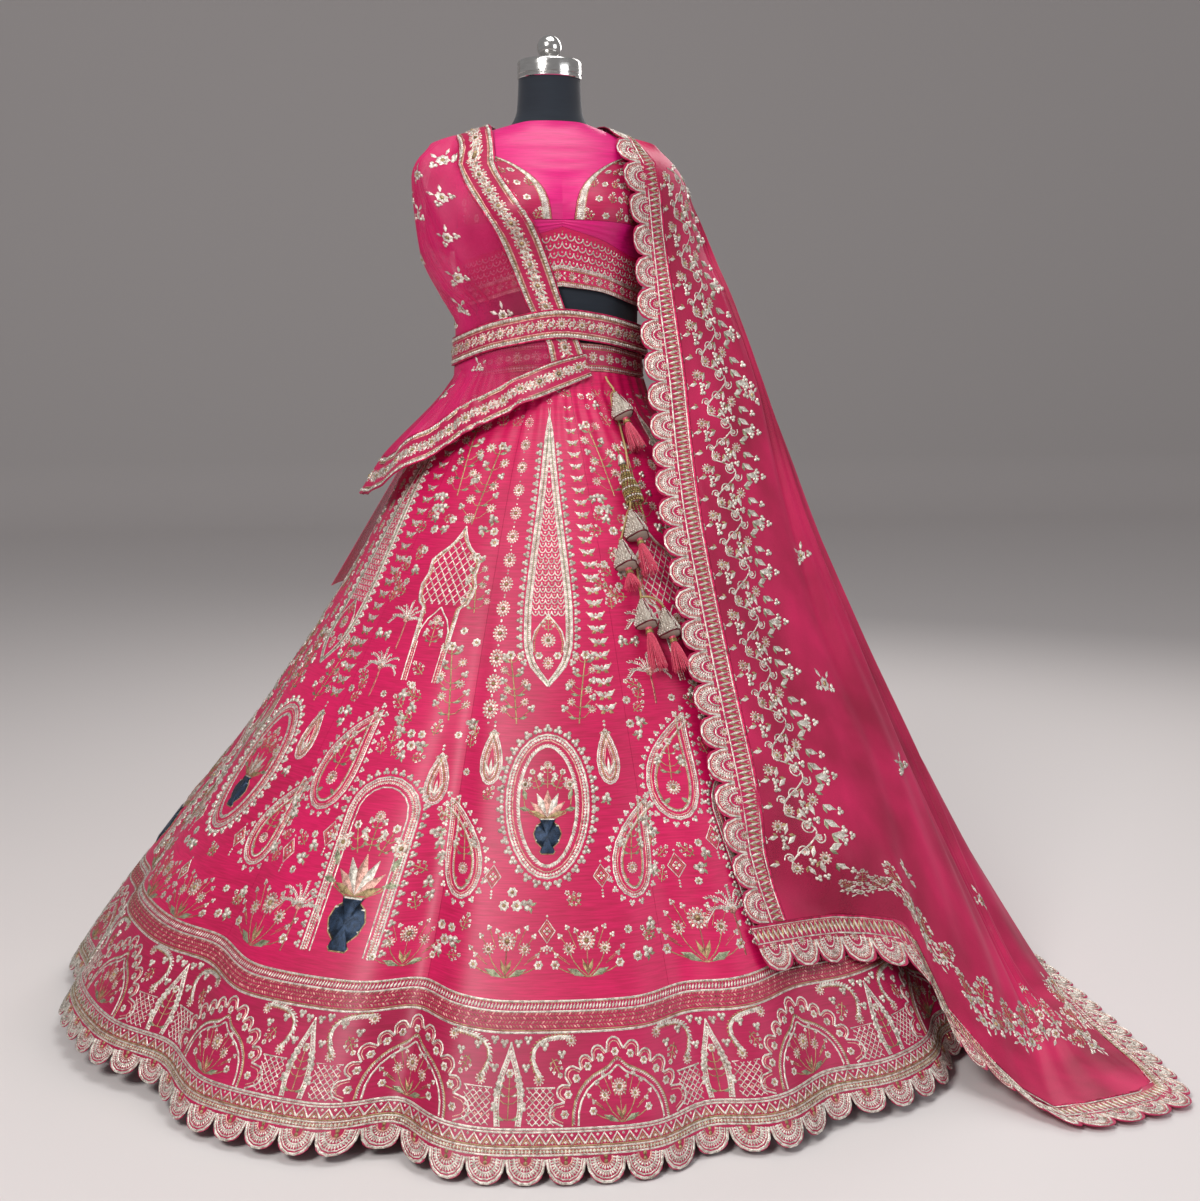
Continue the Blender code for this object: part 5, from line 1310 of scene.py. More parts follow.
# A plain round arch on two posts, and a pointed niche with a diamond lattice
arch = Work()
arch_line = np.concatenate([[(-0.054, y) for y in np.linspace(0.0, 0.185, 14)],
                            [(-0.054 * math.cos(t), 0.185 + 0.054 * math.sin(t))
                             for t in np.linspace(0.1, math.pi - 0.1, 18)],
                            [(0.054, y) for y in np.linspace(0.185, 0.0, 14)]])
layered(arch, arch_line, [
    (0.0, "cord", 0.0022, SILVER), (-0.0036, "beads", 0.0017, SILVER), (-0.0068, "cord", 0.0016, PEACH),
    (-0.0105, "stitch", 0.0058, SILVER), (-0.0142, "cord", 0.0018, SILVER)], closed=False)
fringe, turns = along(beside(arch_line, 0.0052), 0.0130)
arch.stamp(berries(0.0042), fringe, turns=turns)

lattice = Work()
half_niche = np.array([(-0.030, 0.000), (-0.030, 0.060), (-0.041, 0.072), (-0.045, 0.098), (-0.038, 0.118),
                       (-0.040, 0.134), (-0.027, 0.150), (-0.018, 0.158), (-0.006, 0.176), (0.0, 0.192)])
niche_rows = np.linspace(0, 9, 34)
niche_left = np.stack([curve(range(10), half_niche[:, axis], niche_rows) for axis in (0, 1)], axis=1)
for gap, width, tint in ((0.0, 0.0022, SILVER), (0.0045, 0.0014, GOLD)):
    for side in (-1, 1):
        lattice.cord(np.column_stack([-side * np.minimum(niche_left[:, 0] + gap, 0.0), niche_left[:, 1]]), width, tint)
for side in (-1, 1):
    rows_of_beads = np.column_stack([-side * np.minimum(niche_left[:, 0] + 0.0024, 0.0), niche_left[:, 1]])
    lattice.beads(along(rows_of_beads, 0.0032)[0], 0.0013, SILVER)


def inside_niche(x, y):
    half = -np.interp(y, niche_left[:, 1], niche_left[:, 0])
    return (y > 0.066) & (y < 0.182) & (np.abs(x) < half - 0.0050)


for lean in (-1, 1):
    for shift in np.arange(-0.16, 0.26, 0.0125):
        run = np.linspace(0.066, 0.182, 60)
        spots = np.column_stack([lean * (run - 0.12) * 0.75 + shift - 0.02, run])
        keep = inside_niche(spots[:, 0], spots[:, 1])
        if keep.sum() > 3:
            lattice.cord(spots[keep], 0.0012, SILVER)
for row, y in enumerate(np.arange(0.073, 0.180, 0.00835)):
    for x in np.arange(-0.045, 0.046, 0.0125) + (0.00625 if row % 2 else 0.0):
        if inside_niche(x, np.float64(y)):
            lattice.beads([(x, y)], 0.0018, PEACH if row % 2 else SILVER)
for side in (-1, 1):
    cusp = bezier([(side * 0.025, 0.010), (side * 0.025, 0.050), (side * 0.006, 0.050), (0.0, 0.064)], 12)
    lattice.cord(cusp, 0.0018, SILVER)
    lattice.cord([(side * 0.030, 0.0), (side * 0.030, -0.050)], 0.0020, SILVER)
    lattice.cord([(side * 0.022, 0.010), (side * 0.022, -0.050)], 0.0014, SILVER)
    lattice.beads([(side * 0.026, y) for y in np.arange(-0.048, 0.012, 0.0040)], 0.0017, PEACH)
lattice.stamp(sprig(0.040, 3, sun_flower(0.0075)), [(0.0, 0.004)])
lattice.stamp(sun_flower(0.0085), [(0.0, 0.205)])

# One panel of each kind in flat metres from its middle line, heights on the form
oval_frame = Work()
oval_line = ring(0.056, 56, 0.098)
layered(oval_frame, oval_line, [(0.0, "cord", 0.0024, SILVER), (0.0042, "beads", 0.0020, SILVER),
                                (0.0080, "cord", 0.0016, PEACH), (0.0125, "stitch", 0.0075, SILVER),
                                (0.0170, "cord", 0.0018, SILVER)])
fringe, turns = along(beside(oval_line, -0.0055, True), 0.0140, True)
oval_frame.stamp(berries(0.0050), fringe, turns=turns + math.pi)
oval_frame.stamp(vase, [(0.0, -0.066)], sizes=0.80)

TURN = math.radians(1.0)
panel_a, panel_b = Work(), Work()
panel_a.stamp(spire, [(0.0, 0.5475)], bend=skirt_bend)
panel_a.stamp(sunburst, [(-11.2 * TURN, z) for z in np.arange(0.940, 0.500, -0.0325)],
              sizes=np.linspace(0.62, 1.12, 14), bend=skirt_bend)
panel_a.stamp(bow, [(11.4 * TURN, z) for z in np.arange(0.945, 0.500, -0.0172)], sizes=np.linspace(0.66, 1.10, 26),
              bend=skirt_bend)
panel_a.stamp(oval_frame, [(0.0, 0.402)], bend=skirt_bend)
panel_a.stamp(medallion(0.034, 0.078), [(-9.8 * TURN, 0.425), (10.5 * TURN, 0.425)], bend=skirt_bend)
panel_a.stamp(paisley(0.062, 0.130, 0.55), [(12.3 * TURN, 0.290)], bend=skirt_bend)
panel_a.stamp(paisley(0.062, 0.130, 0.55), [(-12.3 * TURN, 0.290)], flip=True, bend=skirt_bend)
panel_a.stamp(lozenge(0.0150), [(-7.6 * TURN, 0.318), (7.6 * TURN, 0.318), (0.0, 0.258)], bend=skirt_bend)
panel_a.stamp(bush(0.100, 0.062), [(-5.0 * TURN, 0.2080), (5.0 * TURN, 0.2080)], bend=skirt_bend)
panel_a.stamp(flower_branch(0.100, 0.15), [(5.8 * TURN, 0.500)], bend=skirt_bend)
panel_a.stamp(flower_branch(0.100, 0.15), [(-5.8 * TURN, 0.500)], flip=True, bend=skirt_bend)

panel_b.stamp(flower_branch(0.130, 0.10), [(4.0 * TURN, 0.760)], bend=skirt_bend)
panel_b.stamp(flower_branch(0.120, 0.10), [(-5.0 * TURN, 0.800)], flip=True, bend=skirt_bend)
panel_b.stamp(lattice, [(2.5 * TURN, 0.590)], bend=skirt_bend)
panel_b.stamp(palm_spray(0.075), [(-6.2 * TURN, 0.585), (-8.4 * TURN, 0.520)], bend=skirt_bend)
panel_b.stamp(arch, [(3.4 * TURN, 0.218)], bend=skirt_bend)
panel_b.stamp(vase, [(3.4 * TURN, 0.222)], sizes=1.18, bend=skirt_bend)
panel_b.stamp(paisley(0.080, 0.150, 0.5), [(-8.8 * TURN, 0.375)], bend=skirt_bend)
panel_b.stamp(flower_branch(0.110, -0.15), [(10.8 * TURN, 0.500), (11.5 * TURN, 0.640)], sizes=[1.0, 0.8],
              bend=skirt_bend)
panel_b.stamp(medallion(0.032, 0.074), [(11.0 * TURN, 0.395)], bend=skirt_bend)
panel_b.stamp(lozenge(0.0170), [(-4.2 * TURN, 0.350), (-10.8 * TURN, 0.320)], bend=skirt_bend)
panel_b.stamp(bush(0.120, 0.080), [(-9.5 * TURN, 0.2080), (11.6 * TURN, 0.2080)], sizes=[1.0, 0.72], bend=skirt_bend)
panel_b.stamp(palm_spray(0.095), [(-4.4 * TURN, 0.212)], bend=skirt_bend)

# Small sprigs fill the silk between the main motifs wherever there is room
fill_motifs = [sprig(0.022, 2, star_flower(0.0036, 5)), berries(0.0058), star_flower(0.0068, 7)]
fill_motifs[1].leaves([(0.0, -0.001), (0.0, -0.001)], [-0.6, math.pi + 0.6], 0.0085, 0.0036, GREEN)
for panel, seed in ((panel_a, 3), (panel_b, 8)):
    points = np.concatenate(panel.points)
    taken = np.column_stack([points[:, 0] * np.interp(points[:, 1], [0.19, 0.975], [0.63, 0.13]), points[:, 1] / SLOPE])
    cells = set(map(tuple, np.floor(taken / 0.009).astype(int)))
    near = {(c + i, r + j) for c, r in cells for i in (-1, 0, 1) for j in (-1, 0, 1)}
    number = seed
    for row, height in enumerate(np.arange(0.226, 0.955, 0.0150)):
        radius = float(np.interp(height, [0.19, 0.975], [0.63, 0.13]))
        half = radius * math.radians(14.3)
        for x in np.arange(-half, half, 0.0170) + (0.0085 if row % 2 else 0.0):
            cell = (int(math.floor(x / 0.009)), int(math.floor(height / SLOPE / 0.009)))
            if cell in near or abs(x) > half:
                continue
            number = (number * 7 + 5) % 11
            motif = fill_motifs[(number + row) % 3]
            panel.stamp(motif, [(x / radius, height)], turns=0.28 * (number - 5), sizes=0.85 + 0.03 * number,
                        bend=skirt_bend)
            near |= {(cell[0] + i, cell[1] + j) for i in (-1, 0, 1) for j in (-1, 0, 1)}

kali_shares = np.linspace(0.0, 1.0, 76)
for number in range(12):
    start_turn = math.radians(-25.0 + 30.0 * number)
    columns = start_turn + np.linspace(0.0, math.radians(30.0), 41)
    top = column(WAISTBAND, 1, np.abs(wrapped(np.degrees(columns)))) - SEAM
    foot = hem_height(columns) + BORDER_HEIGHT + SEAM / 2
    height = top + (foot - top) * kali_shares[:, None]
    angle = np.broadcast_to(columns, height.shape).copy()
    angle[:, 0] += SEAM / 2 / silk_radius(angle[:, 0], height[:, 0])
    angle[:, -1] -= SEAM / 2 / silk_radius(angle[:, -1], height[:, -1])
    label = "%02d" % (number + 1)
    kali = Cloth(skirt_at(angle, height, 0.0))
    cloth_shell("lehenga_kali_%s_silk" % label, kali, CLOTH, raw_silk, ["lehenga_kali_" + label],
                coarse=3)
    middle_turn = start_turn + math.radians(15.0)
    panel = panel_a if number % 2 == 0 else panel_b
    lay("lehenga_kali_%s_work" % label, panel, lambda x, y, out: skirt_at(x + middle_turn, y, out), metal_thread)

# The hem border: drops, a herringbone band, cusped arches with beds of flowers, a zigzag,
# and a row of scallops with rings of beads
border_face = Work()
PERIOD = 6 * LOBE_WIDE
hem_base = 0.0680


def cusped_arch(half_width, height, lobes):
    """A pointed arch with a cusped outer edge, a smooth inner band and a bed of flowers."""
    work = Work()
    t = np.linspace(0.0, math.pi, 60)
    peak = height * 0.14 * np.exp(-((t - math.pi / 2) / 0.16) ** 2)
    path = np.column_stack([-half_width * np.cos(t), height * np.sin(t) ** 0.82 * 0.86 + peak])
    inner = path * np.array([0.74, 0.72])
    work.cord(inner, 0.0022, SILVER)
    spots, turns = along(path * np.array([0.79, 0.77]), 0.0030)
    work.leaves(spots, turns + 0.9, 0.0058, 0.0022, SILVER)
    work.cord(path * np.array([0.84, 0.82]), 0.0018, GOLD)
    cusps = path[np.linspace(0, 59, lobes + 1).astype(int)]
    for a, b in zip(cusps, cusps[1:]):
        middle, out = (a + b) / 2, np.array([-(b - a)[1], (b - a)[0]])
        bulge = bezier([a, a + out * 0.62, middle + out * 0.95, b + out * 0.62, b], 9)
        work.cord(bulge, 0.0022, SILVER)
        work.cord(middle + (bulge - middle) * 0.72, 0.0013, PEACH)
        work.stamp(star_flower(0.0058, 6), [middle * np.array([0.985, 0.985])])
    work.stamp(bush(half_width * 1.12, height * 0.60), [(0.0, 0.002)])
    return work


border_face.stamp(cusped_arch(0.078, 0.098, 11), [(0.0, hem_base)])
for side in (-1, 1):
    slim = bezier([(side * 0.016, 0.0), (side * 0.026, 0.055), (side * 0.004, 0.078), (0.0, 0.102)], 16)
    for gap, width, tint in ((0.0, 0.0022, SILVER), (0.0055, 0.0016, SILVER)):
        shifted = slim - np.array([side * gap, 0.0]) * (slim[:, 1:] < 0.09)
        border_face.cord(shifted + np.array([PERIOD / 2, hem_base]), width, tint)
    border_face.beads([(x + PERIOD / 2 - side * 0.0028, y + hem_base) for x, y in along(slim[:-2], 0.0036)[0]], 0.0016,
                      SILVER)
    # lattice panels between the two arches
    low_x, high_x = (0.0880, 0.1270) if side > 0 else (PERIOD - 0.1270, PERIOD - 0.0880)
    border_face.cord([(low_x, hem_base + 0.046), (high_x, hem_base + 0.046)], 0.0018, SILVER)
    for k in np.arange(low_x - 0.046, high_x, 0.0092):
        for lean in (0, 1):
            run = np.linspace(0.0, 0.044, 12)
            xs = k + run if lean else k + 0.046 - run
            keep = (xs > low_x) & (xs < high_x)
            if keep.sum() > 2:
                border_face.cord(np.column_stack([xs, hem_base + 0.001 + run])[keep], 0.0011, SILVER)
    for row in range(5):
        xs = np.arange(low_x + 0.0046 * (1 + row % 2), high_x - 0.002, 0.0092)
        border_face.beads([(x, hem_base + 0.0046 + row * 0.0092) for x in xs], 0.0015, PEACH if row % 2 else SILVER)
    # scrolls hang from the upper line beside each arch
    centre = 0.104 if side > 0 else PERIOD - 0.104
    scroll = bezier([(centre - side * 0.040, 0.176), (centre + side * 0.002, 0.180), (centre + side * 0.032, 0.165),
                     (centre + side * 0.006, 0.128)], 14)
    border_face.cord(scroll, 0.0030, SILVER)
    spots, turns = along(scroll, 0.0044)
    border_face.leaves(spots, turns + 0.7, 0.0075, 0.0028, SILVER)
    border_face.leaves(spots, turns - 0.7, 0.0060, 0.0024, GOLD)
    border_face.stamp(sun_flower(0.0075, None, 10), [(centre - side * 0.040, 0.171), (centre + side * 0.006, 0.124)])
    border_face.stamp(sprig(0.024, 2), [(centre - side * 0.012, 0.150)], turns=math.pi - side * 0.5)
    border_face.stamp(berries(0.0048), [(centre - side * 0.026, 0.158), (centre + side * 0.024, 0.142),
                                        (centre + side * 0.022, 0.176), (centre - side * 0.002, 0.168),
                                        (centre + side * 0.036, 0.172)], turns=math.pi)
border_face.stamp(sprig(0.056, 4, star_flower(0.0060)), [(PERIOD / 2, hem_base + 0.008)])


def lobe_rim(share):
    """A line inside one scallop, at a share of the way from its middle to its edge."""
    return [(0.0238 * share * math.cos(t), 0.0330 - 0.0318 * share * math.sin(t) ** 0.8)
            for t in np.linspace(0.06, math.pi - 0.06, 15)]


hem_lobe = Work()
for share, width, tint in ((1.00, 0.0028, SILVER), (0.86, 0.0016, SILVER), (0.62, 0.0022, SILVER),
                           (0.36, 0.0018, PEACH)):
    hem_lobe.cord(lobe_rim(share), width, tint)
for share, size in ((0.74, 0.0068), (0.50, 0.0060)):
    spots, turns = along(lobe_rim(share), 0.0034)
    hem_lobe.leaves(spots - np.column_stack([np.cos(turns - math.pi / 2), np.sin(turns - math.pi / 2)]) * size * 0.4,
                    turns - math.pi / 2, size, 0.0024, SILVER)
hem_lobe.beads([(0.0, 0.0310), (0.0, 0.0255)], 0.0024, GOLD)
hem_lobe.beads([(x, 0.0385) for x in np.arange(-0.0230, 0.0240, 0.0046)], 0.0021, SILVER)
hem_lobe.leaves([(x, 0.0352) for x in np.arange(-0.0240, 0.0240, 0.0024)], math.pi / 2 - 0.25, 0.0068, 0.0018, GOLD)
for x in (-0.0167, 0.0, 0.0167):
    hem_lobe.cord([(x - 0.0083, 0.0470), (x, 0.0590), (x + 0.0083, 0.0470)], 0.0022, SILVER)
    hem_lobe.cord([(x - 0.0045, 0.0470), (x, 0.0540), (x + 0.0045, 0.0470)], 0.0016, GOLD)
    hem_lobe.beads([(x + 0.0083, 0.0575), (x, 0.0490)], 0.0017, SILVER)
for y, width, tint in ((0.0345, 0.0020, SILVER), (0.0425, 0.0020, SILVER), (0.0450, 0.0016, GOLD),
                       (0.0615, 0.0020, SILVER), (0.0650, 0.0024, SILVER), (0.1815, 0.0024, SILVER),
                       (0.1845, 0.0012, GOLD), (0.2075, 0.0022, SILVER), (0.2205, 0.0022, SILVER)):
    hem_lobe.cord([(-0.025, y), (-0.0125, y), (0.0, y), (0.0125, y), (0.025, y)], width, tint)
step = 0.0050
for k in range(10):
    x = -0.025 + step * k
    for row in range(4):
        hem_lobe.leaves([(x + (step / 2 if row % 2 else 0.0), 0.1868 + row * 0.0052)],
                        [0.7 if row % 2 else math.pi - 0.7],
                        0.0066, 0.0024, COPPER if (k + row) % 3 else PEACH)
    hem_lobe.leaves([(x, 0.2092)], [1.15], 0.0088, 0.0030, SILVER)
    hem_lobe.beads([(x + 0.0028, 0.2185)], 0.0012, GOLD)

for number in range(6):
    lobes_each = 16
    first = lobes_each * number * LOBE_WIDE
    x = np.linspace(first, first + lobes_each * LOBE_WIDE, lobes_each * 10 + 1)
    x[0] += SEAM / 2
    x[-1] -= SEAM / 2
    inside = np.abs(((x / LOBE_WIDE) % 1.0) * 2 - 1)
    notch = SCALLOP_DEPTH * 1.22 * (1.0 - np.clip(1.0 - inside ** 2.4, 0, 1) ** 0.5)
    share = np.concatenate([np.linspace(0.0, 0.22, 9), np.linspace(0.27, 1.0, 17)])[:, None]
    y = notch + ((BORDER_HEIGHT - SEAM / 2 - 0.0010) * 1.22 - notch) * share
    border = Cloth(hem_at(np.broadcast_to(x, y.shape), y, 0.0))
    label = str(number + 1)
    cloth_shell("lehenga_border_%s_silk" % label, border, CLOTH, worked_silk, ["lehenga_border_" + label],
                coarse=2)
    border_work = Work()
    border_work.stamp(hem_lobe, [(first + (k + 0.5) * LOBE_WIDE, 0.0) for k in range(lobes_each)])
    for k in range(16):
        centre = 0.15 + (k - 0.5) * PERIOD
        if first - 0.001 < centre < first + lobes_each * LOBE_WIDE - 0.001:
            border_work.stamp(border_face, [(centre, 0.0)])
    lay("lehenga_border_%s_work" % label, border_work, hem_at, metal_thread)


# Belt
# One stiff embroidered band round the waist, with pink piping at both edges, a row of beads
# inside each, and a vine of star flowers along its middle. It holds the first dupatta.
BELT_GAP = 0.0112
BELT_WALL = 0.0025
BELT_REACH = 0.022
BELT = [
    (-180, 0.998, 1.043), (-135, 0.994, 1.039), (-93, 0.993, 1.038), (-45, 1.020, 1.065),
    (0, 1.034, 1.080), (30, 1.028, 1.074), (69, 1.012, 1.058), (110, 1.002, 1.047), (180, 0.998, 1.043),
]


def vine_band(length, width, upright=False):
    """A border band: piping, beads and strips at both edges, and flowers with leaves between."""
    work = Work()
    steps = max(20, int(length / 0.010))
    run = np.linspace(0.0, length, steps)

    def laid(y):
        return np.column_stack([run, np.full(steps, y)])

    for y, size, tint in ((0.0010, 0.0024, ROSE), (0.0032, 0.0015, SILVER), (0.0082, 0.0015, GOLD),
                          (0.0105, 0.0016, PEACH)):
        work.cord(laid(y), size, tint)
        work.cord(laid(width - y), size, tint)
    for y in (0.0057, width - 0.0057):
        work.beads(along(laid(y), 0.0046)[0], 0.0022, SILVER)
    pitch = 0.032
    count = max(1, int(length / pitch))
    spots = [((k + 0.5) * length / count, width / 2) for k in range(count)]
    work.stamp(sun_flower(width * 0.200, None, 12), spots)
    between_flowers = [((k + 1.0) * length / count, width / 2) for k in range(count - 1)]
    work.stamp(star_flower(width * 0.105, 6, SILVER, PEACH), between_flowers)
    for x, y in spots:
        for side in (-1, 1):
            end = (x + side * length / count / 2, y)
            work.cord(bezier([(x + side * width * 0.2, y), (x + side * pitch * 0.33, y + side * width * 0.20), end], 5),
                      0.0012, GOLD)
            work.leaves([(x + side * pitch * 0.27, y + side * 0.002), (x + side * pitch * 0.30, y - side * 0.001)],
                        [side * 1.0 if side > 0 else math.pi + 1.0, -0.9 if side > 0 else math.pi - 0.9], width * 0.165,
                        width * 0.075, SILVER)
            work.beads([(x + side * pitch * 0.42, y + side * width * 0.16),
                        (x + side * pitch * 0.42, y - side * width * 0.16)], 0.0015, PEACH)
    if upright:
        turned_work = Work()
        turned_work.stamp(work, [(width, 0.0)], turns=math.pi / 2)
        return turned_work
    return work


belt = band_ring("belt_silk", BELT, BELT_GAP, BELT_WALL, 9, "belt")
lay("belt_work", vine_band(belt.x[-1], belt.y[-1]), belt.at, metal_thread)


# Dupattas
# Two lengths of soft net. The first is pinned on the right shoulder and tucked under the belt,
# the second falls from the left shoulder and trails on the floor. Both have worked borders.
NET = 0.0013
SHOULDER_LIFT = 0.0135
SHOULDER_ZONE = 1.305
DUPATTA_A = [
    (0.00, (-90, 1.364, 0.098), (-49, 1.300, 0), (-20, 1.212, 0), (-8, 1.140, 0), (0, 1.092, 0),
     (14, 1.028, 0), (17, 1.012, 0), (22, 0.977, 0)),
    (0.11, (-90, 1.350, 0.148), (-69, 1.287, 0), (-44, 1.195, 0), (-36, 1.135, 0), (-27, 1.086, 0),
     (-12, 1.024, 0), (-9.7, 0.998, 0), (-2, 0.957, 0)),
    (0.30, (-94, 1.344, 0.172), (-81, 1.292, 0.214), (-70, 1.190, 0.190), (-60, 1.130, 0.162),
     (-52, 1.080, 0), (-45, 1.006, 0), (-40, 0.969, 0), (-28, 0.930, 0.168)),
    (0.50, (-98, 1.338, 0.188), (-93, 1.284, 0.216), (-86, 1.180, 0.208), (-80, 1.115, 0.178),
     (-72, 1.066, 0), (-66, 0.993, 0), (-62, 0.925, 0.190), (-51, 0.882, 0.218)),
    (0.70, (-103, 1.334, 0.186), (-102, 1.278, 0.212), (-100, 1.170, 0.202), (-94, 1.100, 0.172),
     (-88, 1.052, 0), (-83, 0.984, 0), (-80, 0.868, 0.252), (-72, 0.816, 0.290)),
    (0.85, (-108, 1.331, 0.180), (-108, 1.270, 0.200), (-110, 1.160, 0.186), (-107, 1.095, 0.160),
     (-103, 1.053, 0), (-99, 0.978, 0), (-95, 0.850, 0.268), (-91, 0.792, 0.306)),
    (1.00, (-112, 1.328, 0.168), (-114, 1.262, 0.184), (-118, 1.150, 0.168), (-118, 1.090, 0.146),
     (-116, 1.053, 0), (-113, 0.978, 0), (-109, 0.850, 0.262), (-105, 0.790, 0.300)),
]
DUPATTA_B = [
    (0.00, (90, 1.366, 0.088), (44, 1.297, 0.139), (45, 1.190, 0.158), (46, 1.095, 0.163), (38, 0.942, 0.203),
     (25, 0.796, 0.280), (19, 0.589, 0.400), (17, 0.397, 0.508), (17, 0.310, 0), (17, 0.245, 0), (17.5, 0.192, 0)),
    (0.06, (90, 1.355, 0.124), (70, 1.300, 0.171), (65, 1.190, 0.187), (59, 1.095, 0.208), (52, 0.942, 0.242),
     (38, 0.795, 0.303), (29, 0.586, 0.412), (24, 0.395, 0.528), (23, 0.305, 0), (22.7, 0.243, 0), (22.5, 0.190, 0)),
    (0.17, (92, 1.347, 0.164), (92, 1.302, 0.212), (90, 1.190, 0.246), (81, 1.095, 0.272), (70, 0.940, 0.313),
     (56, 0.790, 0.346), (44, 0.575, 0.426), (35, 0.385, 0.562), (32, 0.300, 0.614), (31, 0.235, 0), (30, 0.180, 0)),
    (0.23, (95, 1.344, 0.176), (95, 1.300, 0.218), (93, 1.190, 0.254), (83, 1.095, 0.284), (73, 0.938, 0.330),
     (61, 0.788, 0.366), (50, 0.575, 0.446), (41, 0.385, 0.575), (39, 0.290, 0.632), (38.5, 0.218, 0.660),
     (38.5, 0.150, 0.696)),
    (0.30, (98, 1.342, 0.180), (98, 1.297, 0.221), (95, 1.188, 0.262), (85, 1.092, 0.292), (76, 0.932, 0.345),
     (66, 0.785, 0.388), (56, 0.575, 0.466), (47, 0.385, 0.590), (43, 0.200, 0.680), (39.5, 0.100, 0.738),
     (38.0, 0.048, 0.780)),
    (0.44, (101, 1.340, 0.180), (101, 1.293, 0.222), (97, 1.182, 0.275), (87, 1.090, 0.300), (79, 0.920, 0.355),
     (71, 0.778, 0.404), (67, 0.565, 0.500), (62, 0.375, 0.592), (54, 0.070, 0.775), (39.5, 0.0095, 0.893),
     (38, 0.0085, 0.958)),
    (0.60, (105, 1.338, 0.177), (104, 1.288, 0.218), (101, 1.175, 0.270), (91, 1.085, 0.300), (84, 0.915, 0.360),
     (78, 0.772, 0.410), (73, 0.560, 0.500), (68, 0.370, 0.602), (59, 0.050, 0.790), (48.5, 0.0095, 0.975),
     (47.1, 0.0085, 1.038)),
    (0.76, (109, 1.336, 0.172), (109, 1.282, 0.208), (107, 1.165, 0.255), (99, 1.072, 0.290), (93, 0.905, 0.352),
     (89, 0.755, 0.405), (85, 0.550, 0.486), (80, 0.360, 0.590), (71, 0.040, 0.790), (60, 0.0095, 0.860),
     (59, 0.0085, 0.925)),
    (0.90, (113, 1.334, 0.166), (114, 1.276, 0.194), (114, 1.152, 0.230), (109, 1.060, 0.265), (104, 0.895, 0.325),
     (102, 0.742, 0.375), (99, 0.540, 0.460), (96, 0.350, 0.566), (91, 0.110, 0.700), (83, 0.040, 0.755),
     (83, 0.010, 0.810)),
    (1.00, (117, 1.332, 0.160), (119, 1.270, 0.180), (120, 1.140, 0.206), (118, 1.050, 0.236), (115, 0.885, 0.288),
     (115, 0.730, 0.340), (113, 0.530, 0.428), (111, 0.340, 0.536), (108, 0.150, 0.660), (104, 0.065, 0.735),
     (104, 0.012, 0.780)),
]
DUPATTA_A_TAIL = [
    (0.00, (-90, 1.364, 0.098), (-152, 1.318, 0), (-165, 1.200, 0), (-168, 1.040, 0.135), (-168, 0.900, 0.200),
     (-168, 0.720, 0.315)),
    (0.50, (-90, 1.356, 0.120), (-140, 1.308, 0), (-152, 1.195, 0), (-155, 1.035, 0.145), (-150, 0.890, 0.235),
     (-143, 0.680, 0.345)),
    (1.00, (-90, 1.349, 0.140), (-129, 1.300, 0), (-137, 1.190, 0.140), (-140, 1.030, 0.162), (-131, 0.880, 0.262),
     (-112, 0.630, 0.380)),
]
DUPATTA_B_TAIL = [
    (0.00, (90, 1.366, 0.088), (152, 1.318, 0), (165, 1.200, 0), (170, 1.040, 0.135), (170, 0.900, 0.195),
     (170, 0.735, 0.300)),
    (0.50, (90, 1.362, 0.105), (141, 1.308, 0), (152, 1.195, 0), (158, 1.035, 0.145), (157, 0.890, 0.215),
     (155, 0.720, 0.318)),
    (1.00, (90, 1.356, 0.121), (131, 1.300, 0), (140, 1.190, 0.140), (145, 1.030, 0.160), (142, 0.885, 0.240),
     (136, 0.705, 0.345)),
]


def under_radius(angle, height):
    figure = figure_radius(angle, np.clip(height, 0.90, NECK_TOP)) + SKIN + CLOTH
    skirt = skirt_crest(angle, np.clip(height, 0.0, 1.03))
    return np.where(height > 1.03, figure, np.maximum(figure, skirt))


def steepness(angle, height):
    slope = (under_radius(angle, height + 0.002) - under_radius(angle, height - 0.002)) / 0.004
    return np.minimum(np.sqrt(1 + slope ** 2), 2.2)


def roof_height(angle, radius):
    low = np.full(radius.shape, 1.280)
    high = np.full(radius.shape, NECK_TOP)
    for _ in range(20):
        middle = (low + high) / 2
        under = under_radius(angle, middle) > radius
        low = np.where(under, middle, low)
        high = np.where(under, high, middle)
    return np.where(low > 1.2801, low, 0.0)


def soft_folds(first, depth, waves, fine_depth, fine_waves):
    """Lengthwise folds that grow from the shoulder, with finer uneven creases between them."""
    def rule(share, station):
        inside = np.clip((share - first) / 0.08, 0, 1) * np.clip((1.02 - share) / 0.08, 0, 1)
        grow = np.clip((station - 1.5) / 4.0, 0, 1) * np.clip((9.0 - station) / 2.0, 0, 1)
        broad = depth * grow * (np.sin(2 * math.pi * waves * share) - 0.2)
        drift = share + 0.012 * np.sin(1.7 * station)
        crease = np.sin(2 * math.pi * fine_waves * drift + 3.0 * np.sin(2 * math.pi * 2.3 * drift))
        grown = np.clip(station / 1.0, 0, 1) * np.clip((9.6 - station) / 1.5, 0, 1)
        return inside * (broad + fine_depth * grown * crease)
    return rule


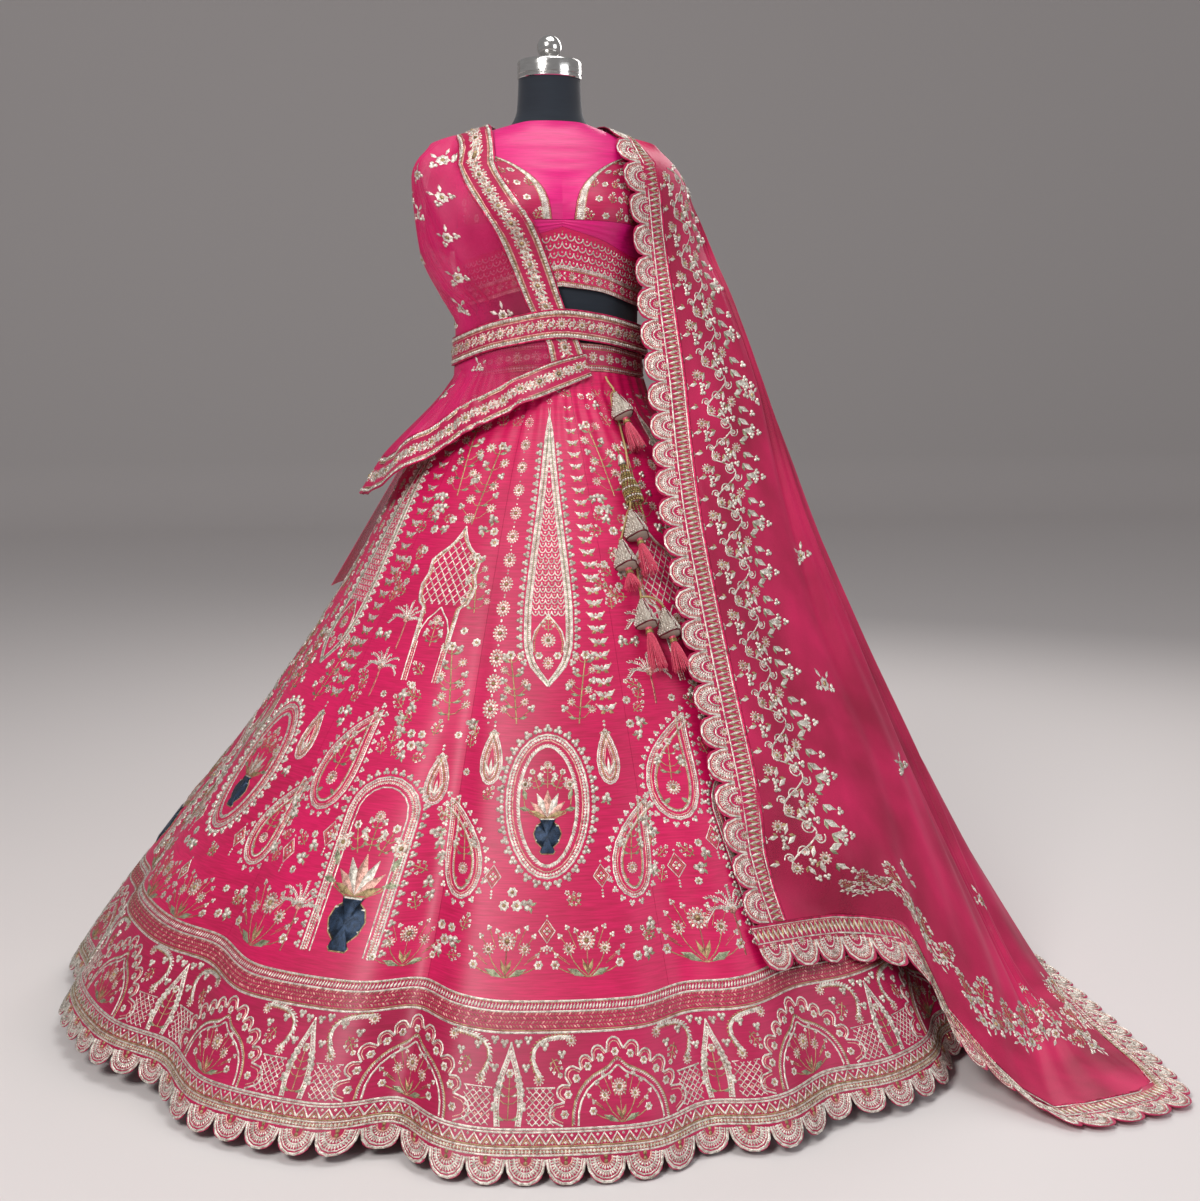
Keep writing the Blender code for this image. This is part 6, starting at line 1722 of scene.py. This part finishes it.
def drape(lines, shares, stations, clear, lift, belt_clear=0.0, belt_cap=0.0, folds=None):
    """The outer skin of a dupatta from its fold lines."""
    line_shares = [line[0] for line in lines]
    station_count = len(lines[0]) - 1
    down = []
    for line in lines:
        places = []
        for degrees, height, radius in line[1:]:
            angle = np.float64(math.radians(degrees))
            if radius == 0:
                radius = under_radius(angle, height) + clear * steepness(angle, height)
            places.append(polar(angle, radius, height))
        places = np.array(places)
        down.append(np.stack([curve(range(station_count), places[:, axis], stations) for axis in range(3)], axis=-1))
    down = np.array(down)
    grid = np.empty((len(stations), len(shares), 3))
    for row in range(len(stations)):
        for axis in range(3):
            grid[row, :, axis] = curve(line_shares, down[:, row, axis], shares)
    if folds is not None:
        grid = grid + Cloth(grid).normals * folds(np.asarray(shares)[None, :], np.asarray(stations)[:, None])[..., None]
    angle = np.arctan2(grid[..., 0], -grid[..., 1])
    radius = np.hypot(grid[..., 0], grid[..., 1])
    height = grid[..., 2]
    least = under_radius(angle, height) + clear * steepness(angle, height)
    turn = np.degrees(angle)
    by_belt = (height > column(BELT, 1, turn) - BELT_REACH) & (height < column(BELT, 2, turn) + BELT_REACH)
    if belt_clear:
        least = np.where(by_belt, np.maximum(least, figure_radius(angle, height) + belt_clear), least)
    over = height > SHOULDER_ZONE
    height = np.where(over, np.maximum(height, roof_height(angle, radius) + lift), height)
    radius = np.where(over, radius, np.maximum(radius, least))
    if belt_cap:
        radius = np.where(by_belt, np.minimum(radius, figure_radius(angle, height) + belt_cap), radius)
    return polar(angle, radius, height)


def net_material(name, dark, light, thin, thick):
    """Sheer net: its threads are a fine mesh, closer where the cloth gathers."""
    made = bpy.data.materials.new(name)
    made.use_nodes = True
    tree = made.node_tree
    shader = tree.nodes["Principled BSDF"]
    shade = stretched_noise(tree, (9.0, 9.0, 3.0), 3.0)
    mesh_noise = stretched_noise(tree, (1300.0, 1300.0, 1300.0), 0.0)
    tree.links.new(ramp_node(tree, shade, [(0.35, dark), (0.68, light)]), shader.inputs["Base Color"])
    both = math_node(tree, "ADD", math_node(tree, "MULTIPLY", shade, 0.6), math_node(tree, "MULTIPLY", mesh_noise, 0.4))
    edge_on = tree.nodes.new("ShaderNodeLayerWeight")
    edge_on.inputs["Blend"].default_value = 0.35
    veil = ramp_node(tree, both, [(0.35, (thin,) * 3), (0.65, (thick,) * 3)])
    facing = math_node(tree, "MULTIPLY", edge_on.outputs["Facing"], 0.55)
    tree.links.new(math_node(tree, "MINIMUM", math_node(tree, "ADD", veil, facing), 1.0), shader.inputs["Alpha"])
    shader.inputs["Roughness"].default_value = 0.55
    shader.inputs["Sheen Weight"].default_value = 0.10
    shader.inputs["Sheen Tint"].default_value = (1.0, 0.35, 0.55, 1.0)
    return made


veil_net = net_material("dupatta_net_pink", (0.48, 0.002, 0.070), (0.76, 0.010, 0.160), 0.24, 0.48)
deep_net = net_material("dupatta_net_rose", (0.34, 0.001, 0.042), (0.62, 0.003, 0.095), 0.56, 0.82)


def part_of(grid, rows, columns):
    """The part of a drape between two rows and two columns, both kept."""
    return grid[rows[0]:rows[1] + 1, columns[0]:columns[1] + 1]


def drawn_back(grid, row=None, col=None):
    """Draws one edge row or column back by the seam gap."""
    grid = grid.copy()
    if row is not None:
        inner = 1 if row == 0 else -2
        pull = grid[inner] - grid[row]
        grid[row] += pull / np.linalg.norm(pull, axis=-1, keepdims=True) * SEAM
    if col is not None:
        inner = 1 if col == 0 else -2
        pull = grid[:, inner] - grid[:, col]
        grid[:, col] += pull / np.linalg.norm(pull, axis=-1, keepdims=True) * SEAM
    return grid


# The first dupatta
a_shares = np.concatenate([np.linspace(0.0, 0.11, 13), np.linspace(0.11, 1.0, 100)[1:]])
a_stations = np.concatenate([np.linspace(0.0, 6.0, 90), np.linspace(6.0, 7.0, 13)[1:]])
a_grid = drape(DUPATTA_A, a_shares, a_stations, 0.0054, SHOULDER_LIFT, belt_cap=0.0098,
               folds=soft_folds(0.15, 0.003, 5, 0.0016, 13))
a_side = Cloth(drawn_back(drawn_back(part_of(a_grid, (0, 89), (0, 12)), row=0), row=-1))
cloth_shell("dupatta_a_side_silk", a_side, NET, worked_silk, ["dupatta_a_border_side"])
a_net = Cloth(drawn_back(drawn_back(part_of(a_grid, (0, 89), (12, 111)), row=-1), col=0))
cloth_shell("dupatta_a_veil", a_net, NET, veil_net, ["dupatta_a_net"],
            coarse=2)
a_end = Cloth(part_of(a_grid, (89, 101), (0, 111)))
cloth_shell("dupatta_a_end_silk", a_end, NET, worked_silk, ["dupatta_a_border_end"])
lay("dupatta_a_side_work", vine_band(a_side.y[-1], a_side.x[-1], upright=True), a_side.at, metal_thread)
lay("dupatta_a_end_work", vine_band(a_end.x[-1], a_end.y[-1]), a_end.at, metal_thread)
a_tail_grid = drape(DUPATTA_A_TAIL, np.linspace(0, 1, 49), np.linspace(0, 5, 70), 0.0070, SHOULDER_LIFT,
                    belt_clear=0.0180, folds=soft_folds(0.0, 0.003, 3, 0.0014, 8))
a_tail = Cloth(drawn_back(a_tail_grid, row=0))
cloth_shell("dupatta_a_tail", a_tail, NET, veil_net, ["dupatta_a_back"],
            coarse=2)

# A butti is a small flower with a bud on each side, scattered on the net
buti = Work()
buti.stamp(star_flower(0.0085, 7), [(0.0, 0.0)])
for side in (-1, 1):
    buti.leaves([(side * 0.006, -0.007)], [-math.pi / 2 + side * 0.7], 0.0110, 0.0045, SILVER)
    buti.stamp(berries(0.0042), [(side * 0.0105, 0.0030)], turns=-side * 1.0)
buti_work = Work()
for share, rise in ((0.10, 0.10), (0.30, 0.16), (0.16, 0.24), (0.42, 0.28), (0.24, 0.38), (0.55, 0.20), (0.62, 0.40),
                    (0.78, 0.30), (0.34, 0.52), (0.86, 0.46), (0.50, 0.60), (0.72, 0.62), (0.20, 0.66), (0.88, 0.74),
                    (0.44, 0.80), (0.66, 0.86)):
    buti_work.stamp(buti, [(share * a_net.x[-1], rise * a_net.y[-1])], turns=0.5 * math.sin(9 * share), bend=a_net.bend)
lay("dupatta_a_buti_work", buti_work, a_net.at, metal_thread)

# The second dupatta
b_shares = np.concatenate([np.linspace(0.0, 0.06, 13), np.linspace(0.06, 1.0, 126)[1:]])
b_stations = np.concatenate([np.linspace(0.0, 9.0, 181), np.linspace(9.0, 10.0, 13)[1:]])
b_folds = soft_folds(0.18, 0.006, 6, 0.0022, 17)
b_grid = drape(DUPATTA_B, b_shares, b_stations, 0.0060, 0.8 * SHOULDER_LIFT, belt_clear=0.0180, folds=b_folds)


def scalloped_edge(grid, lobes, deep, fine):
    """Cuts scallops in a strip's last row: between lobes it stops short of the edge."""
    strip = Cloth(grid)
    x = np.linspace(0.0, strip.x[-1], lobes * fine + 1)
    inside = np.abs(((x / strip.x[-1] * lobes) % 1.0) * 2 - 1)
    full = strip.y[-1] * (1.0 - deep * (1.0 - np.clip(1.0 - inside ** 2.4, 0, 1) ** 0.5))
    y = np.linspace(0.0, 1.0, 20)[:, None] * full
    flat_x = np.broadcast_to(x, y.shape)
    return Cloth(strip.at(flat_x.ravel(), y.ravel(), np.zeros(y.size)).reshape(*y.shape, 3)), strip


def scallop_work(width, depth, deep):
    """One scallop of a dupatta's border: rings of metal thread, a flower and a zigzag above."""
    work = Work()
    tip, centre = depth, depth * (1 - deep) * 0.62
    half = width / 2
    for share, size, tint in ((0.96, 0.0026, SILVER), (0.84, 0.0014, PEACH), (0.66, 0.0020, SILVER),
                              (0.40, 0.0018, SILVER)):
        rim = [(half * share * math.cos(t), centre + (tip - centre) * share * math.sin(t) ** 0.85)
               for t in np.linspace(0.05, math.pi - 0.05, 14)]
        work.cord(rim, size, tint)
        if share in (0.84, 0.66):
            spots, turns = along(rim, 0.0040)
            work.leaves(spots, turns + math.pi / 2, 0.0062, 0.0026, SILVER)
    work.stamp(sun_flower(half * 0.26, None, 10), [(0.0, centre + 0.002)])
    work.beads([(-half * 0.62, centre), (half * 0.62, centre)], 0.0020, PEACH)
    work.cord([(-half, centre - 0.0035), (half, centre - 0.0035)], 0.0018, SILVER)
    strip_low, strip_high = 0.0062, centre - 0.0050
    teeth = 6
    for k in range(teeth):
        x = -half + width * (k + 0.5) / teeth
        work.leaves([(x - width / teeth / 2, strip_low)], [math.atan2(strip_high - strip_low, width / teeth / 2)],
                    (strip_high - strip_low) * 1.05, 0.0032, SILVER)
        work.leaves([(x, strip_high)], [-math.atan2(strip_high - strip_low, width / teeth / 2)],
                    (strip_high - strip_low) * 1.05, 0.0026, GOLD)
        work.beads([(x, strip_low + 0.0012)], 0.0015, PEACH)
    work.cord([(-half, 0.0045), (half, 0.0045)], 0.0016, SILVER)
    work.cord([(-half, 0.0015), (half, 0.0015)], 0.0030, ROSE)
    return work


side_strip = np.flip(part_of(b_grid, (0, 180), (0, 12)), axis=1).transpose(1, 0, 2)
b_side, b_side_flat = scalloped_edge(drawn_back(drawn_back(side_strip, col=0), col=-1), 26, 0.26, 14)
cloth_shell("dupatta_b_side_silk", b_side, NET, worked_silk, ["dupatta_b_border_side"])
b_side_work = Work()
lobe = b_side_flat.x[-1] / 26
b_side_work.stamp(scallop_work(lobe, b_side_flat.y[-1], 0.26), [(lobe * (k + 0.5), 0.0) for k in range(26)])
lay("dupatta_b_side_work", b_side_work, b_side_flat.at, metal_thread)
b_end, b_end_flat = scalloped_edge(part_of(b_grid, (180, 192), (0, 137)), 34, 0.26, 14)
cloth_shell("dupatta_b_end_silk", b_end, NET, worked_silk, ["dupatta_b_border_end"],
            coarse=2)
b_end_work = Work()
lobe = b_end_flat.x[-1] / 34
b_end_work.stamp(scallop_work(lobe, b_end_flat.y[-1], 0.26), [(lobe * (k + 0.5), 0.0) for k in range(34)])
lay("dupatta_b_end_work", b_end_work, b_end_flat.at, metal_thread)
b_net = Cloth(drawn_back(drawn_back(part_of(b_grid, (0, 180), (12, 137)), row=-1), col=0))
cloth_shell("dupatta_b_veil", b_net, NET, deep_net, ["dupatta_b_net"],
            coarse=3)
b_tail_grid = drape(DUPATTA_B_TAIL, np.linspace(0, 1, 49), np.linspace(0, 5, 70), 0.0070, SHOULDER_LIFT,
                    belt_clear=0.0180, folds=soft_folds(0.0, 0.003, 3, 0.0014, 8))
b_tail = Cloth(drawn_back(b_tail_grid, row=0))
cloth_shell("dupatta_b_tail", b_tail, NET, deep_net, ["dupatta_b_back"],
            coarse=2)


def true_at(cloth):
    """Places on a cloth in true metres: across from its first column, along its first column."""
    def place(x, y, out):
        made = []
        for low in range(0, len(x), 20000):
            part = slice(low, low + 20000)
            row = np.interp(y[part], cloth.flat_y[:, 0], np.arange(len(cloth.y)))
            r = np.minimum(row.astype(int), len(cloth.y) - 2)
            fr = (row - r)[:, None]
            lengths = cloth.flat_x[r] * (1 - fr) + cloth.flat_x[r + 1] * fr
            c = np.clip((lengths <= x[part][:, None]).sum(axis=1) - 1, 0, lengths.shape[1] - 2)
            pick = np.arange(len(c))
            share = (x[part] - lengths[pick, c]) / np.maximum(lengths[pick, c + 1] - lengths[pick, c], 1e-9)
            flat_x = cloth.x[c] + (cloth.x[c + 1] - cloth.x[c]) * np.clip(share, 0.0, 1.0)
            made.append(cloth.at(flat_x, np.interp(row, np.arange(len(cloth.y)), cloth.y), out[part]))
        return np.concatenate(made)
    return place


# The vine beside the border: one turn of scrolls, leaves and flowers, repeated down the cloth
vine_turn = Work()
main_vine = bezier([(0.030, 0.0), (0.095, 0.012), (0.090, 0.040), (0.018, 0.044), (0.030, 0.080)], 22)
vine_turn.cord(main_vine, 0.0020, SILVER)
for foot, turn, size in (((0.060, 0.014), 0.2, 1.0), ((0.050, 0.050), 2.6, 0.9), ((0.075, 0.030), -0.5, 0.8),
                         ((0.028, 0.060), 2.9, 0.7)):
    angle = np.linspace(0.0, 1.55 * math.pi, 12)
    curl_reach = 0.0115 * size * (1 - 0.55 * angle / angle[-1])
    curl = np.column_stack([foot[0] + curl_reach * np.cos(angle + turn), foot[1] + curl_reach * np.sin(angle + turn)])
    vine_turn.cord(curl, 0.0016, SILVER)
    vine_turn.stamp(star_flower(0.0058 * size, 7, SILVER, PEACH), [foot])
for x, y, turn, length in ((0.088, 0.006, 0.5, 0.022), (0.094, 0.026, 0.1, 0.024), (0.086, 0.046, -0.4, 0.020),
                           (0.092, 0.066, 0.4, 0.020), (0.070, 0.062, 1.3, 0.018), (0.040, 0.028, 2.4, 0.016),
                           (0.014, 0.030, 2.9, 0.014), (0.012, 0.068, 3.0, 0.014), (0.052, 0.070, 1.0, 0.016),
                           (0.064, 0.042, 1.8, 0.015), (0.030, 0.012, 1.9, 0.015), (0.046, 0.004, -0.6, 0.014)):
    vine_turn.leaves([(x, y)], [turn], length, length * 0.40, SILVER)
    vine_turn.leaves([(x, y)], [turn + 0.9], length * 0.6, length * 0.26, GREEN if length > 0.018 else GOLD)
    tip = (x + length * 1.25 * math.cos(turn), y + length * 1.25 * math.sin(turn))
    vine_turn.stamp(berries(0.0046), [tip], turns=turn - math.pi / 2)
vine_turn.stamp(sun_flower(0.0090, None, 10), [(0.078, 0.058), (0.016, 0.016), (0.036, 0.074)])
b_work = Work()
b_length = b_net.flat_y[-1, 0]
units = int(b_length / 0.080)
b_work.stamp(vine_turn, [(0.004, 0.080 * k + 0.006) for k in range(1, units)])
# A broken vine runs above the end border, and bunches of butti flowers are scattered between
bunch = Work()
bunch.stamp(buti, [(0.0, 0.0), (0.022, 0.012), (-0.020, 0.016), (0.004, 0.032)], turns=[0.0, -0.7, 0.7, 0.2])
bunch.stamp(sprig(0.040, 3), [(0.0, 0.036)])
for side in (-1, 1):
    bunch.stamp(sprig(0.034, 3), [(side * 0.020, 0.022)], turns=-side * 0.8)
scatter = Work()
for share, rise, turn in ((0.20, 0.30, 0.3), (0.30, 0.47, -0.4), (0.24, 0.60, 0.2), (0.42, 0.40, 0.5),
                          (0.36, 0.70, -0.2), (0.52, 0.58, 0.1), (0.60, 0.36, -0.5), (0.47, 0.82, 0.4),
                          (0.66, 0.72, 0.0), (0.76, 0.52, 0.3), (0.84, 0.80, -0.3), (0.90, 0.40, 0.2),
                          (0.28, 0.84, 0.2), (0.58, 0.90, -0.2), (0.74, 0.90, 0.2), (0.92, 0.66, 0.0)):
    scatter.stamp(buti, [(share * b_net.x[-1], rise * b_net.y[-1])], turns=turn, sizes=1.1, bend=b_net.bend)
for k in range(15):
    share = 0.16 + 0.82 * (k + 0.5) / 15
    scatter.stamp(bunch, [(share * b_net.x[-1], b_net.y[-1] * (0.955 - 0.012 * (k % 3)))],
                  turns=math.pi + 0.3 * math.sin(5 * k),
                  sizes=0.9 + 0.12 * (k % 2), bend=b_net.bend)
lay("dupatta_b_vine_work", b_work, true_at(b_net), metal_thread)
lay("dupatta_b_buti_work", scatter, b_net.at, metal_thread)


# Latkans
# A drawstring leaves the waistband and carries five stuffed cones with sequins on every face
# and maroon piping. Each ends in a silk tassel, and a net of gold beads hangs between them.
STRING_RADIUS = 0.0016
STRING_REST = 0.0085
LATKANS = [  # label, angle, height, clear of the skirt, cone's length, tassel's length
    ("1", 31.0, 0.934, 0.025, 0.046, 0.056), ("2", 16.5, 0.762, 0.025, 0.050, 0.060),
    ("3", 10.8, 0.722, 0.025, 0.048, 0.034), ("4", 12.2, 0.642, 0.025, 0.046, 0.066),
    ("5", 17.3, 0.628, 0.025, 0.046, 0.054),
]
DRAWSTRING_TOP = [(33.5, 0.9765, 0.0030), (32.8, 0.970, 0.008), (32.0, 0.963, 0.016)]
DRAWSTRING_EXIT = {"1": (0.0, -0.60), "2": (-0.022, -0.35), "3": (0.021, -0.30)}
DRAWSTRING_SPAN = {"1": [(26.0, 0.868, 0.0085), (17.8, 0.800, 0.0240)]}
CORAL = (0.80, 0.060, 0.130)
OLIVE_GOLD = (0.46, 0.36, 0.13)
MAROON = (0.20, 0.008, 0.030)

sequin_cloth = cloth_material("sequin_ground", (0.36, 0.30, 0.25), (0.62, 0.56, 0.48), 0.45, 0.3, 0.3)
tassel_silk = bpy.data.materials.new("tassel_floss")
tassel_silk.use_nodes = True
floss = tassel_silk.node_tree
floss_shader = floss.nodes["Principled BSDF"]
floss_noise = stretched_noise(floss, (900.0, 900.0, 60.0), 2.0)
floss.links.new(ramp_node(floss, floss_noise, [(0.30, (0.52, 0.012, 0.060)), (0.70, (0.90, 0.110, 0.200))]),
                floss_shader.inputs["Base Color"])
floss_shader.inputs["Roughness"].default_value = 0.40
floss_shader.inputs["Sheen Weight"].default_value = 0.3
string_silk = cloth_material("drawstring_silk", (0.26, 0.17, 0.06), (0.55, 0.42, 0.18), 0.45, 0.6, 0.5)

bpy.ops.mesh.primitive_ico_sphere_add(subdivisions=1, radius=1.0)
BALL = mesh_arrays(bpy.context.object, 3)


def on_skirt(angle_degrees, height, clear):
    angle = np.float64(math.radians(angle_degrees))
    radius = max(skirt_crest(angle, height), figure_radius(angle, max(height, 0.9)) + SKIN + CLOTH)
    return polar(angle, radius + clear, height)


def slope_axes(degrees, height, clear):
    """The middle of a latkan on the skirt's slope, with its directions across, out and up."""
    centre = on_skirt(degrees, height, clear)
    up = on_skirt(degrees, height + 0.02, clear) - on_skirt(degrees, height - 0.02, clear)
    up /= np.linalg.norm(up)
    across = np.array([math.cos(math.radians(degrees)), math.sin(math.radians(degrees)), 0.0])
    return centre, across, np.cross(across, up), up


def balls(work, centres, radius, tint):
    centres = np.asarray(centres, float).reshape(-1, 3)
    points, faces = BALL
    made = centres[:, None, :] + points[None] * radius
    shift = np.arange(len(centres))[:, None, None] * len(points)
    work.add(made.reshape(-1, 3), (faces[None] + shift).reshape(-1, 3), tint)


def tube(work, line, radius, sides, tint, ends=None):
    """A round thread along a line of points, thinning to the ends factor at its last point."""
    line = np.asarray(line, float)
    slope = np.gradient(line, axis=0)
    slope /= np.linalg.norm(slope, axis=1, keepdims=True)
    side = np.cross(slope, [0.31, 0.17, 0.93])
    side /= np.linalg.norm(side, axis=1, keepdims=True)
    other = np.cross(slope, side)
    size = radius * np.linspace(1.0, ends or 1.0, len(line))[:, None, None]
    turn = 2 * math.pi * np.arange(sides) / sides
    round_way = side[:, None] * np.cos(turn)[None, :, None] + other[:, None] * np.sin(turn)[None, :, None]
    rings = line[:, None] + size * round_way
    k = np.arange(len(line) - 1)[:, None] * sides
    s = np.arange(sides)[None]
    after = (s + 1) % sides
    faces = np.stack([k + s, k + after, k + after + sides, k + s + sides], axis=-1).reshape(-1, 4)
    work.add(rings.reshape(-1, 3), faces, tint)


def spun(work, centre, profile, sides, tint):
    """A small turned cap in a latkan's own directions: rings of (radius, rise)."""
    turn = 2 * math.pi * np.arange(sides) / sides
    rings = np.array([[(centre[0] + r * math.cos(t), centre[1] + rise, centre[2] + r * math.sin(t)) for t in turn]
                      for r, rise in profile])
    k = np.arange(len(profile) - 1)[:, None] * sides
    s = np.arange(sides)[None]
    after = (s + 1) % sides
    faces = np.stack([k + s, k + s + sides, k + after + sides, k + after], axis=-1).reshape(-1, 4)
    work.add(rings.reshape(-1, 3), faces, tint)


def cone_reach(turn, share, tall):
    size = np.interp(share, [-0.50, -0.46, -0.42, -0.28, 0.32, 0.46, 0.50], [0.30, 0.78, 0.90, 0.94, 0.30, 0.12, 0.05])
    return 0.42 * tall * size * (0.86 + 0.14 * np.cos(3 * (turn - math.pi / 2)))


CAP_PROFILE = [(0.0010, 0.0), (0.0042, -0.0012), (0.0050, -0.0045), (0.0062, -0.0090), (0.0056, -0.0094)]
hung_pieces = []
route = [on_skirt(*row) for row in DRAWSTRING_TOP]
for label, degrees, height, clear, tall, tassel_tall in LATKANS:
    centre, across, out_way, up = slope_axes(degrees, height, clear)

    def in_latkan(x, y, out, c=centre, a=across, o=out_way, u=up):
        return c + np.asarray(x)[..., None] * a + np.asarray(out)[..., None] * o + np.asarray(y)[..., None] * u

    turn = np.linspace(0.0, 2 * math.pi, 43)
    share = np.concatenate([np.linspace(-0.50, -0.40, 5), np.linspace(-0.36, 0.50, 22)])
    reach = cone_reach(turn[None, :], share[:, None], tall)
    cone_points = in_latkan(reach * np.cos(turn), share[:, None] * tall + 0 * reach, reach * np.sin(turn))
    cone = close_ends(skin_grid(cone_points, closed=True))
    named(cone, "latkan_%s_cone" % label, sequin_cloth, 60.0)
    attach(cone, "root")
    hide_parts("latkan_cone_" + label)

    # sequins in rows over the cone's faces, piping on its lower edge and seams
    trim = Work()
    for row, level in enumerate(np.linspace(-0.36, 0.44, 13)):
        count = max(4, int(round(2 * math.pi * float(cone_reach(0.5, level, tall)) / 0.0040)))
        turns = 2 * math.pi * (np.arange(count) + 0.5 * (row % 2)) / count
        reach = cone_reach(turns, level, tall)
        balls(trim, np.column_stack([reach * np.cos(turns), np.full(count, level * tall), reach * np.sin(turns)]),
              0.0017, SILVER)
    edge = np.linspace(0.0, 2 * math.pi, 37)
    reach = cone_reach(edge, -0.42, tall) * 1.01
    tube(trim, np.column_stack([reach * np.cos(edge), np.full(37, -0.42 * tall), reach * np.sin(edge)]), 0.0011, 5,
         MAROON)
    for seam_turn in (math.pi / 2, math.pi / 2 + 2 * math.pi / 3, math.pi / 2 + 4 * math.pi / 3):
        levels = np.linspace(-0.42, 0.49, 12)
        reach = cone_reach(seam_turn, levels, tall) * 1.01
        tube(trim, np.column_stack([reach * math.cos(seam_turn), levels * tall, reach * math.sin(seam_turn)]), 0.0010,
             5, MAROON)
    balls(trim, [(0.0, tall * 0.5 + 0.0005, 0.0)], 0.0028, OLIVE_GOLD)
    foot = -tall / 2
    spun(trim, (0.0, foot - 0.0002, 0.0), CAP_PROFILE, 12, OLIVE_GOLD)
    balls(trim, [(0.0, foot - 0.0010, 0.0)], 0.0030, SILVER)
    trim_piece = lay("latkan_%s_sequins" % label, trim, in_latkan, metal_thread)

    # the tassel: a gold cap over a bound head and a full skirt of floss
    tassel = Work()
    neck = foot - 0.0120
    tube(tassel, [(0, foot - 0.0004, 0), (0, foot - 0.004, 0), (0, foot - 0.009, 0), (0, neck, 0)], 0.0048, 10, CORAL)
    for k in range(54):
        turn_k = 2.39996 * k
        root = 0.0046 * math.sqrt((k + 0.5) / 54)
        flare = 0.0052 + 0.0075 * math.sqrt((k + 0.5) / 54)
        length = tassel_tall - 0.012 - 0.004 * (0.5 + 0.5 * math.sin(3.7 * k))
        drift = 0.0022 * math.sin(1.9 * k)
        strand = [(root * math.cos(turn_k), neck + 0.001, root * math.sin(turn_k))]
        for step_share in (0.18, 0.45, 0.75, 1.0):
            out_r = root + (flare - root) * step_share ** 0.7
            strand.append((out_r * math.cos(turn_k) + drift * step_share, neck - length * step_share,
                           out_r * math.sin(turn_k)))
        tube(tassel, strand, 0.00075, 4, CORAL, 0.6)
    tassel_piece = lay("latkan_%s_tassel" % label, tassel, in_latkan, tassel_silk)
    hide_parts("latkan_tassel_" + label)
    hung_pieces += [cone, trim_piece, tassel_piece]

    tip = in_latkan(0.0, tall / 2 + STRING_RADIUS + SEAM, 0.0)
    route.append(tip)
    if label == LATKANS[-2][0]:
        route.append(in_latkan(tall * 0.2, tall / 2 + STRING_RADIUS + 2 * SEAM, 0.0))
    if label in DRAWSTRING_EXIT:
        sideways, level = DRAWSTRING_EXIT[label]
        route.append(in_latkan(0.0, tall / 2 + STRING_RADIUS, (STRING_REST - clear) / 2))
        route.append(in_latkan(sideways * 0.4, tall * 0.12, STRING_REST - clear))
        route.append(in_latkan(sideways, tall * level, STRING_REST - clear))
    if label == LATKANS[-1][0]:
        route += [in_latkan(0.0, tall * level, 0.0) for level in (0.25, 0.0, -0.25, -0.50, -0.70)]
    route += [on_skirt(*row) for row in DRAWSTRING_SPAN.get(label, [])]

route = np.array(route)
route_lengths = np.concatenate([[0.0], np.cumsum(np.linalg.norm(np.diff(route, axis=0), axis=1))])
string_places = np.linspace(0.0, route_lengths[-1], 79)
string_line = np.stack([curve(route_lengths, route[:, axis], string_places) for axis in range(3)], axis=-1)
string_data = bpy.data.curves.new("latkan_string", "CURVE")
string_data.dimensions = "3D"
string_data.bevel_depth = STRING_RADIUS
string_data.bevel_resolution = 3
string_data.use_fill_caps = True
spline = string_data.splines.new("POLY")
spline.points.add(len(string_line) - 1)
for point, spot in zip(spline.points, string_line):
    point.co = (*spot, 1.0)
string_data.materials.append(string_silk)
string = bpy.data.objects.new("latkan_string", string_data)
bpy.context.scene.collection.objects.link(string)
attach(string, "root")
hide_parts("latkan_drawstring")

# the bead net between the first cone and the rest: strings of gold beads under a bell cap
centre, across, out_way, up = slope_axes(19.5, 0.822, 0.021)
bead_net = Work()
for row, level in enumerate(np.linspace(0.030, -0.036, 19)):
    spread = 0.0030 + 0.0095 * min(1.0, (0.030 - level) / 0.045)
    count = max(5, int(2 * math.pi * spread / 0.0043))
    turns = 2 * math.pi * (np.arange(count) + 0.5 * (row % 2)) / count
    balls(bead_net, np.column_stack([spread * np.cos(turns), np.full(count, level), spread * 0.9 * np.sin(turns)]),
          0.0020,
          OLIVE_GOLD if row % 4 else SILVER)
spun(bead_net, (0.0, 0.030, 0.0),
     [(0.0018, 0.016), (0.0046, 0.012), (0.0042, 0.008), (0.0066, 0.000), (0.0060, -0.0012)], 12, SILVER)
balls(bead_net, [(0.0, 0.030 + 0.019 + 0.0036 * k, 0.0) for k in range(3)], 0.0019, OLIVE_GOLD)
for side in (-1, 0, 1):
    balls(bead_net, [(side * 0.006, -0.038 - 0.0036 * k, 0.001) for k in range(5 + side)], 0.0018, OLIVE_GOLD)
net_piece = lay("latkan_bead_net", bead_net,
                lambda x, y, out: centre + x[:, None] * across + out[:, None] * out_way + y[:, None] * up, metal_thread)
hung_pieces.append(net_piece)
